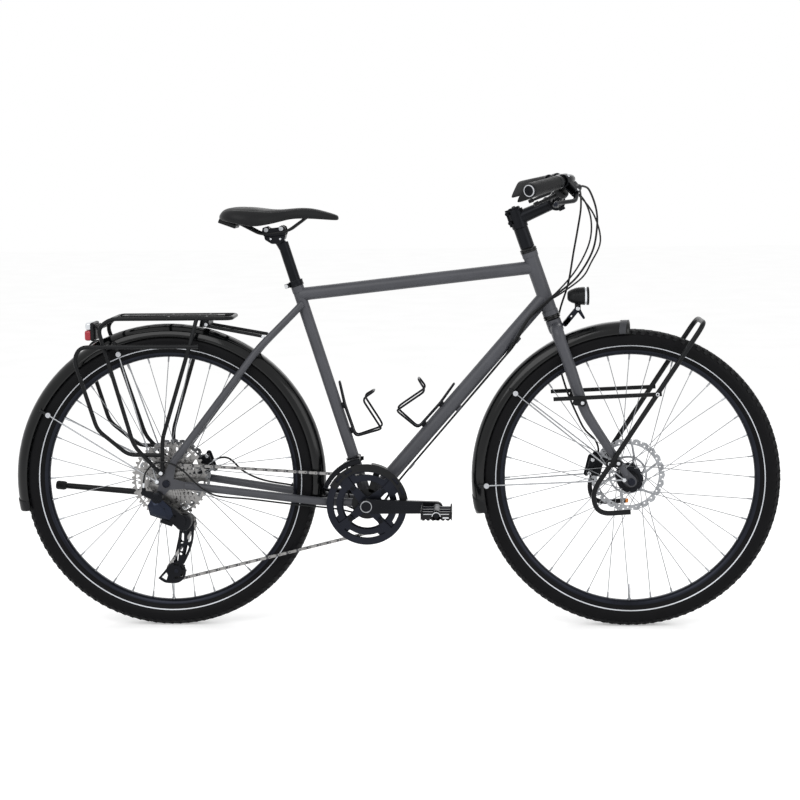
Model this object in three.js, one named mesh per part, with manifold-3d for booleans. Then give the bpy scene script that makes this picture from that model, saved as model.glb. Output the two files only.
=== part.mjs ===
// Touring bicycle with two racks, mudguards, lights, disc brakes and derailleur gears.
// Millimetres. X points forward, Y to the rider's left and Z up.
// Pieces are laid out from a datum on the ground below the rear axle. The last lines move
// the whole bicycle so that its origin lies on the ground below the middle of its length.
// A size ending in Reach is a distance ahead of the piece's datum and one ending in Rise a
// height above it. One ending in Room is the free space between a piece and the wheel, the
// mudguard or the ring it runs round. Shares are parts of a length.

import * as THREE from 'three';
import { mergeVertices } from 'three/addons/utils/BufferGeometryUtils.js';
import Module from 'manifold-3d';

const wasm = await Module();
wasm.setup();

// Fits
const seatGap = 0.3;
const runningGap = 0.6;
const overrun = 3;
const weld = 0.001;

// Facets
const tubeSides = 10;
const boreSides = 12;
const wireSides = 6;
const staySides = 5;
const pinSides = 4;
const spokeSides = 3;
const cableSides = 8;
const cableSteps = 2;
const straightAngle = 4;
const wheelSides = 32;
const ringSides = 24;
const hubSides = 16;
const bendSteps = 2;
const wireBendSteps = 1;
const endSteps = 3;
const arcStep = 10;

// Wheels. The rim's outer radius and the tyre's height give the axles' height.
const tyreHeight = 44;
const tyreWidth = 50;
const tyreTreadWidth = 24;
const rimRadius = 317;
const rimDepth = 17.5;
const rimWidth = 26;
const rimNoseWidth = 12;
const spokeCount = 36;
const spokeRadius = 0.9;
const spokeSeat = 3;
const spokeRimOffset = 3;
const spokeCross = 3;
const axleRadius = 6;
const axleHeadRadius = 9;
const axleHeadLength = 6;
const rotorThickness = 1.8;
const rotorBandWidth = 14;
const rotorHubRadius = 24;
const rotorArmHalf = 4;
const rotorArmCount = 6;
const rotorTwist = 60;

// Front hub, with a dynamo in its shell
const frontHubWidth = 100;
const frontShellRadius = 28;
const frontShellHalf = 21.6;
const frontFlangeRadius = 32;
const frontFlangeOffset = 25;
const frontRotorRadius = 90;
const frontRotorOffset = 38;

// Rear hub
const rearHubWidth = 135;
const rearShellRadius = 17;
const rearFlangeRadius = 29;
const rearFlangeLeft = 31;
const rearFlangeRight = 19;
const rearRotorRadius = 90;
const rearRotorOffset = 52;
const freehubRadius = 15.5;
const flangeThickness = 3.4;
const hubEndRadius = 10;
const hubCapLength = 5;

// Frame. The cranks and the front wheel follow from the guards' radius and the room beside it.
// Places on the stays and dropouts are measured from the rear axle.
const chainStayRoom = 101;
const toeRoom = 252;
const crownRoom = 15;
const bracketDrop = 56;
const seatTubeAngle = 72.5;
const seatTubeLength = 566;
const seatTubeRadius = 14.3;
const seatPostRadius = 13.2;
const headAngle = 71;
const forkOffset = 47.5;
const headTubeLength = 160;
const headTubeRadius = 18;
const topTubeRadius = 15.9;
const topTubeDrop = 38;
const topTubeSeatDrop = 36;
const downTubeRadius = 17.5;
const downTubeRise = 46;
const shellRadius = 20;
const shellWidth = 73;
const seatStayDrop = 58;
const seatStayTopSpread = 14;
const seatStayKneeAngle = 55.2;
const seatStayKneeRoom = 9.9;
const seatStayKneeSpread = 42;
const seatStayFootReach = 17;
const seatStayFootRise = 51;
const seatStayRadius = 8.5;
const seatStayFootRadius = 9;
const chainStayFootReach = 45;
const chainStayFootRise = -5;
const chainStayHeadSetback = 20;
const chainStayHeadSpread = 25;
const chainStayWaistReach = -72;
const chainStayWaistSpread = 30;
const chainStayWaistRise = 3;
const chainStayTyreReach = -112;
const chainStayTyreRise = 6;
const chainStayTyreSpread = 41;
const chainStayHeadRadius = 10;
const chainStayFootRadius = 9.5;
const bridgeRadius = 6;
const shellBridgeSetback = 97;
const dropoutThickness = 6;
const forkDropoutThickness = 8;
const dropoutAxleHalf = 16;
const dropoutEndHalf = 8;
const hangerReach = -20;
const hangerRise = -31;
const hangerHalf = 9;
const rackEyeletReach = -11;
const rackEyeletRise = 27;
const guardEyeletReach = -22;
const guardEyeletRise = 5;
const eyeletHalf = 6;

// Headset and seat clamp
const sleeveWall = 0.8;
const headCupRadius = 20.5;
const headCupHeight = 11;
const steererRadius = 14.3;
const seatClampRadius = 17.8;
const seatClampHeight = 14;
const seatClampEar = 12;
const seatClampBolt = 3.5;

// Bottom bracket and cranks
const spindleRadius = 12;
const bracketSleeveWall = 2;
const bracketCupRadius = 21;
const bracketCupLength = 5;
const crankLength = 170;
const crankHubRadius = 17;
const crankHubInner = 47.6;
const crankHubOuter = 80;
const crankArmInner = 66;
const crankArmThickness = 13;
const crankArmSplay = 12;
const crankArmHalfRoot = 17;
const crankArmHalfEnd = 14;
const crankArmShares = [0, 0.35, 0.8, 1];
const leftCrankInner = 58;
const pedalAxleRadius = 6;
const pedalGap = 3;
const pedalWidth = 92;
const pedalLength = 73;
const pedalHeight = 24;
const pedalRail = 9;
const pedalBarrel = 11;

// Chainrings, cassette and chain
const chainPitch = 12.7;
const chainPlane = 43.5;
const ringTeeth = 34;
const largeRingTeeth = 46;
const toothTip = 3;
const toothThickness = 1.6;
const ringSpacing = 7;
const ringRimWidth = 12;
const ringBoltCircle = 52;
const ringBoltRadius = 5;
const ringTabHalf = 8;
const spiderThickness = 3.4;
const spiderCount = 4;
const spiderTurn = 40;
const guardRingRadius = 97;
const guardRingWidth = 17;
const guardRingOffset = 12.5;
const cogTeeth = [11, 13, 15, 17, 19, 21, 24, 28, 32, 37, 45];
const drivenCog = 5;
const cogSpacing = 3.8;
const cogSpacerDepth = 9;
const chainHeight = 8.5;
const chainOuterHalf = 2.6;
const chainInnerHalf = 1.3;
const chainPinRadius = 2.6;
const chainPinSpacing = 88.9;
const chainArcStep = 24;
const pulleyTeeth = 11;
const pulleyBoreRadius = 3.1;
const pulleyAxleRadius = 2.5;
const guidePulleyReach = 42;
const guidePulleyRise = -103;
const tensionPulleyReach = 16;
const tensionPulleyRise = -219;
const cageInnerHalf = 4.2;
const cagePlate = 2;
const cageHalf = 13;
const knuckleReach = 39;
const knuckleRise = -94;
const knuckleRadius = 21;
const knuckleDepth = 20;
const hangerKnuckleRadius = 14;
const hangerKnuckleDepth = 24;
const linkageHalf = 13;
const linkageDepth = 16;
const adjusterRadius = 6;
const adjusterReach = -54;
const adjusterRise = -9;

// Front derailleur and fixed chain guard, measured out from the rings and round the crank axis
const changerRoom = 5.5;
const changerWidth = 11.5;
const changerFrontAngle = 98;
const changerRearAngle = 158;
const changerTopSpread = 20;
const changerTailInset = 3;
const changerPlate = 1.5;
const changerInnerPlane = 38;
const changerOuterPlane = 54.2;
const changerClampRadius = 18.5;
const changerClampHeight = 16;
const changerClampReach = 107;
const changerArmHalf = 6;
const topGuardRoom = 3.5;
const topGuardWidth = 17.5;
const topGuardFrontAngle = 8;
const topGuardRearAngle = 152;
const topGuardPlane = 60;
const topGuardPlate = 1.6;
const topGuardHolderAngle = 72;
const topGuardHolderSpread = 11;
const topGuardHolderHalf = 8;
const topGuardHolderPlane = 37.2;

// Mudguards. Angles run round the axle from straight ahead, up and over to the rear.
const guardClearance = 20;
const guardWidth = 60;
const guardDepth = 29;
const guardWall = 2;
const guardSectionPoints = 4;
const guardArcStep = 11;
const frontGuardFront = 90;
const frontGuardRear = 193;
const rearGuardFront = -9;
const rearGuardRear = 192;
const stayWireRadius = 1.8;
const stayWireGap = 0.8;
const stayClipDepth = 36;
const frontStayAngles = [142.5, 182];
const rearStayAngles = [111, 151.5];
const guardClipHalf = 5;

// Rear rack, whose top lies just above the mudguard and whose feet stand beside the rear axle
const rackTubeRadius = 5;
const rackRoom = 16;
const rackTopFrontX = 161;
const rackTopRearAhead = 42;
const rackTopSpread = 52;
const rackBendAhead = 13;
const rackBendRise = 10;
const rackBendSpread = 54;
const rackRearKneeReach = -76;
const rackRearKneeRise = 93;
const rackFootSpread = 78;
const rackFootX = -14;
const rackCornerBend = 16;
const rackFrontX = 78;
const rackStrutKneeReach = -6;
const rackStrutKneeRise = 110;
const rackStrutFootX = -8;
const pannierSpread = 72;
const pannierFrontX = 84;
const pannierRailDrop = 66;
const pannierRearBehind = 28;
const pannierTurnBehind = 43;
const pannierTurnDrop = 96;
const pannierKneeReach = -165;
const pannierKneeRise = 131;
const pannierFootReach = -91;
const pannierFootRise = 70;
const rackPlateLength = 250;
const rackPlateWidth = 34;
const rackPlateThickness = 3;
const rackCrossShares = [0.017, 0.469, 0.786];
const rackTieSpread = 30;
const rackTieShare = 0.3;
const rackTieHalf = 7;
const rackTieDrop = 20;

// Rear light
const rearLightDepth = 26;
const rearLightWidth = 64;
const rearLightHeight = 46;
const rearLightAngle = 117.2;
const rearLightRoom = 2.3;
const rearLightPlateHeight = 34;
const rearLightPlate = 3;

// Bottle cages, measured along and out from the tube that carries them
const cageWireRadius = 2.6;
const cageBoltSpacing = 64;
const cageTongueReach = 122;
const cageTongueRise = 11;
const cageFootReach = 16;
const cageFootRise = 7;
const cageLipRise = 74;
const cageArmReach = 68;
const cageArmRise = 54;
const cageMouthRise = 84;
const cageMouthReach = 76;
const cageFootHalf = 12;
const cageSideHalf = 37;
const cageStripHalf = 8;
const cageBoss = 3;
const seatCageReach = 177;
const downCageReach = 233;

// Brake calipers, hoses and gear cables
const caliperLength = 44;
const caliperHeight = 34;
const caliperInnerDepth = 13;
const caliperOuterDepth = 14;
const caliperSlotHalf = 2.2;
const caliperOverlap = 24;
const frontCaliperAngle = 166;
const rearCaliperAngle = 20;
const caliperArmHalf = 8;
const caliperTab = 2;
const hoseRadius = 2.5;
const cableRadius = 2;

// Kickstand, measured from the rear axle
const standPivotReach = 8;
const standPivotRise = -64;
const standLength = 316;
const standRise = 28;
const standTubeRadius = 8;
const standFootRadius = 11;
const standFootLength = 22;
const standPlateHalf = 14;
const standPlate = 8;
const standBossRadius = 10;
const standHingeShares = { ahead: -0.24, left: 1, up: 0.26 };

// Seatpost and saddle, measured from the seat tube's top and then from the post's head
const seatPostLength = 330;
const seatPostRise = 96;
const postHeadReach = -16.9;
const postHeadRise = 21.6;
const postHeadRadius = 15;
const postHeadWidth = 56;
const postBoltRadius = 4;
const railRadius = 3.5;
const railSpread = 22;
const railRearSpread = 30;
const railRearReach = -106;
const railRearRise = 38;
const railLowRearReach = -33;
const railLowRearRise = -1;
const railLowFrontReach = 31;
const railLowFrontRise = 6;
const railNoseReach = 79;
const railNoseRise = 41;
const railNoseSpread = 9;
const saddleChannel = 3;
const saddleHollow = 14;
const saddleLength = 288;
const saddleHalfWidth = 76;
const saddleDepth = 49;
const saddleRearReach = -135;
const saddleFootRise = 15;
const saddleShares = [
  { reach: 0, half: 0.34, top: 0.55, skirt: 0.4 },
  { reach: 0.045, half: 0.74, top: 0.93, skirt: 0.34 },
  { reach: 0.135, half: 0.99, top: 1, skirt: 0.22 },
  { reach: 0.25, half: 1, top: 0.98, skirt: 0.07 },
  { reach: 0.35, half: 0.86, top: 0.95, skirt: 0.03 },
  { reach: 0.47, half: 0.53, top: 0.86, skirt: 0.12 },
  { reach: 0.6, half: 0.37, top: 0.88, skirt: 0.38 },
  { reach: 0.7, half: 0.31, top: 0.94, skirt: 0.39 },
  { reach: 0.86, half: 0.25, top: 0.8, skirt: 0.385 },
  { reach: 0.95, half: 0.2, top: 0.61, skirt: 0.385 },
  { reach: 1, half: 0.11, top: 0.45, skirt: 0.4 },
];

// Fork, whose blades run from the head tube's foot down to the front axle
const crownDrop = 36;
const crownSpread = 44;
const crownArchDrop = 20;
const crownArchRadius = 14;
const bladeFootSpread = 58;
const bladeShares = [
  { reach: 0, fall: 0, spread: 0, radius: 1 },
  { reach: 0.153, fall: 0.214, spread: 0.43, radius: 1 },
  { reach: 0.276, fall: 0.397, spread: 0.57, radius: 0.94 },
  { reach: 0.381, fall: 0.533, spread: 0.71, radius: 0.86 },
  { reach: 0.544, fall: 0.667, spread: 0.86, radius: 0.75 },
  { reach: 0.749, fall: 0.818, spread: 1, radius: 0.64 },
  { reach: 0.901, fall: 0.929, spread: 1, radius: 0.54 },
];
const forkDropoutHalf = 13;
const forkEyeletReach = -17;
const forkEyeletRise = 5;
const lowEyeletRise = 47;

// Spacer column, stem and handlebar, measured from the head tube's foot
const columnRadius = 17.5;
const stemClampFoot = 222;
const stemClampHeight = 46;
const stemClampRadius = 19.5;
const barCentreReach = 12.6;
const barCentreRise = 272;
const stemArmRadius = 16;
const barClampRadius = 21.5;
const barClampWidth = 46;
const barBulgeRadius = 15.9;
const barBulgeHalf = 42;
const barRadius = 11.1;
const stemBoltRadius = 5;
const stemBoltWidth = 30;
const stemBoltShares = [0.25, 0.75];
const stemCapRadius = 15;
const stemCapHeight = 6;
const barRiseReach = 35.6;
const barRiseY = 104;
const barRiseRise = 321;
const barTurnReach = 40.6;
const barTurnY = 166;
const barTurnRise = 328;
const barEndReach = -59.4;
const barEndY = 316;
const barEndRise = 303;
const barBend = 24;

// Grips and controls, measured along the bar's end from its turn
const gripStart = 60;
const gripOvershoot = 5;
const gripRadius = 16;
const gripWing = 27;
const gripWingHalf = 4.5;
const gripTiltShare = 0.7;
const gripTurn = 120;
const gripTurnSteps = 8;
const gripWingShares = [0, 0.35, 0.85, 1, 0.9];
const gripPlaceShares = [0, 0.3, 0.62, 0.9, 1];
const controlTilt = 40;
const controlPlace = 34;
const controlClampRadius = 15.5;
const controlClampWidth = 16;
const reservoirHalf = 9;
const reservoirLength = 22;
const reservoirWidth = 16;
const leverPivotReach = 40;
const leverPivotPlace = -4;
const leverKneePlace = 26;
const leverKneeReach = 58;
const leverTipPlace = 105;
const leverTipReach = 50;
const leverRootHalf = 7;
const leverTipHalf = 5;
const leverThickness = 12;
const shifterPodRadius = 19;
const shifterPodDepth = 15;
const shifterPodDrop = 30;
const shifterPodPlace = -10;
const shifterPodReach = 8;
const thumbLeverPlace = 36;
const thumbLeverDrop = 78;
const thumbLeverReach = -4;
const thumbLeverRadius = 5;
const thumbHubRadius = 9;
const thumbHubDepth = 5;

// Headlight, measured from the head tube's foot
const lightRadius = 22;
const lightRearReach = 47.6;
const lightLength = 43;
const lightRearRise = 45;
const lightPivotReach = 63.6;
const lightPivotRise = 15;
const lightLugHalf = 4;
const lightLugWidth = 7;
const lightBracketHalf = 6;
const lightBracketPlate = 3;
const lightBracketFootReach = 33;
const lightBracketFootRise = -22;
const lightProngReach = 77.6;
const lightProngRise = -7;

// Lowrider rack, measured from the front axle
const lowriderRadius = 5;
const lowriderSpread = 72;
const lowriderTopAngle = 65.9;
const lowriderTopRoom = 55.3;
const lowriderFootReach = -95;
const lowriderFootRise = -24;
const lowriderHookReach = -81;
const lowriderHookRise = -75;
const lowriderEndReach = -3;
const lowriderEndRise = -70;
const lowriderBend = 32;
const lowriderRailRearReach = -185;
const lowriderRailRearRise = 201;
const lowriderRailFrontReach = 70;
const lowriderRailFrontRise = 212;
const lowriderClampRise = 192;
const lowriderClampHalf = 9;
const lowriderClampPlate = 4;
const lowriderLegShare = 0.17;

// Hoses and cables: routes chosen by hand, from the bar to the brake or gear that each one works
const rearBrakeRoute = [
  [986.2, -173.9, 1064.7], [996, -159, 1066.5], [1012, -132, 1056], [1030, -92, 1012], [1034, -58, 966],
  [1024, -34, 908], [988, -24, 848],
  [938, -24, 806], [905, -25, 776], [872, -25, 746], [840, -11, 687], [802, 7, 639], [695, 7, 514],
  [565, 7, 362], [523, 10, 305], [500, 14, 279], [478, 22, 273], [444, 38, 278], [410, 49, 292],
  [342, 62, 316],
  [300, 64, 330], [220, 67, 344], [170, 67, 366], [138, 58, 398], [117, 50, 404], [96, 50, 396.5],
];
const rearShiftRoute = [
  [954.8, -157.2, 1058.4], [964, -143, 1060], [978, -124, 1056], [1004, -90, 1030], [1020, -66, 984],
  [1016, -52, 930], [986, -44, 868],
  [944, -40, 818], [908, -38, 786], [872, -37, 750], [837, -25, 692], [802, -7, 640], [695, -7, 515],
  [565, -7, 363], [523, -10, 305], [500, -14, 279], [478, -22, 273], [444, -30, 283], [400, -36, 293],
  [300, -48, 306], [200, -57, 320], [128, -69, 329], [98, -80, 344], [72, -87, 366], [42, -93, 398],
  [8, -95, 416], [-24, -94, 413], [-46, -88, 392], [-53, -81, 370], [-54, -79.4, 353],
];
const frontShiftRoute = [
  [954.8, 157.2, 1058.4], [964, 143, 1060], [978, 122, 1057], [1004, 84, 1038], [1034, 36, 994],
  [1046, -6, 934], [1022, -22, 882],
  [1000, -36, 848], [952, -34, 812], [910, -31, 786], [872, -31, 752], [837, -19, 691], [802, 0, 639],
  [695, 0, 515], [565, 0, 363], [523, 0, 305], [502, -1, 280], [480, -3, 273], [452, -6, 284], [436, -8, 320],
  [428, -12, 365], [434, -20, 390], [440, -24, 404],
];
const frontBrakeRoute = [
  [986.2, 173.9, 1064.7], [996, 159, 1066.5], [1006, 136, 1055], [1006, 96, 1012], [996, 62, 960],
  [985, 46, 905], [972, 46, 830], [952, 60, 762], [943, 66, 700], [948, 60, 640], [969, 56, 565],
  [994, 56, 505], [1012, 55, 470], [1036, 49, 446], [1044, 42, 424], [1040.4, 42, 404],
];

// Colours
const frameGrey = 0x55565b;
const satinBlack = 0x1d1e20;
const deepBlack = 0x101113;
const rubberBlack = 0x17181a;
const steelGrey = 0xb5b7ba;
const chainGrey = 0x8f9094;
const alloyDark = 0x3b3d42;
const lampRed = 0xb3202b;

// Derived places
const degrees = Math.PI / 180;
const tyreRadius = rimRadius + tyreHeight;
const rimInnerRadius = rimRadius - rimDepth;
const guardRadius = tyreRadius + guardClearance;
const axleZ = tyreRadius;
const crankAxisX = guardRadius + chainStayRoom;
const crankAxisZ = axleZ - bracketDrop;
const wheelbase = crankAxisX + toeRoom + guardRadius;
const rearAxle = at(0, 0, axleZ);
const frontAxle = at(wheelbase, 0, axleZ);
const crankAxis = at(crankAxisX, 0, crankAxisZ);
const seatTubeUp = at(-Math.cos(seatTubeAngle * degrees), 0, Math.sin(seatTubeAngle * degrees));
const steererUp = at(-Math.cos(headAngle * degrees), 0, Math.sin(headAngle * degrees));
const steererAtAxle = offset(frontAxle, -forkOffset / Math.sin(headAngle * degrees), 0);
const headTubeFoot = along(steererAtAxle, steererUp, (guardRadius + crownRoom) / steererUp.z);
const headTubeTop = along(headTubeFoot, steererUp, headTubeLength);
const seatTubeTop = along(crankAxis, seatTubeUp, seatTubeLength);
const seatPostTop = along(seatTubeTop, seatTubeUp, seatPostRise);
const postHead = offset(seatPostTop, postHeadReach, postHeadRise);
const downTubeTop = along(headTubeFoot, steererUp, downTubeRise);
const downTubeUp = downTubeTop.clone().sub(crankAxis).normalize();
const sleeveRadius = steererRadius + runningGap + sleeveWall;
const rearDropoutInner = rearHubWidth / 2 + seatGap;
const forkDropoutInner = frontHubWidth / 2 + seatGap;
const rimSeat = rimInnerRadius * Math.cos(Math.PI / wheelSides);
const standPlateY = rearDropoutInner + dropoutThickness / 2 + chainStayFootRadius;
const changerInnerRadius = pitchRadius(largeRingTeeth) + toothTip + changerRoom;
const changerOuterRadius = changerInnerRadius + changerWidth;
const topGuardOuterRadius = guardRingRadius + topGuardRoom;
const topGuardInnerRadius = topGuardOuterRadius - topGuardWidth;
const pedalInner = crankArmInner + crankArmSplay + crankArmThickness + pedalGap;
const seatStayKnee = polar(rearAxle, guardRadius + seatStayKneeRoom, seatStayKneeAngle);
const stayBridge = polar(rearAxle, guardRadius + bridgeRadius + runningGap, seatStayKneeAngle);
const rackTopZ = axleZ + guardRadius + rackRoom;
const rearLightCorner = polar(rearAxle, guardRadius + rearLightRoom, rearLightAngle);
const rearLightX = rearLightCorner.x;
const rearLightZ = rearLightCorner.z + rearLightHeight / 2;
const rackTopRearX = rearLightX + rackTopRearAhead;
const rackBend = at(rearLightX + rackBendAhead, 0, rearLightZ + rackBendRise);
const rackCrossPlaces = rackCrossShares.map((share) => rackTopRearX + share * (rackTopFrontX - rackTopRearX));
const bladeRoot = along(headTubeFoot, steererUp, -crownDrop - seatGap - headCupHeight);
const bladePath = bladeShares.map((share) => ({
  x: bladeRoot.x + share.reach * (wheelbase - bladeRoot.x),
  z: bladeRoot.z - share.fall * (bladeRoot.z - axleZ),
  spread: crownSpread + share.spread * (bladeFootSpread - crownSpread),
  radius: crownArchRadius * share.radius,
}));
const lowriderTop = polar(frontAxle, tyreRadius + lowriderTopRoom, lowriderTopAngle);
const seatStayFoot = offset(rearAxle, seatStayFootReach, seatStayFootRise);
const chainStayFoot = offset(rearAxle, chainStayFootReach, chainStayFootRise);
const hanger = offset(rearAxle, hangerReach, hangerRise);
const rackEyelet = offset(rearAxle, rackEyeletReach, rackEyeletRise);
const guardEyelet = offset(rearAxle, guardEyeletReach, guardEyeletRise);
const guidePulley = offset(rearAxle, guidePulleyReach, guidePulleyRise);
const tensionPulley = offset(rearAxle, tensionPulleyReach, tensionPulleyRise);
const knuckle = offset(rearAxle, knuckleReach, knuckleRise);
const adjuster = offset(rearAxle, adjusterReach, adjusterRise);
const standPivot = offset(rearAxle, standPivotReach, standPivotRise);
const standHinge = at(standHingeShares.ahead, standHingeShares.left, standHingeShares.up).normalize();
const standBossLean = standBossRadius * Math.sqrt(1 - standHinge.y ** 2);
const standFace = standPivot.clone().setY(standPlateY + standPlate + standBossLean + seatGap);
const rackRearKnee = offset(rearAxle, rackRearKneeReach, rackRearKneeRise);
const rackStrutKnee = offset(rearAxle, rackStrutKneeReach, rackStrutKneeRise);
const pannierKnee = offset(rearAxle, pannierKneeReach, pannierKneeRise);
const pannierFoot = offset(rearAxle, pannierFootReach, pannierFootRise);
const chainStayWaist = offset(crankAxis, chainStayWaistReach, chainStayWaistRise);
const chainStayTyre = offset(crankAxis, chainStayTyreReach, chainStayTyreRise);
const barCentre = offset(headTubeFoot, barCentreReach, barCentreRise);
const barRise = offset(headTubeFoot, barRiseReach, barRiseRise).setY(barRiseY);
const barTurn = offset(headTubeFoot, barTurnReach, barTurnRise).setY(barTurnY);
const barEnd = offset(headTubeFoot, barEndReach, barEndRise).setY(barEndY);
const lightRear = offset(headTubeFoot, lightRearReach, lightRearRise);
const lightPivot = offset(headTubeFoot, lightPivotReach, lightPivotRise);
const lightBracketFoot = offset(headTubeFoot, lightBracketFootReach, lightBracketFootRise);
const lightProng = offset(headTubeFoot, lightProngReach, lightProngRise);
const forkEyelet = offset(frontAxle, forkEyeletReach, forkEyeletRise);
const lowriderFoot = offset(frontAxle, lowriderFootReach, lowriderFootRise);
const lowriderHook = offset(frontAxle, lowriderHookReach, lowriderHookRise);
const lowriderEnd = offset(frontAxle, lowriderEndReach, lowriderEndRise);
const lowriderRailRear = offset(frontAxle, lowriderRailRearReach, lowriderRailRearRise);
const lowriderRailFront = offset(frontAxle, lowriderRailFrontReach, lowriderRailFrontRise);
const railRear = offset(postHead, railRearReach, railRearRise);
const railLowRear = offset(postHead, railLowRearReach, railLowRearRise);
const railLowFront = offset(postHead, railLowFrontReach, railLowFrontRise);
const railNose = offset(postHead, railNoseReach, railNoseRise);

function at(x, y, z) {
  return new THREE.Vector3(x, y, z);
}

function along(start, direction, distance) {
  return start.clone().addScaledVector(direction, distance);
}

// A place ahead of and above a datum.
function offset(datum, reach, rise) {
  return at(datum.x + reach, datum.y, datum.z + rise);
}

function onSide(side, points) {
  return points.map((p) => at(p.x, side * p.y, p.z));
}

function fromRoute(route) {
  return route.map(([x, y, z]) => at(x, y, z));
}

function pitchRadius(teeth) {
  return chainPitch / (2 * Math.sin(Math.PI / teeth));
}

// Solids

function signedVolume(points, faces) {
  let volume = 0;
  for (let i = 0; i < faces.length; i += 3) {
    const [a, b, c] = [0, 1, 2].map((k) => at(...points.slice(3 * faces[i + k], 3 * faces[i + k] + 3)));
    volume += a.dot(b.cross(c)) / 6;
  }
  return volume;
}

function toSolid(shape) {
  if (!shape.isBufferGeometry) {
    return shape;
  }
  const bare = shape.clone();
  bare.deleteAttribute('normal');
  bare.deleteAttribute('uv');
  const merged = mergeVertices(bare, weld);
  const points = Float32Array.from(merged.attributes.position.array);
  const faces = [];
  for (let i = 0; i < merged.index.count; i += 3) {
    const [a, b, c] = merged.index.array.slice(i, i + 3);
    if (a !== b && b !== c && c !== a) {
      faces.push(a, b, c);
    }
  }
  if (signedVolume(points, faces) < 0) {
    faces.reverse();
  }
  return new wasm.Manifold(new wasm.Mesh({
    numProp: 3, vertProperties: points, triVerts: Uint32Array.from(faces),
  }));
}

function join(...shapes) {
  return shapes.map(toSolid).reduce((whole, next) => whole.add(next));
}

function cut(base, ...tools) {
  return tools.map(toSolid).reduce((whole, tool) => whole.subtract(tool), toSolid(base));
}

function toGeometry(shape) {
  const found = toSolid(shape).getMesh();
  const geometry = new THREE.BufferGeometry();
  geometry.setAttribute('position', new THREE.BufferAttribute(Float32Array.from(found.vertProperties), 3));
  geometry.setIndex(new THREE.BufferAttribute(Uint32Array.from(found.triVerts), 1));
  geometry.computeVertexNormals();
  return geometry;
}

function piece(name, shape, colour, roughness, metalness) {
  const material = new THREE.MeshStandardMaterial({ color: colour, roughness, metalness });
  const mesh = new THREE.Mesh(toGeometry(shape), material);
  mesh.name = name;
  return mesh;
}

function polygon(radius, sides) {
  const corners = Array.from({ length: sides }, (_, i) => {
    const turn = (2 * Math.PI * i) / sides;
    return new THREE.Vector2(radius * Math.cos(turn), radius * Math.sin(turn));
  });
  return new THREE.Shape(corners);
}

// A straight round bar or cone from one point to another.
function rod(start, end, radius, sides = tubeSides, endRadius = radius) {
  const reach = end.clone().sub(start);
  const bar = new THREE.CylinderGeometry(endRadius, radius, reach.length(), sides);
  const turn = new THREE.Quaternion().setFromUnitVectors(at(0, 1, 0), reach.clone().normalize());
  const middle = start.clone().add(end).divideScalar(2);
  return bar.applyQuaternion(turn).translate(middle.x, middle.y, middle.z);
}

// A round bar across the bicycle, parallel to Y.
function crossRod(x, z, inner, outer, radius, sides = tubeSides) {
  return rod(at(x, inner, z), at(x, outer, z), radius, sides);
}

class Route extends THREE.Curve {
  constructor(points) {
    super();
    this.points = points;
  }

  getPoint(share) {
    const place = share * (this.points.length - 1);
    const index = Math.min(Math.round(place - 0.5), this.points.length - 2);
    const start = Math.max(index, 0);
    return this.points[start].clone().lerp(this.points[start + 1], place - start);
  }

  getPointAt(share) {
    return this.getPoint(share);
  }

  getTangentAt(share) {
    const last = this.points.length - 1;
    const index = Math.round(share * last);
    const before = this.points[Math.max(index - 1, 0)];
    const after = this.points[Math.min(index + 1, last)];
    return after.clone().sub(before).normalize();
  }
}

// Replaces each inside corner of a route by a short curve.
function rounded(points, bend, steps = bendSteps) {
  const result = [points[0]];
  for (let i = 1; i < points.length - 1; i += 1) {
    const corner = points[i];
    const reachBack = Math.min(bend, corner.distanceTo(points[i - 1]) / 2.1);
    const reachAhead = Math.min(bend, corner.distanceTo(points[i + 1]) / 2.1);
    const from = along(corner, points[i - 1].clone().sub(corner).normalize(), reachBack);
    const to = along(corner, points[i + 1].clone().sub(corner).normalize(), reachAhead);
    const curve = new THREE.QuadraticBezierCurve3(from, corner, to);
    result.push(...curve.getPoints(steps));
  }
  result.push(points[points.length - 1]);
  return result;
}

function bentTube(points, radius, sides = wireSides) {
  return new THREE.ExtrudeGeometry(polygon(radius, sides), {
    steps: points.length - 1, bevelEnabled: false, extrudePath: new Route(points),
  });
}

// A hose or cable that runs smoothly through its route. Points that lie on a straight run are left out.
function smoothCable(route, radius) {
  const curve = new THREE.CatmullRomCurve3(fromRoute(route), false, 'centripetal');
  const points = curve.getPoints(cableSteps * (route.length - 1));
  const kept = [points[0]];
  for (let i = 1; i < points.length - 1; i += 1) {
    const before = points[i].clone().sub(kept[kept.length - 1]);
    const after = points[i + 1].clone().sub(points[i]);
    if (before.angleTo(after) > straightAngle * degrees) {
      kept.push(points[i]);
    }
  }
  kept.push(points[points.length - 1]);
  return bentTube(kept, radius, cableSides);
}

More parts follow.
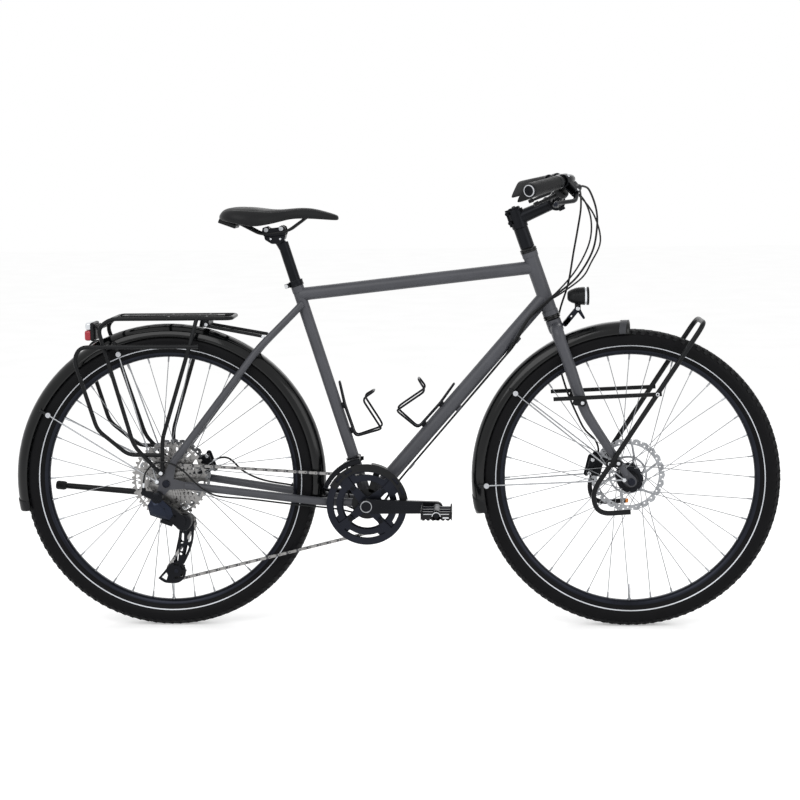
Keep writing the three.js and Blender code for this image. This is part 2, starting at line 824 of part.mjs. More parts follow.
// Joins outlines placed along a path. Each station has a place, two directions and an outline.
function sweep(stations, closed = false) {
  const count = stations[0].outline.length;
  const outlines = stations.map(({ outline }) => (
    THREE.ShapeUtils.isClockWise(outline) ? [...outline].reverse() : outline
  ));
  const points = stations.flatMap((s, i) => outlines[i].map((c) => (
    s.place.clone().addScaledVector(s.across, c.x).addScaledVector(s.up, c.y)
  )));
  const faces = [];
  const links = closed ? stations.length : stations.length - 1;
  for (let i = 0; i < links; i += 1) {
    for (let j = 0; j < count; j += 1) {
      const here = i * count;
      const there = ((i + 1) % stations.length) * count;
      const next = (j + 1) % count;
      faces.push(here + j, here + next, there + next, here + j, there + next, there + j);
    }
  }
  if (!closed) {
    const last = (stations.length - 1) * count;
    for (const [a, b, c] of THREE.ShapeUtils.triangulateShape(outlines[0], [])) {
      faces.push(c, b, a);
    }
    for (const [a, b, c] of THREE.ShapeUtils.triangulateShape(outlines[outlines.length - 1], [])) {
      faces.push(last + a, last + b, last + c);
    }
  }
  return new THREE.BufferGeometry().setFromPoints(points).setIndex(faces);
}

// A round tube whose radius changes from station to station.
function taperedTube(points, radii, sides = tubeSides) {
  const route = new Route(points);
  return sweep(points.map((place, i) => {
    const ahead = route.getTangentAt(i / (points.length - 1));
    const across = at(0, 1, 0).addScaledVector(ahead, -ahead.y).normalize();
    return { place, across, up: ahead.clone().cross(across), outline: polygon(radii[i], sides).getPoints() };
  }));
}

// A flat piece drawn in X and Z, from one Y to another.
function plate(shape, fromY, toY) {
  const depth = toY - fromY;
  const geometry = new THREE.ExtrudeGeometry(shape, { depth, bevelEnabled: false, curveSegments: endSteps });
  return geometry.rotateX(Math.PI / 2).translate(0, toY, 0);
}

// A flat bar with round ends between two points, each end with its own half width.
function strap(from, to, fromHalf, toHalf, fromY, toY) {
  const lean = Math.atan2(to.z - from.z, to.x - from.x);
  const corners = [];
  for (const [end, half, start] of [[to, toHalf, -0.5], [from, fromHalf, 0.5]]) {
    for (let i = 0; i <= endSteps; i += 1) {
      const turn = lean + (start + i / endSteps) * Math.PI;
      corners.push(new THREE.Vector2(end.x + half * Math.cos(turn), end.z + half * Math.sin(turn)));
    }
  }
  return plate(new THREE.Shape(corners), fromY, toY);
}

function block(centre, length, width, height) {
  return new THREE.BoxGeometry(length, width, height).translate(centre.x, centre.y, centre.z);
}

// A round body about a crosswise axis. The profile holds radius and Y pairs.
function turned(profile, x, z, sides = ringSides) {
  const points = profile.map(([radius, y]) => new THREE.Vector2(radius, y));
  return new THREE.LatheGeometry(points, sides).translate(x, 0, z);
}

function ring(outer, inner, fromY, toY, x, z, sides = ringSides) {
  const profile = [[inner, fromY], [outer, fromY], [outer, toY], [inner, toY], [inner, fromY]];
  return turned(profile, x, z, sides);
}

// Part of a flat ring between two angles, counted up from straight ahead.
function arcPlate(centre, inner, outer, fromAngle, toAngle, fromY, toY) {
  const steps = Math.ceil((toAngle - fromAngle) / arcStep);
  const angles = Array.from({ length: steps + 1 }, (_, i) => fromAngle + ((toAngle - fromAngle) * i) / steps);
  const edge = [
    ...angles.map((angle) => polar(centre, outer, angle)),
    ...angles.reverse().map((angle) => polar(centre, inner, angle)),
  ];
  return plate(new THREE.Shape(edge.map((p) => new THREE.Vector2(p.x, p.z))), fromY, toY);
}

function polar(centre, radius, angle, y = 0) {
  return at(centre.x + radius * Math.cos(angle * degrees), y, centre.z + radius * Math.sin(angle * degrees));
}

// Wheels

function tyre() {
  const bead = rimRadius + seatGap;
  const half = tyreWidth / 2;
  const tread = tyreTreadWidth / 2;
  const shoulder = (tyreRadius + bead) / 2;
  return turned([
    [bead, -rimWidth / 2], [shoulder, -half], [tyreRadius, -tread], [tyreRadius, tread], [shoulder, half],
    [bead, rimWidth / 2], [bead, -rimWidth / 2],
  ], 0, 0, wheelSides);
}

function rim() {
  const half = rimWidth / 2;
  const nose = rimNoseWidth / 2;
  return turned([
    [rimInnerRadius, -nose], [rimRadius, -half], [rimRadius, half], [rimInnerRadius, nose],
    [rimInnerRadius, -nose],
  ], 0, 0, wheelSides);
}

// Half of the spokes lean forward, from the outer half of each flange, and half back, from its inner half.
function spokes(flangeRadius, leftY, rightY) {
  const step = 360 / spokeCount;
  const lean = spokeCross * 2 * step;
  return Array.from({ length: spokeCount }, (_, i) => {
    const side = i % 2 === 0 ? 1 : -1;
    const sign = i % 4 < 2 ? 1 : -1;
    const faceY = (side > 0 ? leftY : rightY) + (side * sign * flangeThickness) / 2;
    const root = polar(at(0, 0, 0), flangeRadius - spokeSeat, i * step + sign * lean, faceY);
    const tip = polar(at(0, 0, 0), rimSeat - seatGap, i * step, side * spokeRimOffset);
    return taperedTube([root, tip], [spokeRadius, spokeRadius], spokeSides);
  });
}

function hubBore(halfWidth) {
  return crossRod(0, 0, -halfWidth - overrun, halfWidth + overrun, axleRadius + runningGap, boreSides);
}

function frontHub() {
  const half = frontHubWidth / 2;
  const cap = half - hubCapLength;
  const rotorSeat = frontRotorOffset - rotorThickness / 2 - seatGap;
  const shell = turned([
    [0, -half], [hubEndRadius, -half], [hubEndRadius, -cap], [frontFlangeRadius, -frontFlangeOffset],
    [frontFlangeRadius, -frontShellHalf], [frontShellRadius, -frontShellHalf],
    [frontShellRadius, frontShellHalf], [frontFlangeRadius, frontShellHalf],
    [frontFlangeRadius, frontFlangeOffset], [rotorHubRadius, rotorSeat],
    [hubEndRadius, rotorSeat], [hubEndRadius, half], [0, half],
  ], 0, 0, hubSides);
  const inset = flangeThickness / 2;
  const wires = spokes(frontFlangeRadius, frontFlangeOffset - inset, -frontFlangeOffset + inset);
  return cut(join(shell, ...wires), hubBore(half));
}

function rotor(radius, offset, boreRadius) {
  const low = offset - rotorThickness / 2;
  const high = offset + rotorThickness / 2;
  const band = ring(radius, radius - rotorBandWidth, low, high, 0, 0, ringSides);
  const centre = ring(rotorHubRadius, boreRadius, low, high, 0, 0, hubSides);
  const arms = Array.from({ length: rotorArmCount }, (_, i) => {
    const turn = (360 * i) / rotorArmCount;
    const root = polar(at(0, 0, 0), rotorHubRadius - rotorArmHalf, turn);
    const tip = polar(at(0, 0, 0), radius - rotorBandWidth + rotorArmHalf, turn + turnOfArm(radius));
    return strap(root, tip, rotorArmHalf, rotorArmHalf, low, high);
  });
  return join(band, centre, ...arms);
}

function turnOfArm(radius) {
  return (rotorHubRadius / radius) * rotorTwist;
}

function rearHub() {
  const half = rearHubWidth / 2;
  const left = rearFlangeLeft;
  const right = -rearFlangeRight;
  const freehubEnd = -half + hubCapLength;
  const shell = turned([
    [0, -half], [hubEndRadius, -half], [hubEndRadius, freehubEnd], [freehubRadius, freehubEnd],
    [freehubRadius, right - flangeThickness], [rearFlangeRadius, right - flangeThickness],
    [rearFlangeRadius, right], [rearShellRadius, right + flangeThickness],
    [rearShellRadius, left - flangeThickness],
    [rearFlangeRadius, left], [rearFlangeRadius, left + flangeThickness], [rotorHubRadius, rearRotorOffset],
    [hubEndRadius, rearRotorOffset], [hubEndRadius, half], [0, half],
  ], 0, 0, hubSides);
  const inset = flangeThickness / 2;
  const wires = spokes(rearFlangeRadius, left + inset, right - inset);
  return cut(join(shell, ...wires, rotor(rearRotorRadius, rearRotorOffset, hubEndRadius)), hubBore(half));
}

// The cogs in one stepped body, with a groove on each side of the driven cog for the chain's plates.
function cassette() {
  const profile = [];
  const bore = freehubRadius / Math.cos(Math.PI / hubSides) + seatGap;
  cogTeeth.forEach((teeth, i) => {
    const middle = -chainPlane - (drivenCog - i) * cogSpacing;
    const radius = pitchRadius(teeth) + toothTip;
    profile.push([radius, middle - toothThickness / 2]);
    const grooved = i === drivenCog || i === drivenCog - 1;
    const end = grooved ? middle + toothThickness / 2 : middle + cogSpacing - toothThickness / 2;
    const last = i === cogTeeth.length - 1;
    profile.push([radius, last ? middle + toothThickness / 2 : end]);
    if (grooved) {
      const floor = pitchRadius(cogTeeth[drivenCog - 1]) + toothTip - cogSpacerDepth;
      profile.push([floor, middle + toothThickness / 2]);
      profile.push([floor, middle + cogSpacing - toothThickness / 2]);
    }
  });
  const first = profile[0][1];
  const final = profile[profile.length - 1][1];
  return turned([[bore, first], ...profile, [bore, final], [bore, first]], 0, 0, hubSides);
}

function axle(x, halfGap, thickness) {
  const reach = halfGap + thickness + seatGap;
  const shaft = crossRod(x, axleZ, -reach - axleHeadLength, reach + axleHeadLength, axleRadius, boreSides);
  const heads = [-1, 1].map((side) => (
    crossRod(x, axleZ, side * reach, side * (reach + axleHeadLength), axleHeadRadius)
  ));
  return join(shaft, ...heads);
}

// Frame

function rearDropout(side) {
  const inner = side * rearDropoutInner;
  const outer = side * (rearDropoutInner + dropoutThickness);
  const [low, high] = [Math.min(inner, outer), Math.max(inner, outer)];
  const arms = [
    strap(rearAxle, seatStayFoot, dropoutAxleHalf, dropoutEndHalf, low, high),
    strap(rearAxle, chainStayFoot, dropoutAxleHalf, dropoutEndHalf, low, high),
    strap(rearAxle, guardEyelet, dropoutAxleHalf, eyeletHalf, low, high),
    strap(rearAxle, rackEyelet, dropoutAxleHalf, eyeletHalf, low, high),
  ];
  if (side < 0) {
    arms.push(strap(rearAxle, hanger, dropoutAxleHalf, hangerHalf, low, high));
  }
  return join(...arms);
}

function seatStayPoints(side) {
  const spread = rearDropoutInner + dropoutThickness / 2;
  const top = along(seatTubeTop, seatTubeUp, -seatStayDrop);
  return onSide(side, [
    at(seatStayFoot.x, spread, seatStayFoot.z), at(seatStayKnee.x, seatStayKneeSpread, seatStayKnee.z),
    at(top.x - seatTubeRadius, seatStayTopSpread + seatStayRadius, top.z - 2 * seatStayRadius),
    at(top.x, seatStayTopSpread, top.z),
  ]);
}

function seatStay(side) {
  const radii = [seatStayFootRadius, seatStayRadius, seatStayRadius, seatStayRadius];
  return taperedTube(seatStayPoints(side), radii);
}

function chainStay(side) {
  const spread = rearDropoutInner + dropoutThickness / 2 - seatGap;
  const points = onSide(side, [
    at(chainStayFoot.x, spread, chainStayFoot.z), at(chainStayTyre.x, chainStayTyreSpread, chainStayTyre.z),
    at(chainStayWaist.x, chainStayWaistSpread, chainStayWaist.z),
    at(crankAxisX - chainStayHeadSetback, chainStayHeadSpread, crankAxisZ),
  ]);
  const radii = [chainStayFootRadius, chainStayHeadRadius, chainStayHeadRadius, chainStayHeadRadius];
  return taperedTube(points, radii);
}

function frame() {
  const topTubeFoot = along(seatTubeTop, seatTubeUp, -topTubeSeatDrop);
  const topTubeHead = along(headTubeTop, steererUp, -topTubeDrop);
  const shellHalf = shellWidth / 2;
  const tubes = [
    rod(crankAxis, seatTubeTop, seatTubeRadius, boreSides),
    rod(headTubeFoot, headTubeTop, headTubeRadius, boreSides),
    rod(topTubeFoot, topTubeHead, topTubeRadius),
    rod(crankAxis, downTubeTop, downTubeRadius),
    crossRod(crankAxisX, crankAxisZ, -shellHalf, shellHalf, shellRadius, boreSides),
    crossRod(stayBridge.x, stayBridge.z, -seatStayKneeSpread, seatStayKneeSpread, bridgeRadius, wireSides),
    crossRod(crankAxisX - shellBridgeSetback, chainStayWaist.z, -chainStayWaistSpread, chainStayWaistSpread,
      bridgeRadius, wireSides),
  ];
  for (const side of [-1, 1]) {
    tubes.push(rearDropout(side), seatStay(side), chainStay(side));
  }
  tubes.push(caliperTabs(chainStayFoot, 0, rearCaliperAngle, rearRotorRadius,
    rearRotorOffset));
  const bores = [
    rod(along(seatTubeTop, seatTubeUp, -seatPostLength), along(seatTubeTop, seatTubeUp, overrun),
      seatPostRadius + seatGap, boreSides),
    rod(along(headTubeFoot, steererUp, -overrun), along(headTubeTop, steererUp, overrun),
      sleeveRadius + seatGap, boreSides),
    crossRod(crankAxisX, crankAxisZ, -shellHalf - overrun, shellHalf + overrun,
      spindleRadius + runningGap + bracketSleeveWall + seatGap, boreSides),
    crossRod(0, axleZ, -rearHubWidth, rearHubWidth, axleRadius + seatGap, boreSides),
  ];
  return cut(join(...tubes), ...bores);
}

// The headset's two cups, with the sleeve between them that the fork turns in.
function headset() {
  const low = along(headTubeFoot, steererUp, -seatGap);
  const high = along(headTubeTop, steererUp, seatGap);
  return cut(
    join(
      rod(along(low, steererUp, -headCupHeight), low, headCupRadius, boreSides),
      rod(along(low, steererUp, -overrun), along(high, steererUp, overrun), sleeveRadius, boreSides),
      rod(high, along(high, steererUp, headCupHeight), headCupRadius, boreSides),
    ),
    rod(along(low, steererUp, -headCupHeight - overrun), along(high, steererUp, headCupHeight + overrun),
      steererRadius + runningGap, boreSides),
  );
}

function seatClamp() {
  const low = along(seatTubeTop, seatTubeUp, -seatClampHeight);
  const high = along(seatTubeTop, seatTubeUp, -seatGap);
  const middle = along(seatTubeTop, seatTubeUp, -seatClampHeight / 2);
  const earMiddle = at(-seatClampRadius - seatClampEar / 2, 0, 0);
  const ear = block(earMiddle, seatClampEar, seatClampEar, seatClampHeight / 1.5);
  ear.rotateY(-(Math.PI / 2 - seatTubeAngle * degrees)).translate(middle.x, middle.y, middle.z);
  const backward = at(-seatTubeUp.z, 0, seatTubeUp.x);
  const boltPlace = along(middle, backward, seatClampRadius + seatClampEar / 2);
  const bolt = crossRod(boltPlace.x, boltPlace.z, -seatClampEar, seatClampEar, seatClampBolt, wireSides);
  const bore = rod(along(low, seatTubeUp, -overrun), along(high, seatTubeUp, overrun),
    seatTubeRadius + seatGap, boreSides);
  const joint = along(middle, at(-1, 0, 0), seatClampRadius - seatGap * 4);
  const bridge = block(joint, seatClampEar / 2, seatClampEar, seatClampHeight / 2);
  return cut(join(rod(low, high, seatClampRadius, boreSides), ear, bridge, bolt), bore);
}

function bottomBracket() {
  const half = shellWidth / 2 + seatGap;
  const outer = half + bracketCupLength;
  const bore = spindleRadius + runningGap;
  return turned([
    [bore, -outer], [bracketCupRadius, -outer], [bracketCupRadius, -half], [bore + bracketSleeveWall, -half],
    [bore + bracketSleeveWall, half], [bracketCupRadius, half], [bracketCupRadius, outer], [bore, outer],
    [bore, -outer],
  ], crankAxisX, crankAxisZ, boreSides);
}

// Mudguards

function guardOutline() {
  const half = guardWidth / 2;
  const outer = [];
  const inner = [];
  for (let i = 0; i <= guardSectionPoints; i += 1) {
    const turn = (Math.PI * i) / guardSectionPoints;
    const [u, v] = [Math.cos(turn), Math.sin(turn)];
    outer.push(new THREE.Vector2(half * u, guardDepth * v));
    inner.push(new THREE.Vector2((half - guardWall) * u, (guardDepth - guardWall) * v));
  }
  return [...outer, ...inner.reverse()];
}

function mudguard(x, fromAngle, toAngle) {
  const centre = at(x, 0, axleZ);
  const steps = Math.round((toAngle - fromAngle) / guardArcStep);
  return sweep(Array.from({ length: steps + 1 }, (_, i) => {
    const angle = fromAngle + ((toAngle - fromAngle) * i) / steps;
    const up = at(Math.cos(angle * degrees), 0, Math.sin(angle * degrees));
    const place = along(centre, up, guardRadius - guardDepth);
    return { place, across: at(0, 1, 0), up, outline: guardOutline() };
  }));
}

// Two wires, each bent under the guard's crown, whose four ends meet at the two eyelets.
function guardStays(x, eyelet, angles, eyeletY) {
  const centre = at(x, 0, axleZ);
  const half = guardWidth / 2;
  const base = guardRadius - guardDepth;
  const insideHalf = half - guardWall - stayWireRadius - stayWireGap;
  const insideDepth = guardDepth - guardWall - 2 * stayWireRadius - stayWireGap;
  const wires = angles.map((angle) => {
    const right = [
      at(eyelet.x, -eyeletY, eyelet.z),
      polar(centre, guardRadius - stayClipDepth, angle, -half - stayWireRadius),
      polar(centre, guardRadius - stayClipDepth, angle, -insideHalf),
      polar(centre, base + insideDepth * Math.SQRT1_2, angle, -insideHalf * Math.SQRT1_2),
    ];
    const crown = polar(centre, base + insideDepth, angle);
    const left = onSide(-1, right).reverse();
    return bentTube(rounded([...right, crown, ...left], half / 6, wireBendSteps), stayWireRadius, staySides);
  });
  const washers = [-1, 1].map((side) => (
    crossRod(eyelet.x, eyelet.z, side * (eyeletY - guardClipHalf / 2), side * (eyeletY + guardClipHalf / 2),
      eyeletHalf, wireSides)
  ));
  return join(...wires, ...washers);
}

// Rear rack

function rearRack() {
  const outerFoot = rearDropoutInner + dropoutThickness + seatGap + rackTubeRadius;
  const pannierRailZ = rackTopZ - pannierRailDrop;
  const topLoopHalf = [
    at(rackFootX, outerFoot, rackEyelet.z), at(rackRearKnee.x, rackFootSpread, rackRearKnee.z),
    at(rackBend.x, rackBendSpread, rackBend.z), at(rackTopRearX, rackTopSpread, rackTopZ),
    at(rackTopFrontX, rackTopSpread, rackTopZ), at(rackTopFrontX, 0, rackTopZ),
  ];
  const loop = [...topLoopHalf.slice(0, -1), ...onSide(-1, topLoopHalf.slice(0, -1)).reverse()];
  const tubes = [bentTube(rounded(loop, rackCornerBend), rackTubeRadius)];
  for (const side of [-1, 1]) {
    const pannier = onSide(side, [
      at(pannierFrontX, pannierSpread, pannierRailZ),
      at(rearLightX - pannierRearBehind, pannierSpread, pannierRailZ),
      at(rearLightX - pannierTurnBehind, pannierSpread, rackTopZ - pannierTurnDrop),
      at(pannierKnee.x, pannierSpread, pannierKnee.z),
      at(pannierFoot.x, pannierSpread, pannierFoot.z), at(rackStrutFootX, rackFootSpread, pannierFoot.z),
    ]);
    const strut = onSide(side, [
      at(rackFrontX, rackTopSpread, rackTopZ), at(rackFrontX - rackCornerBend, pannierSpread, pannierRailZ),
      at(rackStrutKnee.x, rackFootSpread, rackStrutKnee.z), at(rackStrutFootX, outerFoot, rackEyelet.z),
    ]);
    tubes.push(bentTube(rounded(pannier, rackCornerBend), rackTubeRadius));
    tubes.push(bentTube(rounded(strut, rackCornerBend), rackTubeRadius));
    tubes.push(crossRod(rackFootX + rackTubeRadius / 2, rackEyelet.z, side * (outerFoot - rackTubeRadius),
      side * (outerFoot + rackTubeRadius), eyeletHalf * 1.3, wireSides));
  }
  for (const x of rackCrossPlaces) {
    tubes.push(crossRod(x, rackTopZ, -rackTopSpread, rackTopSpread, rackTubeRadius * 0.8, wireSides));
  }
  const middle = at((rackTopFrontX + rackTopRearX) / 2, 0, rackTopZ + rackTubeRadius - rackPlateThickness / 2);
  tubes.push(block(middle, rackPlateLength, rackPlateWidth, rackPlateThickness));
  tubes.push(lightPlate(), ...rackTie());
  return join(...tubes);
}

function lightPlate() {
  const face = block(at(rearLightX + rearLightPlate / 2 + seatGap, 0, rearLightZ), rearLightPlate,
    rearLightWidth - overrun, rearLightPlateHeight);
  const bar = crossRod(rackBend.x, rackBend.z, -rackBendSpread, rackBendSpread, rackTubeRadius * 0.8,
    wireSides);
  const middle = offset(rackBend, -rackBendAhead / 2, 0);
  const arm = block(middle, rackBendAhead, rackPlateWidth, rearLightPlate);
  return join(face, bar, arm);
}

// A bracket under the rack's front and the two rods that tie it to the seatstays.
function rackTie() {
  const tieX = rackCrossPlaces[rackCrossPlaces.length - 1];
  const width = 2 * rackTieSpread + 2 * rackTieHalf;
  const bracket = block(at(tieX, 0, rackTopZ - rackTieDrop / 2), 2 * rackTieHalf, width,
    rackTieDrop + rackTubeRadius);
  const rods = [-1, 1].map((side) => {
    const start = at(tieX, side * rackTieSpread, rackTopZ - rackTieDrop);
    const [, knee, shoulder] = seatStayPoints(side);
    const seat = knee.clone().lerp(shoulder, rackTieShare);
    const back = start.clone().sub(seat).normalize();
    return rod(start, along(seat, back, seatStayRadius + rackTubeRadius), rackTubeRadius * 0.8, wireSides);
  });
  return [bracket, ...rods];
}

function rearLight() {
  return block(at(rearLightX - rearLightDepth / 2, 0, rearLightZ), rearLightDepth, rearLightWidth,
    rearLightHeight);
}

// Bottle cages

// Turns a reach along a tube, a rise from its surface and a side distance into a place.
function tubeFrame(foot, direction, outward, surface) {
  return (reach, side, rise) => at(0, side, 0)
    .add(along(along(foot, direction, reach), outward, surface + rise));
}

function bottleCage(place) {
  const wire = cageWireRadius;
  const half = [
    place(cageTongueReach, 0, cageTongueRise), place(cageTongueReach, cageFootHalf / 1.5, cageTongueRise),
    place(cageBoltSpacing, cageFootHalf, wire + cageBoss), place(-cageFootReach, cageFootHalf, cageFootRise),
    place(-cageFootReach, cageSideHalf / 1.5, cageLipRise),
    place(-cageFootReach / 2, cageSideHalf, cageLipRise),
    place(cageArmReach, cageSideHalf, cageArmRise), place(cageMouthReach, cageSideHalf / 1.6, cageMouthRise),
    place(cageMouthReach, 0, cageMouthRise),
  ];
  const mirror = half.map((p) => at(p.x, -p.y, p.z));
  const seam = at(0, wire, 0);
  half[0].sub(seam);
  half[half.length - 1].sub(seam);
  const wires = [half, mirror].map((points) => (
    bentTube(rounded(points, cageFootHalf, wireBendSteps), wire, staySides)
  ));
  const bosses = [0, cageBoltSpacing].flatMap((reach) => [
    rod(place(reach, 0, seatGap), place(reach, 0, 2 * wire + cageBoss), cageStripHalf, wireSides),
    rod(place(reach, -cageFootHalf, wire + cageBoss), place(reach, cageFootHalf, wire + cageBoss), wire,
      pinSides),
  ]);
  return join(...wires, ...bosses);
}

// Drivetrain

function tangent(from, fromRadius, fromTurn, to, toRadius, toTurn) {
  const reach = to.clone().sub(from);
  const distance = reach.length();
  const lean = Math.acos((fromTurn * fromRadius - toTurn * toRadius) / distance);
  const angle = Math.atan2(reach.z, reach.x) + lean;
  const normal = at(Math.cos(angle), 0, Math.sin(angle));
  return [along(from, normal, fromTurn * fromRadius), along(to, normal, toTurn * toRadius)];
}

// Points round a wheel from one place to another. A turn of 1 is clockwise seen from the right.
function wrap(centre, radius, from, to, turn) {
  const start = Math.atan2(from.z - centre.z, from.x - centre.x);
  let sweepAngle = Math.atan2(to.z - centre.z, to.x - centre.x) - start;
  while (turn * sweepAngle > 0) {
    sweepAngle -= turn * 2 * Math.PI;
  }
  const steps = Math.ceil(Math.abs(sweepAngle) / (chainArcStep * degrees));
  return Array.from({ length: steps + 1 }, (_, i) => {
    const angle = start + (sweepAngle * i) / steps;
    return at(centre.x + radius * Math.cos(angle), 0, centre.z + radius * Math.sin(angle));
  });
}

function chainWheels() {
  return [
    { centre: rearAxle, radius: pitchRadius(cogTeeth[drivenCog]), turn: 1 },
    { centre: crankAxis, radius: pitchRadius(ringTeeth), turn: 1 },
    { centre: tensionPulley, radius: pitchRadius(pulleyTeeth), turn: 1 },
    { centre: guidePulley, radius: pitchRadius(pulleyTeeth), turn: -1 },
  ];
}

function chain() {
  const wheels = chainWheels();
  const runs = wheels.map((w, i) => {
    const next = wheels[(i + 1) % wheels.length];
    return tangent(w.centre, w.radius, w.turn, next.centre, next.radius, next.turn);
  });
  const points = wheels.flatMap((w, i) => {
    const arriving = runs[(i + wheels.length - 1) % wheels.length][1];
    return wrap(w.centre, w.radius, arriving, runs[i][0], w.turn);
  });
  const half = chainHeight / 2;
  const bands = [-1, 1].map((side) => {
    const inner = side * chainInnerHalf - chainPlane;
    const outer = side * chainOuterHalf - chainPlane;
    const outline = [[outer, -half], [outer, half], [inner, half], [inner, -half]];
    return sweep(points.map((place, i) => {
      const before = points[(i + points.length - 1) % points.length];
      const after = points[(i + 1) % points.length];
      const ahead = after.clone().sub(before).normalize();
      return {
        place, across: at(0, 1, 0), up: ahead.clone().cross(at(0, 1, 0)),
        outline: outline.map(([x, y]) => new THREE.Vector2(x, y)),
      };
    }), true);
  });
  const pins = runs.flatMap(([from, to]) => {
    const count = Math.floor(from.distanceTo(to) / chainPinSpacing);
    return Array.from({ length: count }, (_, i) => {
      const spot = from.clone().lerp(to, (i + 1) / (count + 1));
      return crossRod(spot.x, spot.z, -chainPlane - chainOuterHalf + weld, -chainPlane + chainOuterHalf - weld,
        chainPinRadius, wireSides);
    });
  });
  return join(...bands, ...pins);
}

function boltPlaces() {
  return Array.from({ length: spiderCount }, (_, i) => spiderTurn + (360 * i) / spiderCount);
}

function chainrings() {
  const half = toothThickness / 2;
  const rings = [
    [pitchRadius(ringTeeth) + toothTip, ringBoltCircle - ringTabHalf, chainPlane],
    [pitchRadius(largeRingTeeth) + toothTip, pitchRadius(ringTeeth) + ringRimWidth / 2,
      chainPlane + ringSpacing],
    [guardRingRadius, guardRingRadius - guardRingWidth, chainPlane + guardRingOffset],
  ];
  const parts = rings.map(([outer, inner, plane]) => (
    ring(outer, inner, -plane - half, -plane + half, crankAxisX, crankAxisZ, ringSides)
  ));
  for (const [, inner, plane] of rings.slice(1)) {
    parts.push(...boltPlaces().map((turn) => strap(
      polar(crankAxis, ringBoltCircle, turn), polar(crankAxis, inner, turn), ringTabHalf, ringTabHalf,
      -plane - half, -plane + half,
    )));
  }
  const bolts = boltPlaces().map((turn) => {
    const spot = polar(crankAxis, ringBoltCircle, turn);
    return crossRod(spot.x, spot.z, -chainPlane - guardRingOffset - half, -chainPlane + half, ringBoltRadius,
      wireSides);
  });
  return join(...parts, ...bolts);
}

function crankArm(side, ahead) {
  const reach = at(ahead * crankLength, 0, 0);
  const stations = [-crankHubRadius / crankLength, ...crankArmShares, 1 + crankArmHalfEnd / crankLength];
  return sweep(stations.map((share, i) => {
    const inner = crankArmInner + crankArmSplay * Math.min(Math.max(share, 0), 1);
    const ends = i === 0 || i === stations.length - 1;
    const whole = crankArmHalfRoot + (crankArmHalfEnd - crankArmHalfRoot) * Math.max(share, 0);
    const half = whole * (ends ? 0.55 : 1);
    const y = side * (inner + crankArmThickness / 2);
    const depth = crankArmThickness / 2;
    const outline = [[-depth, -half * 0.8], [-depth, half * 0.8], [-depth * 0.7, half], [depth * 0.7, half],
      [depth, half * 0.8], [depth, -half * 0.8], [depth * 0.7, -half], [-depth * 0.7, -half]];
    return {
      place: at(crankAxisX + reach.x * share, y, crankAxisZ), across: at(0, 1, 0), up: at(0, 0, 1),
      outline: outline.map(([x, z]) => new THREE.Vector2(x, z)),
    };
  }));
}

function pedalSpindle(side, ahead) {
  const x = crankAxisX + ahead * crankLength;
  const end = pedalInner + pedalWidth - pedalRail;
  const start = side * (crankArmInner + crankArmSplay);
  return crossRod(x, crankAxisZ, start, side * end, pedalAxleRadius, boreSides);
}

function rightCrank() {
  const hub = crossRod(crankAxisX, crankAxisZ, -crankHubInner, -crankHubOuter, crankHubRadius, boreSides);
  const spindle = crossRod(crankAxisX, crankAxisZ, -crankHubOuter + overrun, leftCrankInner + crankHubRadius,
    spindleRadius, boreSides);
  const middle = -chainPlane - ringSpacing / 2;
  const arms = boltPlaces().map((turn) => strap(
    crankAxis, polar(crankAxis, ringBoltCircle, turn), crankHubRadius * 0.8, ringTabHalf,
    middle - spiderThickness / 2, middle + spiderThickness / 2,
  ));
  const holes = boltPlaces().map((turn) => {
    const spot = polar(crankAxis, ringBoltCircle, turn);
    return crossRod(spot.x, spot.z, middle - spiderThickness, middle + spiderThickness,
      ringBoltRadius + seatGap, wireSides);
  });
  return join(hub, spindle, crankArm(-1, 1), pedalSpindle(-1, 1), cut(join(...arms), ...holes));
}

function leftCrank() {
  const hub = crossRod(crankAxisX, crankAxisZ, leftCrankInner, crankHubOuter, crankHubRadius, boreSides);
  const depth = leftCrankInner + crankHubRadius + seatGap;
  const bore = crossRod(crankAxisX, crankAxisZ, leftCrankInner - overrun, depth, spindleRadius + seatGap,
    boreSides);
  return cut(join(hub, crankArm(1, -1), pedalSpindle(1, -1)), bore);
}

// A pedal cage of four rails round a barrel that turns on the spindle.
function pedal(side, ahead) {
  const x = crankAxisX + ahead * crankLength;
  const inner = pedalInner;
  const outer = pedalInner + pedalWidth;
  const middle = side * (inner + outer) / 2;
  const rails = [-1, 1].map((end) => (
    block(at(x + end * (pedalLength - pedalRail) / 2, middle, crankAxisZ), pedalRail, pedalWidth, pedalHeight)
  ));
  const ends = [inner + pedalRail / 2, outer - pedalRail / 2].map((y) => (
    block(at(x, side * y, crankAxisZ), pedalLength, pedalRail, pedalHeight * 0.8)
  ));
  const barrel = crossRod(x, crankAxisZ, side * inner, side * outer, pedalBarrel, boreSides);
  const bore = crossRod(x, crankAxisZ, side * (inner - overrun), side * (outer - pedalRail + runningGap),
    pedalAxleRadius + runningGap, boreSides);
  return cut(join(...rails, ...ends, barrel), bore);
}

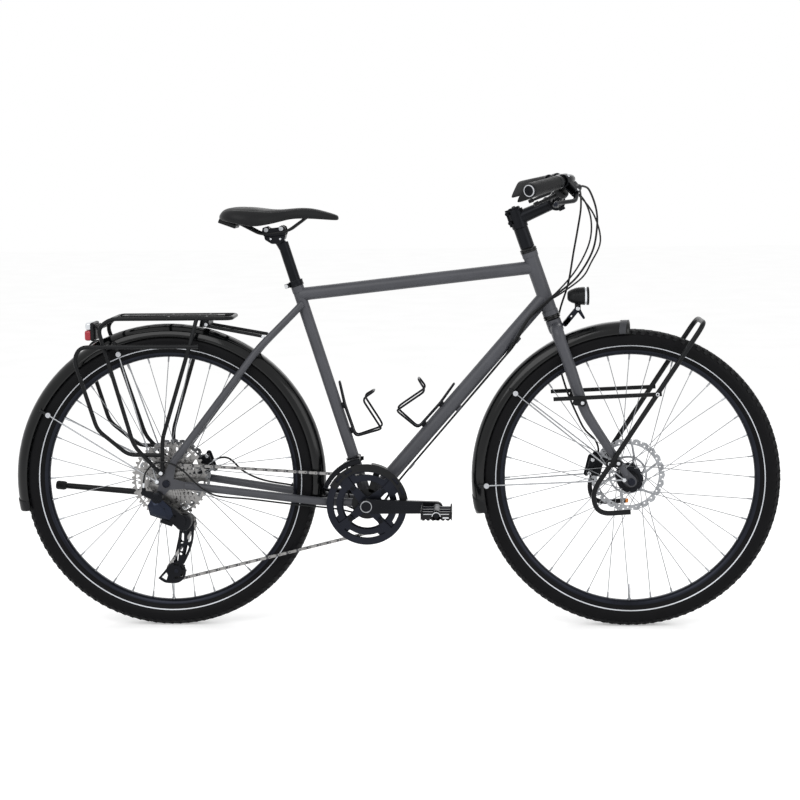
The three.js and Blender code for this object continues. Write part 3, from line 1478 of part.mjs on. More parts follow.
function changer() {
  const clampMiddle = along(crankAxis, seatTubeUp, changerClampReach);
  const half = changerClampHeight / 2;
  const clamp = cut(
    rod(along(clampMiddle, seatTubeUp, -half), along(clampMiddle, seatTubeUp, half), changerClampRadius,
      boreSides),
    rod(along(clampMiddle, seatTubeUp, -half - overrun), along(clampMiddle, seatTubeUp, half + overrun),
      seatTubeRadius + seatGap, boreSides),
  );
  const low = -changerOuterPlane - changerPlate;
  const high = -changerInnerPlane + changerPlate;
  const outerPlate = arcPlate(crankAxis, changerInnerRadius, changerOuterRadius, changerFrontAngle,
    changerRearAngle, low, -changerOuterPlane);
  const innerPlate = arcPlate(crankAxis, changerInnerRadius, changerOuterRadius, changerFrontAngle,
    changerRearAngle, -changerInnerPlane, high);
  const armRadius = changerOuterRadius - changerPlate;
  const top = arcPlate(crankAxis, armRadius, changerOuterRadius + changerPlate, changerFrontAngle,
    changerFrontAngle + changerTopSpread, low, high);
  const tail = polar(crankAxis, changerInnerRadius + changerWidth / 2, changerRearAngle - changerTailInset);
  const tailPin = crossRod(tail.x, tail.z, low, high, changerArmHalf / 2, wireSides);
  const armFoot = polar(crankAxis, changerOuterRadius, changerFrontAngle + changerTopSpread / 2);
  const arm = strap(clampMiddle, armFoot, changerArmHalf, changerArmHalf, -changerInnerPlane,
    -seatTubeRadius - runningGap);
  return join(clamp, outerPlate, innerPlate, top, tailPin, arm);
}

function chainGuard() {
  const face = arcPlate(crankAxis, topGuardInnerRadius, topGuardOuterRadius, topGuardFrontAngle,
    topGuardRearAngle, -topGuardPlane - topGuardPlate, -topGuardPlane);
  const from = topGuardHolderAngle - topGuardHolderSpread;
  const to = topGuardHolderAngle + topGuardHolderSpread;
  const inner = topGuardOuterRadius - topGuardPlate * 1.5;
  const lip = arcPlate(crankAxis, inner, topGuardOuterRadius, from, to, -topGuardPlane, -topGuardHolderPlane);
  const holder = strap(
    polar(crankAxis, shellRadius + topGuardHolderHalf * 2, topGuardHolderAngle),
    polar(crankAxis, topGuardOuterRadius - topGuardHolderHalf, topGuardHolderAngle),
    topGuardHolderHalf, topGuardHolderHalf, -topGuardHolderPlane - topGuardPlate, -topGuardHolderPlane,
  );
  const collar = ring(bracketCupRadius + 2 * topGuardHolderHalf, bracketCupRadius + seatGap,
    -topGuardHolderPlane - topGuardPlate, -topGuardHolderPlane, crankAxisX, crankAxisZ);
  return join(face, lip, holder, collar);
}

function derailleurBody() {
  const cageOuter = chainPlane + cageInnerHalf + cagePlate;
  const hangerOuter = rearDropoutInner + dropoutThickness + seatGap;
  const hangerKnuckle = crossRod(hanger.x, hanger.z, -hangerOuter, -hangerOuter - hangerKnuckleDepth,
    hangerKnuckleRadius);
  const inner = -cageOuter - seatGap;
  const lower = crossRod(knuckle.x, knuckle.z, inner, inner - knuckleDepth - hangerKnuckleDepth / 2,
    knuckleRadius, boreSides);
  const foot = offset(knuckle, -overrun, overrun);
  const linkage = strap(offset(hanger, 0, -hangerKnuckleRadius), foot, linkageHalf,
    linkageHalf * 1.2, -hangerOuter - linkageDepth - overrun, -hangerOuter - overrun);
  const adjusterArm = strap(hanger, at(adjuster.x, 0, adjuster.z - 2 * adjusterRadius),
    hangerKnuckleRadius * 0.8, adjusterRadius, -hangerOuter - linkageDepth / 2, -hangerOuter - overrun);
  const adjusterY = -hangerOuter - linkageDepth / 3;
  const barrel = rod(at(adjuster.x, adjusterY, adjuster.z - 2.6 * adjusterRadius),
    at(adjuster.x, adjusterY, adjuster.z - seatGap), adjusterRadius);
  return join(hangerKnuckle, lower, linkage, adjusterArm, barrel);
}

// Two plates that hold the pulleys, joined by the pulleys' bolts.
function derailleurCage() {
  const outer = cageInnerHalf + cagePlate;
  const plates = [[-outer, -cageInnerHalf], [cageInnerHalf, outer]].flatMap(([low, high]) => [
    strap(guidePulley, tensionPulley, cageHalf, cageHalf, -chainPlane + low, -chainPlane + high),
  ]);
  const bolts = [guidePulley, tensionPulley].map((spot) => (
    crossRod(spot.x, spot.z, -chainPlane - outer + weld, -chainPlane + outer - weld, pulleyAxleRadius)
  ));
  return join(...plates, ...bolts);
}

function pulley(centre) {
  const half = chainInnerHalf - seatGap;
  const radius = pitchRadius(pulleyTeeth) + toothTip / 2;
  return ring(radius, pulleyBoreRadius, -chainPlane - half, -chainPlane + half,
    centre.x, centre.z, hubSides);
}

// Brakes, hoses and cables

// The middle of a caliper, which reaches over its rotor's edge at an angle about the axle.
function caliperSpot(wheelX, angle, rotorRadius, y = 0) {
  return polar(at(wheelX, 0, axleZ), rotorRadius - caliperOverlap + caliperHeight / 2, angle, y);
}

function caliper(wheelX, angle, rotorRadius, rotorOffset) {
  const depth = caliperInnerDepth + caliperOuterDepth;
  const body = new THREE.BoxGeometry(caliperHeight, depth, caliperLength);
  body.translate(0, (caliperOuterDepth - caliperInnerDepth) / 2, 0);
  const slot = new THREE.BoxGeometry(caliperHeight, 2 * caliperSlotHalf, caliperLength + 2 * overrun);
  slot.translate(caliperOverlap + overrun - caliperHeight, 0, 0);
  const spot = caliperSpot(wheelX, angle, rotorRadius, rotorOffset);
  return cut(body, slot).rotate([0, -angle, 0]).translate([spot.x, spot.y, spot.z]);
}

// The thin tab that carries a caliper on its outer side.
function caliperTabs(root, wheelX, angle, rotorRadius, rotorOffset) {
  const low = rotorOffset + caliperOuterDepth + seatGap;
  const spot = caliperSpot(wheelX, angle, rotorRadius);
  return strap(root, spot, caliperArmHalf, caliperArmHalf, low, low + caliperTab);
}

// Kickstand

// The leg's hinge leans, so the plate carries a boss whose face is square to it.
function standMount() {
  return join(
    strap(chainStayFoot, standPivot, standPlateHalf * 0.7, standPlateHalf, standPlateY,
      standPlateY + standPlate),
    rod(along(standFace, standHinge, -2 * standBossLean), standFace, standBossRadius),
  );
}

function standLeg() {
  const inner = along(standFace, standHinge, seatGap);
  const pivot = along(inner, standHinge, standTubeRadius);
  const foot = offset(pivot, -standLength, standRise);
  const toe = foot.clone().sub(pivot).normalize();
  return join(
    rod(inner, along(inner, standHinge, 2 * standTubeRadius), standBossRadius),
    rod(pivot, foot, standTubeRadius),
    rod(along(foot, toe, -standFootLength), foot, standFootRadius),
  );
}

// Seat

function seatPost() {
  const foot = along(seatPostTop, seatTubeUp, -seatPostLength);
  const rails = railPoints();
  return cut(
    join(
      rod(foot, seatPostTop, seatPostRadius, boreSides),
      rod(along(seatPostTop, seatTubeUp, -postHeadRadius), postHead, seatPostRadius, boreSides),
      crossRod(postHead.x, postHead.z, -postHeadWidth / 2, postHeadWidth / 2, postHeadRadius),
      rod(offset(postHead, -postHeadRadius * 1.4, postBoltRadius), offset(postHead, postHeadRadius * 1.4, 0),
        postBoltRadius * 2, wireSides),
    ),
    bentTube(rails, railRadius + seatGap),
  );
}

function railPoints() {
  const half = [
    at(railRear.x, railRearSpread, railRear.z), at(railLowRear.x, railSpread, railLowRear.z),
    at(railLowFront.x, railSpread, railLowFront.z), at(railNose.x, railNoseSpread, railNose.z),
  ];
  return rounded([...half, ...onSide(-1, half).reverse()], postHeadRadius);
}

function saddleOutline(share) {
  const half = saddleHalfWidth * share.half;
  const top = saddleDepth * share.top;
  const skirt = saddleDepth * share.skirt;
  const height = top - skirt;
  const channel = Math.min(saddleChannel, half / 8);
  const hollow = Math.min(saddleHollow, height / 2.4);
  const right = [
    [half * 0.8, skirt], [half * 0.93, skirt + height * 0.2], [half, skirt + height * 0.5],
    [half * 0.9, skirt + height * 0.8], [half * 0.6, top - height * 0.06], [half * 0.25, top],
  ];
  const left = right.map(([x, z]) => [-x, z]).reverse();
  const under = [[-half * 0.62, skirt + hollow], [half * 0.62, skirt + hollow]];
  const points = [...right, [0, top - channel], ...left, ...under];
  return points.map(([x, z]) => new THREE.Vector2(x, z));
}

function saddle() {
  const foot = offset(postHead, saddleRearReach, saddleFootRise);
  return sweep(saddleShares.map((share) => ({
    place: offset(foot, saddleLength * share.reach, 0), across: at(0, 1, 0), up: at(0, 0, 1),
    outline: saddleOutline(share),
  })));
}

// Steered assembly

function forkBlade(side) {
  const points = bladePath.map((b) => at(b.x, b.spread, b.z));
  return taperedTube(onSide(side, points), bladePath.map((b) => b.radius));
}

// The place, spread and radius of the blades at a height.
function bladeAt(z) {
  const index = bladePath.findIndex((b) => b.z <= z);
  const [above, below] = [bladePath[index - 1], bladePath[index]];
  const share = (above.z - z) / (above.z - below.z);
  const between = (name) => above[name] + (below[name] - above[name]) * share;
  return { x: between('x'), z, spread: between('spread'), radius: between('radius') };
}

function forkDropout(side) {
  const inner = side * forkDropoutInner;
  const outer = side * (forkDropoutInner + forkDropoutThickness);
  const [low, high] = [Math.min(inner, outer), Math.max(inner, outer)];
  const end = bladePath[bladePath.length - 1];
  return join(
    strap(at(end.x, 0, end.z), frontAxle, end.radius, forkDropoutHalf, low, high),
    strap(frontAxle, forkEyelet, forkDropoutHalf, eyeletHalf, low, high),
  );
}

function fork() {
  const crownTop = along(headTubeFoot, steererUp, -headCupHeight - 2 * seatGap);
  const archTop = along(crownTop, steererUp, -crownArchDrop);
  const crownEnd = along(crownTop, steererUp, -crownDrop);
  const arch = [1, -1].map((side) => taperedTube([
    at(archTop.x, -side * overrun, archTop.z), at(archTop.x, side * crownSpread * 0.7, archTop.z - overrun),
    at(crownEnd.x, side * crownSpread, crownEnd.z),
  ], [crownArchRadius, crownArchRadius, crownArchRadius]));
  const steererEnd = along(headTubeFoot, steererUp, stemClampFoot + stemClampHeight);
  const parts = [
    rod(along(archTop, steererUp, -overrun), steererEnd, steererRadius, boreSides),
    rod(along(archTop, steererUp, -overrun), crownTop, headTubeRadius, boreSides),
    ...arch,
  ];
  for (const side of [-1, 1]) {
    parts.push(forkBlade(side), forkDropout(side));
  }
  parts.push(caliperTabs(bladeAt(axleZ + lowEyeletRise), wheelbase, frontCaliperAngle, frontRotorRadius,
    frontRotorOffset));
  const bore = crossRod(wheelbase, axleZ, -frontHubWidth, frontHubWidth, axleRadius + seatGap, boreSides);
  return cut(join(...parts), bore);
}

function spacerColumn() {
  const low = along(headTubeTop, steererUp, headCupHeight + 2 * seatGap);
  const high = along(headTubeFoot, steererUp, stemClampFoot - seatGap);
  return cut(
    rod(low, high, columnRadius, boreSides),
    rod(along(low, steererUp, -overrun), along(high, steererUp, overrun), steererRadius + seatGap, boreSides),
  );
}

function stem() {
  const low = along(headTubeFoot, steererUp, stemClampFoot);
  const high = along(low, steererUp, stemClampHeight);
  const middle = along(low, steererUp, stemClampHeight / 2);
  const half = barClampWidth / 2;
  const bolts = stemBoltShares.map((share) => {
    const level = along(low, steererUp, stemClampHeight * share);
    const spot = offset(level, -stemClampRadius - stemBoltRadius / 2, 0);
    return crossRod(spot.x, spot.z, -stemBoltWidth / 2, stemBoltWidth / 2, stemBoltRadius, wireSides);
  });
  const whole = join(
    rod(low, high, stemClampRadius, boreSides), rod(middle, barCentre, stemArmRadius),
    crossRod(barCentre.x, barCentre.z, -half, half, barClampRadius, boreSides), ...bolts,
    rod(along(high, steererUp, -weld), along(high, steererUp, stemCapHeight), stemCapRadius, boreSides),
  );
  return cut(
    whole,
    rod(along(low, steererUp, -overrun), along(high, steererUp, seatGap), steererRadius + seatGap, boreSides),
    crossRod(barCentre.x, barCentre.z, -barClampWidth, barClampWidth, barBulgeRadius + seatGap, boreSides),
  );
}

function handlebar() {
  const half = [at(barCentre.x, barBulgeHalf, barCentre.z), barRise, barTurn, barEnd];
  const whole = rounded([...onSide(-1, half).reverse(), ...half], barBend);
  return join(
    bentTube(whole, barRadius, tubeSides),
    crossRod(barCentre.x, barCentre.z, -barBulgeHalf, barBulgeHalf, barBulgeRadius, boreSides),
  );
}

// Directions at one end of the bar: out along the bar, and ahead and down across it.
function barDirections(side) {
  const out = barEnd.clone().sub(barTurn).normalize();
  out.y *= side;
  const ahead = at(Math.cos(controlTilt * degrees), 0, -Math.sin(controlTilt * degrees));
  ahead.addScaledVector(out, -ahead.dot(out)).normalize();
  return { out, ahead };
}

function gripOutline(wing) {
  const corners = [];
  for (let i = 0; i <= gripTurnSteps; i += 1) {
    const turn = gripTurn * ((2 * i) / gripTurnSteps - 1) * degrees;
    corners.push(new THREE.Vector2(gripRadius * Math.cos(turn), gripRadius * Math.sin(turn)));
  }
  corners.push(new THREE.Vector2(-gripRadius * 0.95 - wing, gripWingHalf));
  corners.push(new THREE.Vector2(-gripRadius * 0.95 - wing, -gripWingHalf));
  return corners;
}

function grip(side) {
  const { out } = barDirections(side);
  const [turn, end] = onSide(side, [barTurn, barEnd]);
  const length = turn.distanceTo(end) + gripOvershoot - gripStart;
  const start = along(turn, out, gripStart);
  const ahead = at(1, 0, gripTiltShare);
  ahead.addScaledVector(out, -ahead.dot(out)).normalize();
  const up = out.clone().cross(ahead);
  const body = sweep(gripPlaceShares.map((share, i) => ({
    place: along(start, out, length * share), across: ahead, up,
    outline: gripOutline(gripWing * gripWingShares[i]),
  })));
  const bore = rod(along(start, out, -overrun), along(end, out, seatGap), barRadius + runningGap, boreSides);
  return cut(body, bore);
}

// A group whose X runs out along the bar, Z ahead and down from it.
function controlGroup(side, name, shape, ...look) {
  const { out, ahead } = barDirections(side);
  const origin = along(onSide(side, [barTurn])[0], out, controlPlace);
  const holder = new THREE.Group();
  holder.matrixAutoUpdate = false;
  holder.matrix.makeBasis(out, ahead.clone().cross(out), ahead).setPosition(origin);
  holder.matrix.decompose(holder.position, holder.quaternion, holder.scale);
  holder.matrixAutoUpdate = true;
  holder.add(piece(name, shape, ...look));
  return holder;
}

function controlMount(side) {
  const half = controlClampWidth / 2;
  const gap = leverThickness / 2 + runningGap;
  const down = -side;
  const pivotSpace = reservoirHalf - runningGap;
  const clamp = rod(at(-half, 0, 0), at(half, 0, 0), controlClampRadius, boreSides);
  const body = strap(at(leverPivotPlace, 0, controlClampRadius), at(leverPivotPlace, 0, leverPivotReach),
    reservoirHalf, reservoirHalf, -gap - overrun, gap + overrun);
  const reservoirPlace = leverPivotPlace - reservoirHalf - reservoirLength / 2 + overrun;
  const reservoir = block(at(reservoirPlace, 0, (leverPivotReach + controlClampRadius) / 2),
    reservoirLength + overrun, reservoirWidth, leverPivotReach - controlClampRadius);
  const [podStart, podEnd] = [-1, 1].map((end) => (
    at(shifterPodPlace, down * (shifterPodDrop + (end * shifterPodDepth) / 2), shifterPodReach)
  ));
  const pod = rod(podStart, podEnd, shifterPodRadius, boreSides);
  const neck = block(at(0, (down * shifterPodDrop) / 2, 0), controlClampWidth * 0.7, shifterPodDrop,
    controlClampWidth * 0.8);
  const slot = block(at(leverPivotPlace - pivotSpace + 2 * leverPivotReach / 2, 0, leverPivotReach),
    2 * leverPivotReach, 2 * gap, 2.4 * pivotSpace);
  const pin = crossRod(leverPivotPlace, leverPivotReach, -gap - overrun, gap + overrun, pulleyAxleRadius,
    wireSides);
  const bore = rod(at(-2 * half, 0, 0), at(2 * half, 0, 0), barRadius + runningGap, boreSides);
  return cut(join(cut(join(clamp, body, reservoir, pod, neck), slot), pin), bore);
}

function brakeLever() {
  const half = leverThickness / 2;
  const knee = at(leverKneePlace, 0, leverKneeReach);
  const pivot = at(leverPivotPlace, 0, leverPivotReach);
  const blade = join(
    strap(pivot, knee, leverRootHalf, leverRootHalf * 0.8, -half, half),
    strap(knee, at(leverTipPlace, 0, leverTipReach), leverRootHalf * 0.8, leverTipHalf, -half, half),
  );
  const bore = crossRod(pivot.x, pivot.z, -leverThickness, leverThickness, pulleyAxleRadius + runningGap,
    boreSides);
  return cut(blade, bore);
}

function thumbLever(side) {
  const down = -side;
  const face = down * (shifterPodDrop + shifterPodDepth / 2 + seatGap);
  const back = face + down * thumbHubDepth;
  const hub = rod(at(shifterPodPlace, face, shifterPodReach), at(shifterPodPlace, back, shifterPodReach),
    thumbHubRadius);
  const blade = rod(at(shifterPodPlace, (face + back) / 2 + down * thumbHubDepth / 4, shifterPodReach),
    at(thumbLeverPlace, down * thumbLeverDrop, thumbLeverReach), thumbLeverRadius, wireSides,
    thumbLeverRadius / 2);
  return join(hub, blade);
}

function headlight() {
  const body = rod(lightRear, offset(lightRear, lightLength, 0), lightRadius, boreSides);
  const lug = strap(lightPivot, at(lightPivot.x, 0, lightRear.z - lightRadius / 2), lightLugWidth,
    lightLugWidth, -lightLugHalf, lightLugHalf);
  const bore = crossRod(lightPivot.x, lightPivot.z, -2 * lightLugHalf, 2 * lightLugHalf,
    pulleyAxleRadius + runningGap, boreSides);
  return cut(join(body, lug), bore);
}

function lightBracket() {
  const inner = lightLugHalf + runningGap;
  const outer = inner + lightBracketPlate;
  const foot = lightBracketFoot;
  const pivot = lightPivot;
  const ears = [-1, 1].map((side) => strap(foot, pivot, lightBracketHalf, lightBracketHalf,
    Math.min(side * inner, side * outer), Math.max(side * inner, side * outer)));
  const root = strap(foot, along(foot, pivot.clone().sub(foot).normalize(), 2 * lightBracketHalf),
    lightBracketHalf, lightBracketHalf, -outer, outer);
  const pin = crossRod(pivot.x, pivot.z, -outer, outer, pulleyAxleRadius, wireSides);
  const prong = strap(pivot, lightProng, lightBracketHalf, lightBracketPlate, -outer, -inner);
  return join(...ears, root, pin, prong);
}

function lowriderRack() {
  const halfHoop = [
    at(lowriderTop.x, lowriderSpread, lowriderTop.z), at(lowriderFoot.x, lowriderSpread, lowriderFoot.z),
    at(lowriderHook.x, lowriderSpread, lowriderHook.z), at(lowriderEnd.x, lowriderSpread, lowriderEnd.z),
  ];
  const loop = [...onSide(-1, halfHoop).reverse(), ...halfHoop];
  const tubes = [bentTube(rounded(loop, lowriderBend), lowriderRadius)];
  for (const side of [-1, 1]) {
    const ends = [lowriderRailRear, lowriderRailFront].map((end) => end.clone().setY(side * lowriderSpread));
    tubes.push(rod(...ends, lowriderRadius, wireSides));
    tubes.push(...lowriderMount(side));
  }
  return join(...tubes);
}

// The plates that reach from the rack to the fork blade, above and beside the axle.
function lowriderMount(side) {
  const y = side * lowriderSpread;
  const low = y - lowriderClampPlate / 2;
  const high = y + lowriderClampPlate / 2;
  const bladeSeat = ({ spread, radius }) => side * (spread + radius + seatGap);
  const upper = bladeAt(axleZ + lowriderClampRise);
  const lower = bladeAt(axleZ + lowEyeletRise);
  const hoop = lowriderFoot.clone().lerp(lowriderTop, lowriderLegShare);
  return [
    crossRod(upper.x, upper.z, bladeSeat(upper), y, lowriderClampHalf, wireSides),
    strap(upper, at(upper.x, 0, lowriderRailRear.z), lowriderClampHalf, lowriderClampHalf / 2, low, high),
    strap(lower, hoop, lowriderClampHalf, lowriderClampHalf, low, high),
    crossRod(lower.x, lower.z, bladeSeat(lower), y, lowriderClampHalf / 2, wireSides),
  ];
}

// Assembly

function placed(x, z, ...meshes) {
  const group = new THREE.Group();
  group.position.set(x, 0, z);
  group.add(...meshes);
  return group;
}

function frontWheel() {
  return placed(wheelbase, axleZ,
    piece('front_tyre', tyre(), rubberBlack, 0.85, 0),
    piece('front_rim', rim(), deepBlack, 0.4, 0.6),
    piece('front_hub', frontHub(), steelGrey, 0.35, 0.9),
    piece('front_rotor', rotor(frontRotorRadius, frontRotorOffset, hubEndRadius + seatGap), steelGrey,
      0.3, 1));
}

function rearWheel() {
  return placed(0, axleZ,
    piece('rear_tyre', tyre(), rubberBlack, 0.85, 0),
    piece('rear_rim', rim(), deepBlack, 0.4, 0.6),
    piece('rear_hub', rearHub(), steelGrey, 0.35, 0.9),
    piece('cassette', cassette(), steelGrey, 0.35, 0.95));
}

function frameAssembly() {
  const group = new THREE.Group();
  const guardFootY = rearDropoutInner + dropoutThickness + seatGap + guardClipHalf / 2;
  const seatOutward = at(Math.sin(seatTubeAngle * degrees), 0, Math.cos(seatTubeAngle * degrees));
  const downOutward = at(-downTubeUp.z, 0, downTubeUp.x);
  const seatCageFoot = along(crankAxis, seatTubeUp, seatCageReach);
  const downCageFoot = along(crankAxis, downTubeUp, downCageReach);
  const seatCageFrame = tubeFrame(seatCageFoot, seatTubeUp, seatOutward, seatTubeRadius);
  const downCageFrame = tubeFrame(downCageFoot, downTubeUp, downOutward, downTubeRadius);
  group.add(
    piece('frame', frame(), frameGrey, 0.5, 0.3),
    piece('headset', headset(), satinBlack, 0.4, 0.4),
    piece('seat_clamp', seatClamp(), satinBlack, 0.4, 0.4),
    piece('bottom_bracket', bottomBracket(), satinBlack, 0.4, 0.5),
    piece('rear_axle', axle(0, rearDropoutInner, dropoutThickness), satinBlack, 0.35, 0.8),
    piece('rear_mudguard', mudguard(0, rearGuardFront, rearGuardRear), deepBlack, 0.25, 0),
    piece('rear_mudguard_stays', guardStays(0, guardEyelet, rearStayAngles, guardFootY),
      steelGrey, 0.3, 1),
    piece('rear_rack', rearRack(), satinBlack, 0.55, 0.2),
    piece('rear_light', rearLight(), lampRed, 0.2, 0),
    piece('front_derailleur', changer(), alloyDark, 0.4, 0.7),
    piece('chain_guard', chainGuard(), deepBlack, 0.5, 0),
    piece('chain', chain(), chainGrey, 0.35, 0.95),
    piece('derailleur_body', derailleurBody(), satinBlack, 0.35, 0.5),
    piece('seat_tube_bottle_cage', bottleCage(seatCageFrame), satinBlack, 0.35, 0.4),
    piece('down_tube_bottle_cage', bottleCage(downCageFrame), satinBlack, 0.35, 0.4),
    piece('rear_caliper', caliper(0, rearCaliperAngle, rearRotorRadius, rearRotorOffset), satinBlack,
      0.4, 0.5),
    piece('rear_brake_hose', smoothCable(rearBrakeRoute, hoseRadius), rubberBlack, 0.5, 0),
    piece('rear_shift_cable', smoothCable(rearShiftRoute, cableRadius), rubberBlack, 0.5, 0),
    piece('front_shift_cable', smoothCable(frontShiftRoute, cableRadius), rubberBlack, 0.5, 0),
    piece('kickstand_mount', standMount(), satinBlack, 0.4, 0.5),
    piece('kickstand_leg', standLeg(), satinBlack, 0.4, 0.5),
  );
  return group;
}

function driveAssembly() {
  const group = new THREE.Group();
  group.add(
    piece('crank_right', rightCrank(), alloyDark, 0.35, 0.8),
    piece('chainrings', chainrings(), alloyDark, 0.35, 0.7),
    piece('crank_left', leftCrank(), alloyDark, 0.35, 0.8),
    piece('pedal_right', pedal(-1, 1), satinBlack, 0.5, 0.3),
    piece('pedal_left', pedal(1, -1), satinBlack, 0.5, 0.3),
    piece('derailleur_cage', derailleurCage(), satinBlack, 0.35, 0.6),
    piece('guide_pulley', pulley(guidePulley), rubberBlack, 0.5, 0),
    piece('tension_pulley', pulley(tensionPulley), rubberBlack, 0.5, 0),
  );
  return group;
}

function seatAssembly() {
  const group = new THREE.Group();
  group.add(
    piece('seatpost', seatPost(), satinBlack, 0.35, 0.6),
    piece('saddle_rails', bentTube(railPoints(), railRadius), satinBlack, 0.3, 0.7),
    piece('saddle', saddle(), rubberBlack, 0.7, 0),
  );
  return group;
}

function steeredAssembly() {
  const group = new THREE.Group();
  const guardFootY = forkDropoutInner + forkDropoutThickness + seatGap + guardClipHalf / 2;
  group.add(
    piece('fork', fork(), frameGrey, 0.5, 0.3),
    piece('spacer_column', spacerColumn(), satinBlack, 0.35, 0.5),
    piece('stem', stem(), satinBlack, 0.35, 0.5),
    piece('handlebar', handlebar(), satinBlack, 0.35, 0.5),
    piece('grip_right', grip(-1), rubberBlack, 0.85, 0),
    piece('grip_left', grip(1), rubberBlack, 0.85, 0),
    piece('headlight', headlight(), satinBlack, 0.35, 0.2),
    piece('headlight_bracket', lightBracket(), satinBlack, 0.4, 0.4),
    piece('front_axle', axle(wheelbase, forkDropoutInner, forkDropoutThickness), satinBlack, 0.35, 0.8),
    piece('front_mudguard', mudguard(wheelbase, frontGuardFront, frontGuardRear), deepBlack, 0.25, 0),
    piece('front_mudguard_stays', guardStays(wheelbase, forkEyelet, frontStayAngles,
      guardFootY), steelGrey, 0.3, 1),
    piece('lowrider_rack', lowriderRack(), satinBlack, 0.45, 0.3),
    piece('front_caliper', caliper(wheelbase, frontCaliperAngle, frontRotorRadius, frontRotorOffset),
      satinBlack, 0.4, 0.5),
    piece('front_brake_hose', smoothCable(frontBrakeRoute, hoseRadius), rubberBlack, 0.5, 0),
  );
  for (const [side, word] of [[-1, 'right'], [1, 'left']]) {
    group.add(
      controlGroup(side, `control_mount_${word}`, controlMount(side), satinBlack, 0.4, 0.4),
      controlGroup(side, `brake_lever_${word}`, brakeLever(), satinBlack, 0.35, 0.5),
      controlGroup(side, `shift_lever_${word}`, thumbLever(side), steelGrey, 0.4, 0.4),
    );
  }
  return group;
}

const bicycle = new THREE.Group();
bicycle.add(frameAssembly(), rearWheel(), driveAssembly(), seatAssembly(), steeredAssembly(), frontWheel());
bicycle.position.x = -(wheelbase + tyreRadius - guardRadius) / 2;

export default bicycle;
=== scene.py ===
"""The looks of a touring bicycle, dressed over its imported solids.

Lengths in the modelling code are millimetres from a datum on the ground below the rear axle:
X forward, Y to the rider's left, Z up. A finished mesh is moved once into the row frame, in metres.
"""

from math import acos, atan2, ceil, cos, pi, radians, sin, tau

import bmesh
import bpy
from bpy.props import FloatProperty, FloatVectorProperty, IntProperty, PointerProperty
from bpy.types import Operator, Panel, PropertyGroup
from mathutils import Matrix, Vector


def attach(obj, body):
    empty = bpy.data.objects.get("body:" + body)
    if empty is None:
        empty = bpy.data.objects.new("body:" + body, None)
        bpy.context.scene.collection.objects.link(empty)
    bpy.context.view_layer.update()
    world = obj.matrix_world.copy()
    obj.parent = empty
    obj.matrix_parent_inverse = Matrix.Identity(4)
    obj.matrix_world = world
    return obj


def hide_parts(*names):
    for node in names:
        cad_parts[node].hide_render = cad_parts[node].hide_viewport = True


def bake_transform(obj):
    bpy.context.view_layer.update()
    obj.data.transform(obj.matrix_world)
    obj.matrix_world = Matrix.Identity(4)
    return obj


bl_info = {
    "name": "Touring Bicycle",
    "version": (1, 0, 0),
    "blender": (4, 5, 0),
    "location": "3D View > Sidebar > Bicycle",
    "description": "Builds the visible pieces of a touring bicycle over its packed solids",
    "category": "Object",
}

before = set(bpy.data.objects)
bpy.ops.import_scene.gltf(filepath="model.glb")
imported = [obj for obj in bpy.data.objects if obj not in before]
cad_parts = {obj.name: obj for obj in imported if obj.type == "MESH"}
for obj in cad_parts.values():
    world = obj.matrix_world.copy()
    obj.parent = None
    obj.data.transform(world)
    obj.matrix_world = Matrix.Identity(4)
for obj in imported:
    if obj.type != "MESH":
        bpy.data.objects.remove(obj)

MM = 0.001
X = Vector((1, 0, 0))
Y = Vector((0, 1, 0))
Z = Vector((0, 0, 1))


def at(x, y=0, z=0):
    """A place in the modelling datum."""
    return Vector((x, y, z))


# Driving sizes, in millimetres and degrees

WHEELBASE = 1115
MIDDLE = 547.5
AXLE_Z = 361
SEAT_ANGLE = radians(72.5)
STEER_ANGLE = radians(71)
HEAD_LENGTH = 160
SEAT_TUBE_LENGTH = 566
CRANK_LENGTH = 170
SHELL_HALF = 36.5
REAR_HUB_HALF = 66.5
FRONT_HUB_HALF = 49.5
ROTOR_RADIUS = 90
REAR_ROTOR = 52
FRONT_ROTOR = 38
CHAIN_PLANE = 43.5
CHAIN_PITCH = 12.7

# Radii of the tubes

SEAT_TUBE = 14.3
HEAD_TUBE = 18
TOP_TUBE = 15.9
DOWN_TUBE = 17.5
SEAT_STAY = 8.5
CHAIN_STAY = 10
FORK_BLADE = 14
SEATPOST = 13.2
BAR = 11.1
RACK_TUBE = 5

# Places that more than one piece meets

REAR = at(0, 0, AXLE_Z)
FRONT = at(WHEELBASE, 0, AXLE_Z)
CRANK = at(482, 0, 305)
SEAT_UP = at(-cos(SEAT_ANGLE), 0, sin(SEAT_ANGLE))
STEER_UP = at(-cos(STEER_ANGLE), 0, sin(STEER_ANGLE))
HEAD_FOOT = at(928.4, 0, 757)
HEAD_TOP = HEAD_FOOT + STEER_UP * HEAD_LENGTH
SEAT_TOP = CRANK + SEAT_UP * SEAT_TUBE_LENGTH
DOWN_TOP = HEAD_FOOT + STEER_UP * 46
DOWN_UP = (DOWN_TOP - CRANK).normalized()
SEAT_STAY_FOOT = at(17, 0, 412)
CHAIN_STAY_FOOT = at(45, 0, 356)
HANGER = at(-20, 0, 330)
REAR_EYELET = at(-22, 0, 366)
RACK_EYELET = at(-11, 0, 388)
FORK_EYELET = at(1098, 0, 366)
FORK_TIP = at(1098, 0, 386)
LOW_MOUNT = at(1083, 0, 408)
MID_MOUNT = at(998.5, 0, 553)
STEM_FOOT = HEAD_FOOT + STEER_UP * 222
BAR_CLAMP = at(941, 0, 1029)
TO_ROW = Matrix.Translation((-MIDDLE * MM, 0, 0)) @ Matrix.Scale(MM, 4)


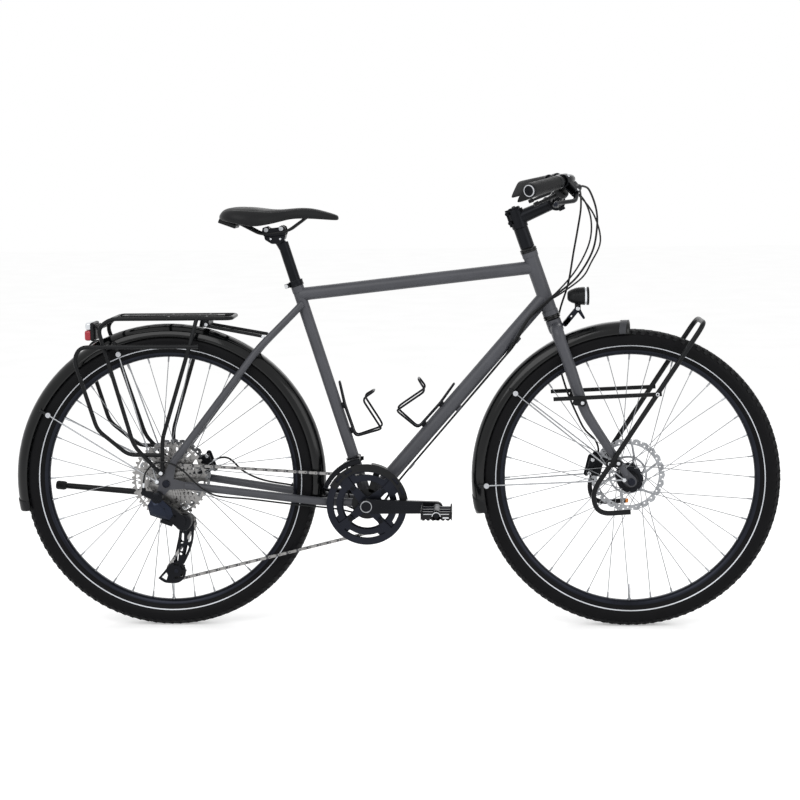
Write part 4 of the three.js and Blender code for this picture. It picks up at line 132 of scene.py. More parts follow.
def linear(value):
    """A written sRGB colour as linear light."""
    parts = [((value >> shift) & 255) / 255 for shift in (16, 8, 0)]
    return [part / 12.92 if part <= 0.04045 else ((part + 0.055) / 1.055) ** 2.4 for part in parts] + [1.0]


def colour(name, value, words):
    """A colour that a user can change."""
    return FloatVectorProperty(
        name=name, description=words, subtype="COLOR", size=4, min=0, max=1, default=linear(value)
    )


def length(name, value, words):
    """A size in millimetres that a user can change, kept in metres."""
    return FloatProperty(name=name, description=words, unit="LENGTH", min=0, default=value * MM, precision=5)


class BicycleColours(PropertyGroup):
    """Colours of the finishes."""

    paint: colour("Paint", 0x414247, "Powder coat on the frame and fork")
    rack: colour("Racks", 0x111214, "Powder coat on the racks and the kickstand")
    black_alloy: colour("Black alloy", 0x1A1B1E, "Anodised bar, stem, rims and small parts")
    dark_alloy: colour("Dark alloy", 0x1F2128, "Chainrings and the derailleur's cover")
    mudguard: colour("Mudguards", 0x060708, "Gloss sheet of the mudguards")
    rubber: colour("Tyre rubber", 0x0A0A0C, "Tread and sidewalls")
    grip: colour("Grip rubber", 0x0C0D0F, "Grips and hoods")
    cover: colour("Saddle cover", 0x0C0D0F, "Stretched cover of the saddle")
    plastic: colour("Black plastic", 0x0F1012, "Moulded housings")
    steel: colour("Bright steel", 0xC9CBCE, "Stays and bolts")
    wire: colour("Spoke steel", 0x8D8F92, "Spokes and nipples")
    disc: colour("Rotor steel", 0x9A9C9F, "Brake rotors")
    cog: colour("Plated steel", 0x8A8988, "Sprockets and chain")
    # Inner links take this dark grey as their own colour; the sprocket spacers take it as painted shade
    # between the sprockets.
    oiled_and_gap_shade: colour("Oiled steel", 0x4C4C4E, "Inner links of the chain and the gaps between sprockets")
    nylon: colour("Grey plastic", 0x36373B, "End pieces of the mudguards")
    cap: colour("Pale plastic", 0xB9BBBF, "Caps on the mudguard stays")
    lens: colour("Red lens", 0xC0202E, "Rear lamp")
    stripe: colour("Stripe", 0xC4C7CC, "Reflective stripe on the tyres")
    plug: colour("Plug", 0xE58A35, "Plug at the left hoop's end")


class BicycleSizes(PropertyGroup):
    """Counts and fine sizes of what repeats."""

    spoke: length("Spoke diameter", 2.0, "Diameter of a spoke")
    spokes: IntProperty(name="Spokes", description="Spokes in each wheel", default=36, min=12, max=48)
    blocks: IntProperty(name="Tread blocks", description="Tread blocks round each tyre", default=112, min=24)
    paint_grain: length("Paint grain", 0.9, "Width of the powder coat's grains")
    cover_grain: length("Cover grain", 1.6, "Width of the cover's grains")


# Finishes


def add(tree, kind, inputs=None, stops=(), **settings):
    """Adds a node with its settings, its inputs' values or links, and a ramp's stops."""
    made = tree.nodes.new("ShaderNode" + kind)
    for key, value in settings.items():
        setattr(made, key, value)
    for key, value in (inputs or {}).items():
        if isinstance(value, bpy.types.NodeSocket):
            tree.links.new(value, made.inputs[key])
        else:
            made.inputs[key].default_value = value
    for i, (place, shade) in enumerate(stops):
        made.color_ramp.elements[i].position = place
        made.color_ramp.elements[i].color = shade
    return made


def dimmed(shade, share):
    """The shade at a share of its strength."""
    return [part * share for part in shade[:3]] + [1.0]


def surface(name, shade, metallic, rough, grain, relief, blotch=60, drift=0.18, spread=0.08, **shader):
    """A surface whose shade and gloss drift over blotches and whose fine grain stands up a little."""
    made = bpy.data.materials.new(name)
    made.use_nodes = True
    tree = made.node_tree
    tree.nodes.clear()
    place = add(tree, "TexCoord").outputs["Object"]
    cloud = add(tree, "TexNoise", {"Vector": place, "Scale": 1 / (blotch * MM), "Detail": 5.0})
    fine = add(tree, "TexNoise", {"Vector": place, "Scale": 1 / (grain * MM), "Detail": 3.0})
    hue = add(tree, "ValToRGB", {"Fac": cloud.outputs["Fac"]},
              stops=[(0.3, dimmed(shade, 1 - drift)), (0.7, dimmed(shade, 1 + drift))])
    gloss = add(tree, "MapRange", {"Value": cloud.outputs["Fac"], "From Min": 0.3, "From Max": 0.7,
                                   "To Min": max(rough - spread, 0.03), "To Max": rough + spread})
    bump = add(tree, "Bump", {"Height": fine.outputs["Fac"], "Distance": relief * MM, "Strength": 0.6})
    values = {"Base Color": hue.outputs["Color"], "Roughness": gloss.outputs["Result"],
              "Normal": bump.outputs["Normal"], "Metallic": metallic}
    values.update(shader)
    skin = add(tree, "BsdfPrincipled", values)
    add(tree, "OutputMaterial", {"Surface": skin.outputs["BSDF"]})
    return made


def powder_coated_steel(colours, sizes):
    """Matt powder coat: an orange-peel grain that breaks up the highlight."""
    return surface("powder_coated_steel", colours.paint, 0.0, 0.42, sizes.paint_grain / MM, 0.05,
                   **{"Specular IOR Level": 0.35})


def powder_coated_tube(colours, sizes):
    """Satin black powder coat on bent tube."""
    return surface("powder_coated_tube", colours.rack, 0.0, 0.36, sizes.paint_grain / MM, 0.04,
                   **{"Specular IOR Level": 0.15})


def anodised_aluminium(colours, sizes):
    """Black anodised alloy: a dark metal with a soft sheen."""
    return surface("anodised_aluminium", colours.black_alloy, 0.85, 0.34, 0.5, 0.01,
                   **{"Specular IOR Level": 0.25})


def forged_aluminium(colours, sizes):
    """Dark polished forging with a faint blue cast."""
    return surface("forged_aluminium", colours.dark_alloy, 0.9, 0.3, 0.6, 0.01)


def blued_aluminium(colours, sizes):
    """Dark painted alloy whose facets catch a blue light."""
    return surface("blued_aluminium", linear(0x1E2330), 0.8, 0.3, 0.6, 0.01)


def gloss_polycarbonate(colours, sizes):
    """Gloss sheet with a faint ripple."""
    return surface("gloss_polycarbonate", colours.mudguard, 0.0, 0.16, 30, 0.15,
                   **{"Coat Weight": 0.12, "Specular IOR Level": 0.22})


def tyre_rubber(colours, sizes):
    """Dusty black rubber, rough with mould marks."""
    return surface("tyre_rubber", colours.rubber, 0.0, 0.5, 1.2, 0.12, blotch=25, drift=0.3,
                   **{"Specular IOR Level": 0.09})


def reflective_tape(colours, sizes):
    """Silvery glass-bead stripe."""
    return surface("reflective_tape", colours.stripe, 0.3, 0.45, 0.6, 0.03)


def stainless_steel(colours, sizes):
    """Bright drawn steel."""
    return surface("stainless_steel", colours.steel, 1.0, 0.24, 0.8, 0.01)


def drawn_wire(colours, sizes):
    """Thin drawn steel with a dull gloss."""
    return surface("drawn_wire", colours.wire, 1.0, 0.3, 0.8, 0.01)


def ground_steel(colours, sizes):
    """Ground steel sheet, greyed by the pads."""
    return surface("ground_steel", colours.disc, 1.0, 0.3, 0.6, 0.02, blotch=14)


def plated_steel(colours, sizes):
    """Nickel-plated stamped steel with a film of oil."""
    return surface("plated_steel", colours.cog, 1.0, 0.33, 0.7, 0.02, blotch=12, drift=0.25)


def oiled_steel_and_gap_shade(colours, sizes):
    """Dark steel with a film of oil, as on a chain's inner links; on the sprocket spacers the same dark is
    painted shade between the sprockets.
    """
    return surface("oiled_steel_and_gap_shade", colours.oiled_and_gap_shade, 1.0, 0.35, 0.7, 0.02, blotch=12, drift=0.25)


def moulded_nylon(colours, sizes):
    """Black moulded plastic with a fine spark-eroded texture."""
    return surface("moulded_nylon", colours.plastic, 0.0, 0.42, 0.5, 0.04, **{"Specular IOR Level": 0.2})


def grey_nylon(colours, sizes):
    """Mid-grey moulded plastic, slightly rough."""
    return surface("grey_nylon", colours.nylon, 0.0, 0.5, 0.5, 0.04, **{"Specular IOR Level": 0.3})


def pale_nylon(colours, sizes):
    """Pale grey moulded caps with a soft gloss."""
    return surface("pale_nylon", colours.cap, 0.0, 0.35, 0.5, 0.03)


def grip_rubber(colours, sizes):
    """Soft matt rubber, finely pitted."""
    return surface("grip_rubber", colours.grip, 0.0, 0.6, 1.4, 0.2, drift=0.25, **{"Specular IOR Level": 0.2})


def saddle_cover(colours, sizes):
    """Synthetic leather with a fine pebble grain."""
    return surface("saddle_cover", colours.cover, 0.0, 0.52, sizes.cover_grain / MM, 0.22,
                   **{"Sheen Weight": 0.04, "Specular IOR Level": 0.2})


def clear_lens(colours, sizes):
    """Clear polycarbonate."""
    return surface("clear_lens", linear(0xF4F6F8), 0.0, 0.08, 6, 0.1, drift=0.02, spread=0.02,
                   **{"Transmission Weight": 0.85})


def red_lens(colours, sizes):
    """Red acrylic with prisms behind it."""
    return surface("red_lens", colours.lens, 0.0, 0.12, 2.5, 0.5, drift=0.3, **{"Coat Weight": 0.6})


def pale_reflector(colours, sizes):
    """Pale moulded reflector."""
    return surface("pale_reflector", linear(0xD9DCE0), 0.2, 0.2, 2.5, 0.4)


def orange_plastic(colours, sizes):
    """Orange moulded plug."""
    return surface("orange_plastic", colours.plug, 0.0, 0.4, 0.6, 0.03)


FINISHES = (
    powder_coated_steel, powder_coated_tube, anodised_aluminium, forged_aluminium, blued_aluminium,
    gloss_polycarbonate, tyre_rubber, reflective_tape, stainless_steel, drawn_wire, ground_steel,
    plated_steel, oiled_steel_and_gap_shade, moulded_nylon, grey_nylon, pale_nylon, grip_rubber, saddle_cover,
    clear_lens, red_lens, pale_reflector, orange_plastic,
)


def finish(name):
    """The finish of that name, made on first use."""
    if name not in bpy.data.materials:
        scene = bpy.context.scene
        maker = next(made for made in FINISHES if made.__name__ == name)
        maker(scene.bicycle_colours, scene.bicycle_sizes)
    return bpy.data.materials[name]


# Shapes


def show(name, data, body, look, node=None):
    """Puts a finished mesh or curve in the scene, on its body, in place of its solid."""
    piece = bpy.data.objects.new(name, data)
    bpy.context.scene.collection.objects.link(piece)
    data.materials.append(finish(look))
    if body:
        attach(piece, body)
    if node:
        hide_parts(node)
    return piece


def polar(centre, radius, angle, y=0):
    """A place round a centre in the side view, with its angle in degrees."""
    return at(centre.x + radius * cos(radians(angle)), y, centre.z + radius * sin(radians(angle)))


def circle(spot, radius, steps=24):
    """Points round a circle."""
    turns = [tau * i / steps for i in range(steps)]
    return [(spot[0] + radius * cos(turn), spot[1] + radius * sin(turn)) for turn in turns]


def arc(spot, radius, start, end, steps=12):
    """Points on an arc, with its angles in degrees."""
    angles = [radians(start + (end - start) * i / steps) for i in range(steps + 1)]
    return [(spot[0] + radius * cos(a), spot[1] + radius * sin(a)) for a in angles]


def strap(a, b, wide, narrow, steps=9):
    """The outline round two circles, seen from the side."""
    a, b = Vector(flat(a)), Vector(flat(b))
    reach = b - a
    lean = atan2(reach.y, reach.x)
    spread = acos((wide - narrow) / reach.length)
    near = [a + wide * Vector((cos(t), sin(t))) for t in
            (lean + spread + (tau - 2 * spread) * i / steps for i in range(steps + 1))]
    far = [b + narrow * Vector((cos(t), sin(t))) for t in
           (lean - spread + 2 * spread * i / steps for i in range(steps + 1))]
    return near + far


def flat(spot):
    """A place as seen from the side."""
    return (spot.x, spot.z) if len(spot) == 3 else tuple(spot)


def gear(spot, teeth, tip, root):
    """The toothed outline of a sprocket."""
    corners = []
    for i in range(teeth):
        for share, radius in ((-0.34, root), (-0.13, tip), (0.13, tip), (0.34, root)):
            turn = tau * (i + share) / teeth
            corners.append((spot[0] + radius * cos(turn), spot[1] + radius * sin(turn)))
    return corners


def rounded(points, bend, steps=7):
    """A path whose inner corners are rounded."""
    path = [points[0]]
    for before, here, after in zip(points, points[1:], points[2:]):
        back, ahead = before - here, after - here
        start = here + back * min(bend / back.length, 0.49)
        end = here + ahead * min(bend / ahead.length, 0.49)
        for i in range(steps + 1):
            t = i / steps
            path.append(start * (1 - t) ** 2 + here * 2 * t * (1 - t) + end * t * t)
    path.append(points[-1])
    return path


def smooth(points, steps=6):
    """A path that runs smoothly through its points."""
    ends = [points[0] * 2 - points[1], *points, points[-1] * 2 - points[-2]]
    path = []
    for a, b, c, d in zip(ends, ends[1:], ends[2:], ends[3:]):
        for i in range(steps):
            t = i / steps
            path.append((b * 2 + (c - a) * t + (a * 2 - b * 5 + c * 4 - d) * t * t
                         + (b * 3 - a - c * 3 + d) * t ** 3) * 0.5)
    path.append(points[-1])
    return path


def mirrored(points, side=-1):
    """The path on the other side, or the same path for a side of 1."""
    return [Vector((p.x, side * p.y, *p[2:])) for p in points]


def tubes(name, paths, radius, sides, closed=False):
    """A curve of round tubes along paths. A path's point may hold its own radius as a fourth number."""
    curve = bpy.data.curves.new(name, "CURVE")
    curve.dimensions = "3D"
    curve.bevel_depth = radius * MM
    curve.bevel_resolution = sides
    curve.use_fill_caps = True
    for path in paths:
        line = curve.splines.new("POLY")
        line.points.add(len(path) - 1)
        line.use_cyclic_u = closed
        line.use_smooth = True
        for spot, mark in zip(path, line.points):
            mark.co = (*(TO_ROW @ spot.to_3d()), 1)
            mark.radius = spot[3] / radius if len(spot) == 4 else 1
    return curve


def pipe(name, body, look, paths, radius, node=None, sides=3, closed=False):
    """Round tubes or wires, shown in the scene."""
    return show(name, tubes(name, paths, radius, sides, closed), body, look, node)


def hose(name, look, path, radius, node):
    """A hose that curves smoothly from a place on the frame to one on the fork, kept as one fixed mesh."""
    run = bpy.data.objects.new(name + "_run", tubes(name + "_run", [smooth(path)], radius, 2))
    piece = show(name, bpy.data.meshes.new_from_object(run), None, look, node)
    bpy.data.curves.remove(run.data)
    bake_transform(piece)


class Form:
    """A mesh in the making, in millimetres."""

    def __init__(self):
        self.mesh = bmesh.new()

    def turned(self, profile, spot, axis=Y, steps=48, closed=False, angle=tau, start=None):
        """Spins a profile of (radius, place along the axis) pairs."""
        axis = axis.normalized()
        out = start or axis.orthogonal().normalized()
        verts = [self.mesh.verts.new(spot + axis * along + out * radius) for radius, along in profile]
        pairs = list(zip(verts, verts[1:])) + ([(verts[-1], verts[0])] if closed else [])
        edges = [self.mesh.edges.new(pair) for pair in pairs]
        bmesh.ops.spin(self.mesh, geom=verts + edges, cent=spot, axis=axis, angle=angle, steps=steps,
                       use_merge=angle == tau)
        return self

    def rod(self, start, end, radius, end_radius=None, steps=20):
        """A straight rod or cone between two places."""
        reach = end - start
        tip = radius if end_radius is None else end_radius
        turn = reach.to_track_quat("Z", "Y").to_matrix().to_4x4()
        bmesh.ops.create_cone(self.mesh, cap_ends=True, segments=steps, radius1=radius, radius2=tip,
                              depth=reach.length, matrix=Matrix.Translation((start + end) / 2) @ turn)
        return self

    def ring(self, spot, axis, outer, inner, low, high, steps=48):
        """A flat ring with square edges."""
        square = [(outer, low), (outer, high), (inner, high), (inner, low)]
        return self.turned(square, spot, axis, steps, True)

    def bolt(self, spot, axis, radius, height, steps=20):
        """A round bolt head with a socket in it."""
        socket, depth = radius * 0.5, height * 0.4
        head = [(0, depth), (socket, depth), (socket, height), (radius * 0.8, height),
                (radius, height * 0.75), (radius, 0), (0, 0)]
        return self.turned(head, spot, axis, steps)

    def panel(self, loops, spot, across, up, depth):
        """A sheet with an outline and holes, drawn in a plane and given a thickness."""
        edges = []
        for loop in loops:
            verts = [self.mesh.verts.new(spot + across * u + up * v) for u, v in loop]
            edges += [self.mesh.edges.new(pair) for pair in zip(verts, verts[1:] + verts[:1])]
        normal = across.cross(up)
        made = bmesh.ops.triangle_fill(self.mesh, use_beauty=True, edges=edges, normal=normal)["geom"]
        faces = [item for item in made if isinstance(item, bmesh.types.BMFace)]
        grown = bmesh.ops.extrude_face_region(self.mesh, geom=faces)["geom"]
        moved = [item for item in grown if isinstance(item, bmesh.types.BMVert)]
        bmesh.ops.translate(self.mesh, verts=moved, vec=normal * depth)
        return self

    def plate(self, loops, low, high):
        """A sheet seen from the side, between two places across."""
        return self.panel(loops, at(0, high), X, Z, high - low)

    def slab(self, spot, size, turn=None):
        """A block, turned in place."""
        place = Matrix.Translation(spot) @ (turn.to_4x4() if turn else Matrix.Identity(4))
        bmesh.ops.create_cube(self.mesh, size=1, matrix=place @ Matrix.Diagonal((*size, 1)))
        return self

    def blocks(self, centre, radius, count, y, size):
        """Small blocks set round a centre, each turned to face it."""
        for i in range(count):
            angle = i * 360 / count
            self.slab(polar(centre, radius, angle, y), size, Matrix.Rotation(-radians(angle), 3, "Y"))
        return self

    def loft(self, loops):
        """A closed skin over loops of places."""
        rings = []
        for loop in loops:
            verts = [self.mesh.verts.new(spot) for spot in loop]
            rings.append([self.mesh.edges.new(pair) for pair in zip(verts, verts[1:] + verts[:1])])
        for one, other in zip(rings, rings[1:]):
            bmesh.ops.bridge_loops(self.mesh, edges=one + other)
        for ring in (rings[0], rings[-1]):
            bmesh.ops.contextual_create(self.mesh, geom=ring)
        return self

    def moved(self, matrix):
        """The mesh so far, moved or turned."""
        bmesh.ops.transform(self.mesh, matrix=matrix, verts=self.mesh.verts)
        return self

    def keep(self, name, body, look, node=None, edge=0.4, crease=32, levels=0, place=None):
        """Closes the mesh and shows it, with its sharp edges rounded by a small width."""
        bmesh.ops.remove_doubles(self.mesh, verts=self.mesh.verts, dist=0.002)
        bmesh.ops.recalc_face_normals(self.mesh, faces=self.mesh.faces)
        bmesh.ops.transform(self.mesh, matrix=TO_ROW @ (place or Matrix.Identity(4)), verts=self.mesh.verts)
        data = bpy.data.meshes.new(name)
        self.mesh.to_mesh(data)
        self.mesh.free()
        data.shade_smooth()
        if not levels:
            data.set_sharp_from_angle(angle=radians(crease))
        piece = show(name, data, body, look, node)
        if edge:
            bevel = piece.modifiers.new("Rounded edges", "BEVEL")
            bevel.width = edge * MM
            bevel.segments = 2
            bevel.limit_method = "ANGLE"
            bevel.angle_limit = radians(crease)
            bevel.harden_normals = not levels
        if levels:
            soft = piece.modifiers.new("Smooth skin", "SUBSURF")
            soft.levels = soft.render_levels = levels
        return piece


def pitch_radius(teeth):
    """The radius at which a chain runs over that many teeth."""
    return CHAIN_PITCH / (2 * sin(pi / teeth))


# Wheels

# Rows of tread blocks: place across, size, distance from the axle, tilt, skew, and shift in pitches
TREAD = (
    (0, (17, 5, 5), 358.4, 0, 0.1, 0),
    (7, (13, 6, 5), 357.6, 0.3, -0.2, 0.5),
    (-7, (13, 6, 5), 357.6, -0.3, 0.2, 0),
    (13.6, (10, 5, 5), 355.8, 0.65, 0.3, 0.25),
    (-13.6, (10, 5, 5), 355.8, -0.65, -0.3, 0.75),
    (19.6, (9, 7, 5), 351.6, 1.05, 0.3, 0),
    (-19.6, (9, 7, 5), 351.6, -1.05, -0.3, 0.5),
)
WHEEL_STEPS = 128
SPLINES = 12


def tyre(end, hub, blocks):
    """A casing with a round shoulder, block tread and a stripe on each side."""
    side = [(310, 12), (314, 14.5), (319, 17.4), (327, 22.2), (336, 25), (345, 24.6), (352, 20.6),
            (357.4, 13.5), (359.6, 6.5), (360.2, 0)]
    profile = [(r, -y) for r, y in side] + list(reversed(side[:-1])) + [(308, 9), (308, -9)]
    Form().turned(profile, hub, steps=WHEEL_STEPS, closed=True).keep(
        f"{end}_casing", f"{end}_wheel", "tyre_rubber", f"{end}_tyre", edge=0)
    tread = Form()
    step = tau / blocks
    for i in range(blocks):
        for place, size, radius, tilt, skew, shift in TREAD:
            turn = Matrix.Rotation(-(i + shift) * step, 4, "Y")
            local = Matrix.Translation((0, place, radius)) @ Matrix.Rotation(-tilt, 4, "X")
            local = local @ Matrix.Rotation(skew, 4, "Z") @ Matrix.Diagonal((*size, 1))
            bmesh.ops.create_cube(tread.mesh, size=1, matrix=Matrix.Translation(hub) @ turn @ local)
    tread.keep(f"{end}_tread", f"{end}_wheel", "grip_rubber", edge=0)
    band = Form()
    for s in (-1, 1):
        band.turned([(321.2, s * 19.0), (323.4, s * 20.4), (323.4, s * 20.0), (321.2, s * 18.6)], hub,
                    steps=WHEEL_STEPS, closed=True)
    band.keep(f"{end}_stripe", f"{end}_wheel", "reflective_tape", edge=0)


def rim(end, hub):
    """A double-walled rim with hooked edges, and the valve."""
    half = [(317, 13), (317, 11.4), (314, 11), (310, 11.4), (309, 9)]
    wall = [(300, 5), (303, 9), (307, 12), (312, 12.8)]
    profile = [(299.4, 0), *wall, *half, *[(r, -y) for r, y in reversed(half)],
               *[(r, -y) for r, y in reversed(wall)]]
    Form().turned(profile, hub, steps=WHEEL_STEPS, closed=True).keep(
        f"{end}_rim_hoop", f"{end}_wheel", "forged_aluminium", f"{end}_rim", edge=0, crease=50)
    valve = Form()
    down = at(0, 0, -1)
    valve.turned([(0, 262), (2.4, 262), (2.6, 264), (2.6, 270), (3, 271), (3, 301), (0, 301)], hub, down, 16)
    valve.turned([(0, 296), (4.5, 296), (4.5, 299.6), (0, 299.6)], hub, down, 16)
    valve.keep(f"{end}_valve", f"{end}_wheel", "stainless_steel", edge=0.2)


def spokes(end, hub, flange, left, right, sizes):
    """Crossed spokes from flange to rim, with their nipples."""
    rim_seat, nipple, overlap = 300, 13, 8
    hole_depth, head_offset, rim_offset, crossing = 3, 2, 3, 6
    step = 360 / sizes.spokes
    wires = []
    nipples = Form()
    for i in range(sizes.spokes):
        side = 1 if i % 2 == 0 else -1
        sign = 1 if i % 4 < 2 else -1
        face = (left if side > 0 else right) + side * sign * head_offset
        root = polar(hub, flange - hole_depth, (i + sign * crossing) * step, face)
        tip = polar(hub, rim_seat, i * step, side * rim_offset)
        inward = (root - tip).normalized()
        wires.append([root, tip + inward * overlap])
        nipples.rod(tip, tip + inward * nipple, 2.3, 1.9, 8)
    pipe(f"{end}_spokes", f"{end}_wheel", "drawn_wire", wires, sizes.spoke / MM / 2, sides=1)
    nipples.keep(f"{end}_nipples", f"{end}_wheel", "drawn_wire", edge=0)


def rotor(end, hub, plane):
    """A brake rotor with a scalloped, drilled band on curved arms."""
    scallops, depth, holes, arms, twist = 24, 1.4, 48, 6, 22
    half, band, middle, lock = 0.9, 15, ROTOR_RADIUS / 2, 26
    spot = flat(hub)
    outer = []
    for i in range(8 * scallops):
        turn = tau * i / (8 * scallops)
        radius = ROTOR_RADIUS - depth + depth * cos(scallops * turn)
        outer.append((spot[0] + radius * cos(turn), spot[1] + radius * sin(turn)))
    loops = [outer, circle(spot, 12, 32)]
    for i in range(holes):
        inset = 5.2 if i % 2 else 9.6
        loops.append(circle(flat(polar(hub, ROTOR_RADIUS - inset, i * 360 / holes)), 2.2, 8))
    share = 360 / arms
    for i in range(arms):
        start = share * i
        window = arc(spot, ROTOR_RADIUS - band, start + twist + 2, start + twist + share - 2, 10)
        window += arc(spot, middle + 2, start + twist / 2 + share - 4, start + twist / 2 + 4, 5)
        inner = arc(spot, middle - 3, start + 15, start + share + 6, 5)
        inner += arc(spot, lock, start + share - 3, start + 9, 4)
        loops += [window, inner]
    disc = Form().plate(loops, plane - half, plane + half)
    disc.keep(f"{end}_rotor_disc", f"{end}_wheel", "ground_steel",
              "front_rotor" if end == "front" else None, edge=0)
    carrier = Form().ring(hub, Y, 22, 12, plane + 0.8, plane + 4.5, 32)
    carrier.blocks(hub, 20.5, SPLINES, plane + 3, (4, 3.4, 3))
    carrier.keep(f"{end}_rotor_lock", f"{end}_wheel", "anodised_aluminium", edge=0.3)


def rear_hub():
    """The shell, its flanges and the end caps."""
    end = REAR_HUB_HALF
    profile = [(0, -end), (9, -end), (10, 1.5 - end), (10, 3.5 - end), (14, 4.1 - end), (14, -24),
               (27.5, -23.2), (29, -22), (29, -20), (27.5, -18.8), (17, -15.5), (15.5, -5), (15.5, 18),
               (17.5, 27), (27.5, 30.8), (29, 32), (29, 34), (27.5, 35), (21, 38), (20, 50), (20, 52),
               (11, 53), (10.5, end - 4.5), (9, end), (0, end)]
    form = Form().turned(profile, REAR)
    form.keep("rear_hub_shell", "rear_wheel", "anodised_aluminium", "rear_hub", edge=0.3)


def front_hub():
    """The dynamo's wide drum between its flanges."""
    end = FRONT_HUB_HALF
    profile = [(0, -end), (9, -end), (10, 1.5 - end), (10, 4.5 - end), (18, -34), (22, -28.4), (31, -26.6),
               (32, -25.8), (32, -24), (31, -23.2), (28.2, -21.8), (27.2, -18), (28, -16), (28, 16),
               (27.2, 18), (28.2, 21.8), (31, 23.2), (32, 24), (32, 25.8), (31, 26.6), (22, 30), (20, 36.6),
               (11, 37), (10.5, end - 2.5), (9, end), (0, end)]
    form = Form().turned(profile, FRONT)
    form.keep("front_hub_drum", "front_wheel", "anodised_aluminium", "front_hub", edge=0.3)


COGS = (11, 13, 15, 17, 19, 21, 24, 28, 32, 37, 45)
COG_STEP = 3.8
DRIVEN_TEETH = 21


def cassette():
    """Eleven toothed sprockets, the larger ones pierced, with their spacers, dark as painted shade between
    the sprockets, and lockring.
    """
    spot = flat(REAR)
    steel, spacers = Form(), Form()
    for i, teeth in enumerate(COGS):
        middle = -CHAIN_PLANE - (COGS.index(DRIVEN_TEETH) - i) * COG_STEP
        pitch = pitch_radius(teeth)
        loops = [gear(spot, teeth, pitch + 2.6, pitch - 3.6), circle(spot, 16, 24)]
        if teeth >= DRIVEN_TEETH:
            count = 7 if teeth < 30 else 9
            low, high = 23, pitch - 8
            for k in range(count):
                start = 360 * k / count + i * 9
                window = arc(spot, high, start, start + 360 / count - 12, 5)
                window += arc(spot, low, start + 360 / count - 20, start + 6, 4)
                loops.append(window)
        steel.plate(loops, middle - 0.9, middle + 0.9)
        if teeth < COGS[-1]:
            spacers.ring(REAR, Y, min(pitch - 6, 22), 16, middle + 1, middle + 2.8, 32)
    steel.keep("sprockets", "cassette", "plated_steel", "cassette", edge=0)
    # Dark spacers: painted shade in the gaps between the sprockets.
    spacers.keep("sprocket_spacers_in_painted_shade", "cassette", "oiled_steel_and_gap_shade", edge=0)
    face = -64.6
    lock = Form().ring(REAR, Y, 17.4, 11.5, face, face + 1, 36)
    lock.blocks(REAR, 13, SPLINES, face, (3, 1.4, 2))
    lock.keep("lockring", "cassette", "plated_steel", edge=0.2)


def axle(end, hub, reach, body):
    """A through axle with a flanged head at each end."""
    head = [(6, reach), (9, reach), (9, reach + 4.5), (7, reach + 6), (0, reach + 6)]
    bar = Form().turned([(r, -y) for r, y in reversed(head)] + head, hub, Y, 32)
    bar.bolt(at(hub.x, -reach - 5.8, hub.z), -Y, 6.4, 1)
    bar.keep(f"{end}_through_axle", body, "forged_aluminium", f"{end}_axle", edge=0.4)


# Frame


def main_tubes():
    """The frame's round tubes, stays and bridges."""
    straight = (
        ("seat_tube", CRANK, SEAT_TOP, SEAT_TUBE),
        ("head_tube", HEAD_FOOT, HEAD_TOP, HEAD_TUBE),
        ("top_tube", CRANK + SEAT_UP * 530, HEAD_TOP - STEER_UP * 38, TOP_TUBE),
        ("down_tube", CRANK, DOWN_TOP, DOWN_TUBE),
    )
    for name, start, end, radius in straight:
        node = "frame" if name == "seat_tube" else None
        pipe(name, "frame", "powder_coated_steel", [[start, end]], radius, node, sides=14)
    spread, seat_bridge, chain_bridge = 70.8, 42, 30
    top = CRANK + SEAT_UP * 508
    seat_stay = [SEAT_STAY_FOOT + Y * spread, at(223, seat_bridge, 682),
                 at(top.x - SEAT_TUBE, 22, top.z - 16), at(top.x, 14, top.z)]
    seat_stay = [Vector((*p, r)) for p, r in zip(seat_stay, (9, SEAT_STAY, SEAT_STAY, SEAT_STAY))]
    chain_stay = [CHAIN_STAY_FOOT + Y * (spread - 0.3), at(370, 41, 311), at(410, chain_bridge, 308),
                  at(462, 25, 305)]
    chain_stay = [Vector((*p, r)) for p, r in zip(chain_stay, (9.5, CHAIN_STAY, CHAIN_STAY, CHAIN_STAY))]
    for name, path, radius in (("seat_stays", seat_stay, SEAT_STAY), ("chain_stays", chain_stay, CHAIN_STAY)):
        paths = [rounded(mirrored(path, s), 24) for s in (-1, 1)]
        pipe(name, "frame", "powder_coated_steel", paths, radius, sides=8)
    bridges = [[at(x, -half, z), at(x, half, z)]
               for x, half, z in ((221.2, seat_bridge, 679.3), (385, chain_bridge, 308))]
    pipe("bridges", "frame", "powder_coated_steel", bridges, 6, sides=5)


def lugs():
    """The bottom bracket shell, the collars on the tubes and the bosses under the down tube."""
    form = Form()
    side = [(20, 29), (20.8, 31), (20.8, 35.5), (20, SHELL_HALF), (17, SHELL_HALF)]
    form.turned(side + [(r, -y) for r, y in reversed(side)], CRANK, Y, 40, True)
    for spot, sign in ((HEAD_FOOT, 1), (HEAD_TOP, -1)):
        form.ring(spot, STEER_UP * sign, HEAD_TUBE + 1.4, 17, 0, 12, 40)
    form.ring(SEAT_TOP, SEAT_UP, SEAT_TUBE + 1.1, 13.6, -30, -14.6, 36)
    for x, z in ((871, 733), (849, 696), (705, 531), (590, 392)):
        form.slab(at(x, 0, z), (16, 22, 5), Matrix.Rotation(-atan2(DOWN_UP.z, DOWN_UP.x), 3, "Y"))
    form.keep("lugs", "frame", "powder_coated_steel", edge=0.6)


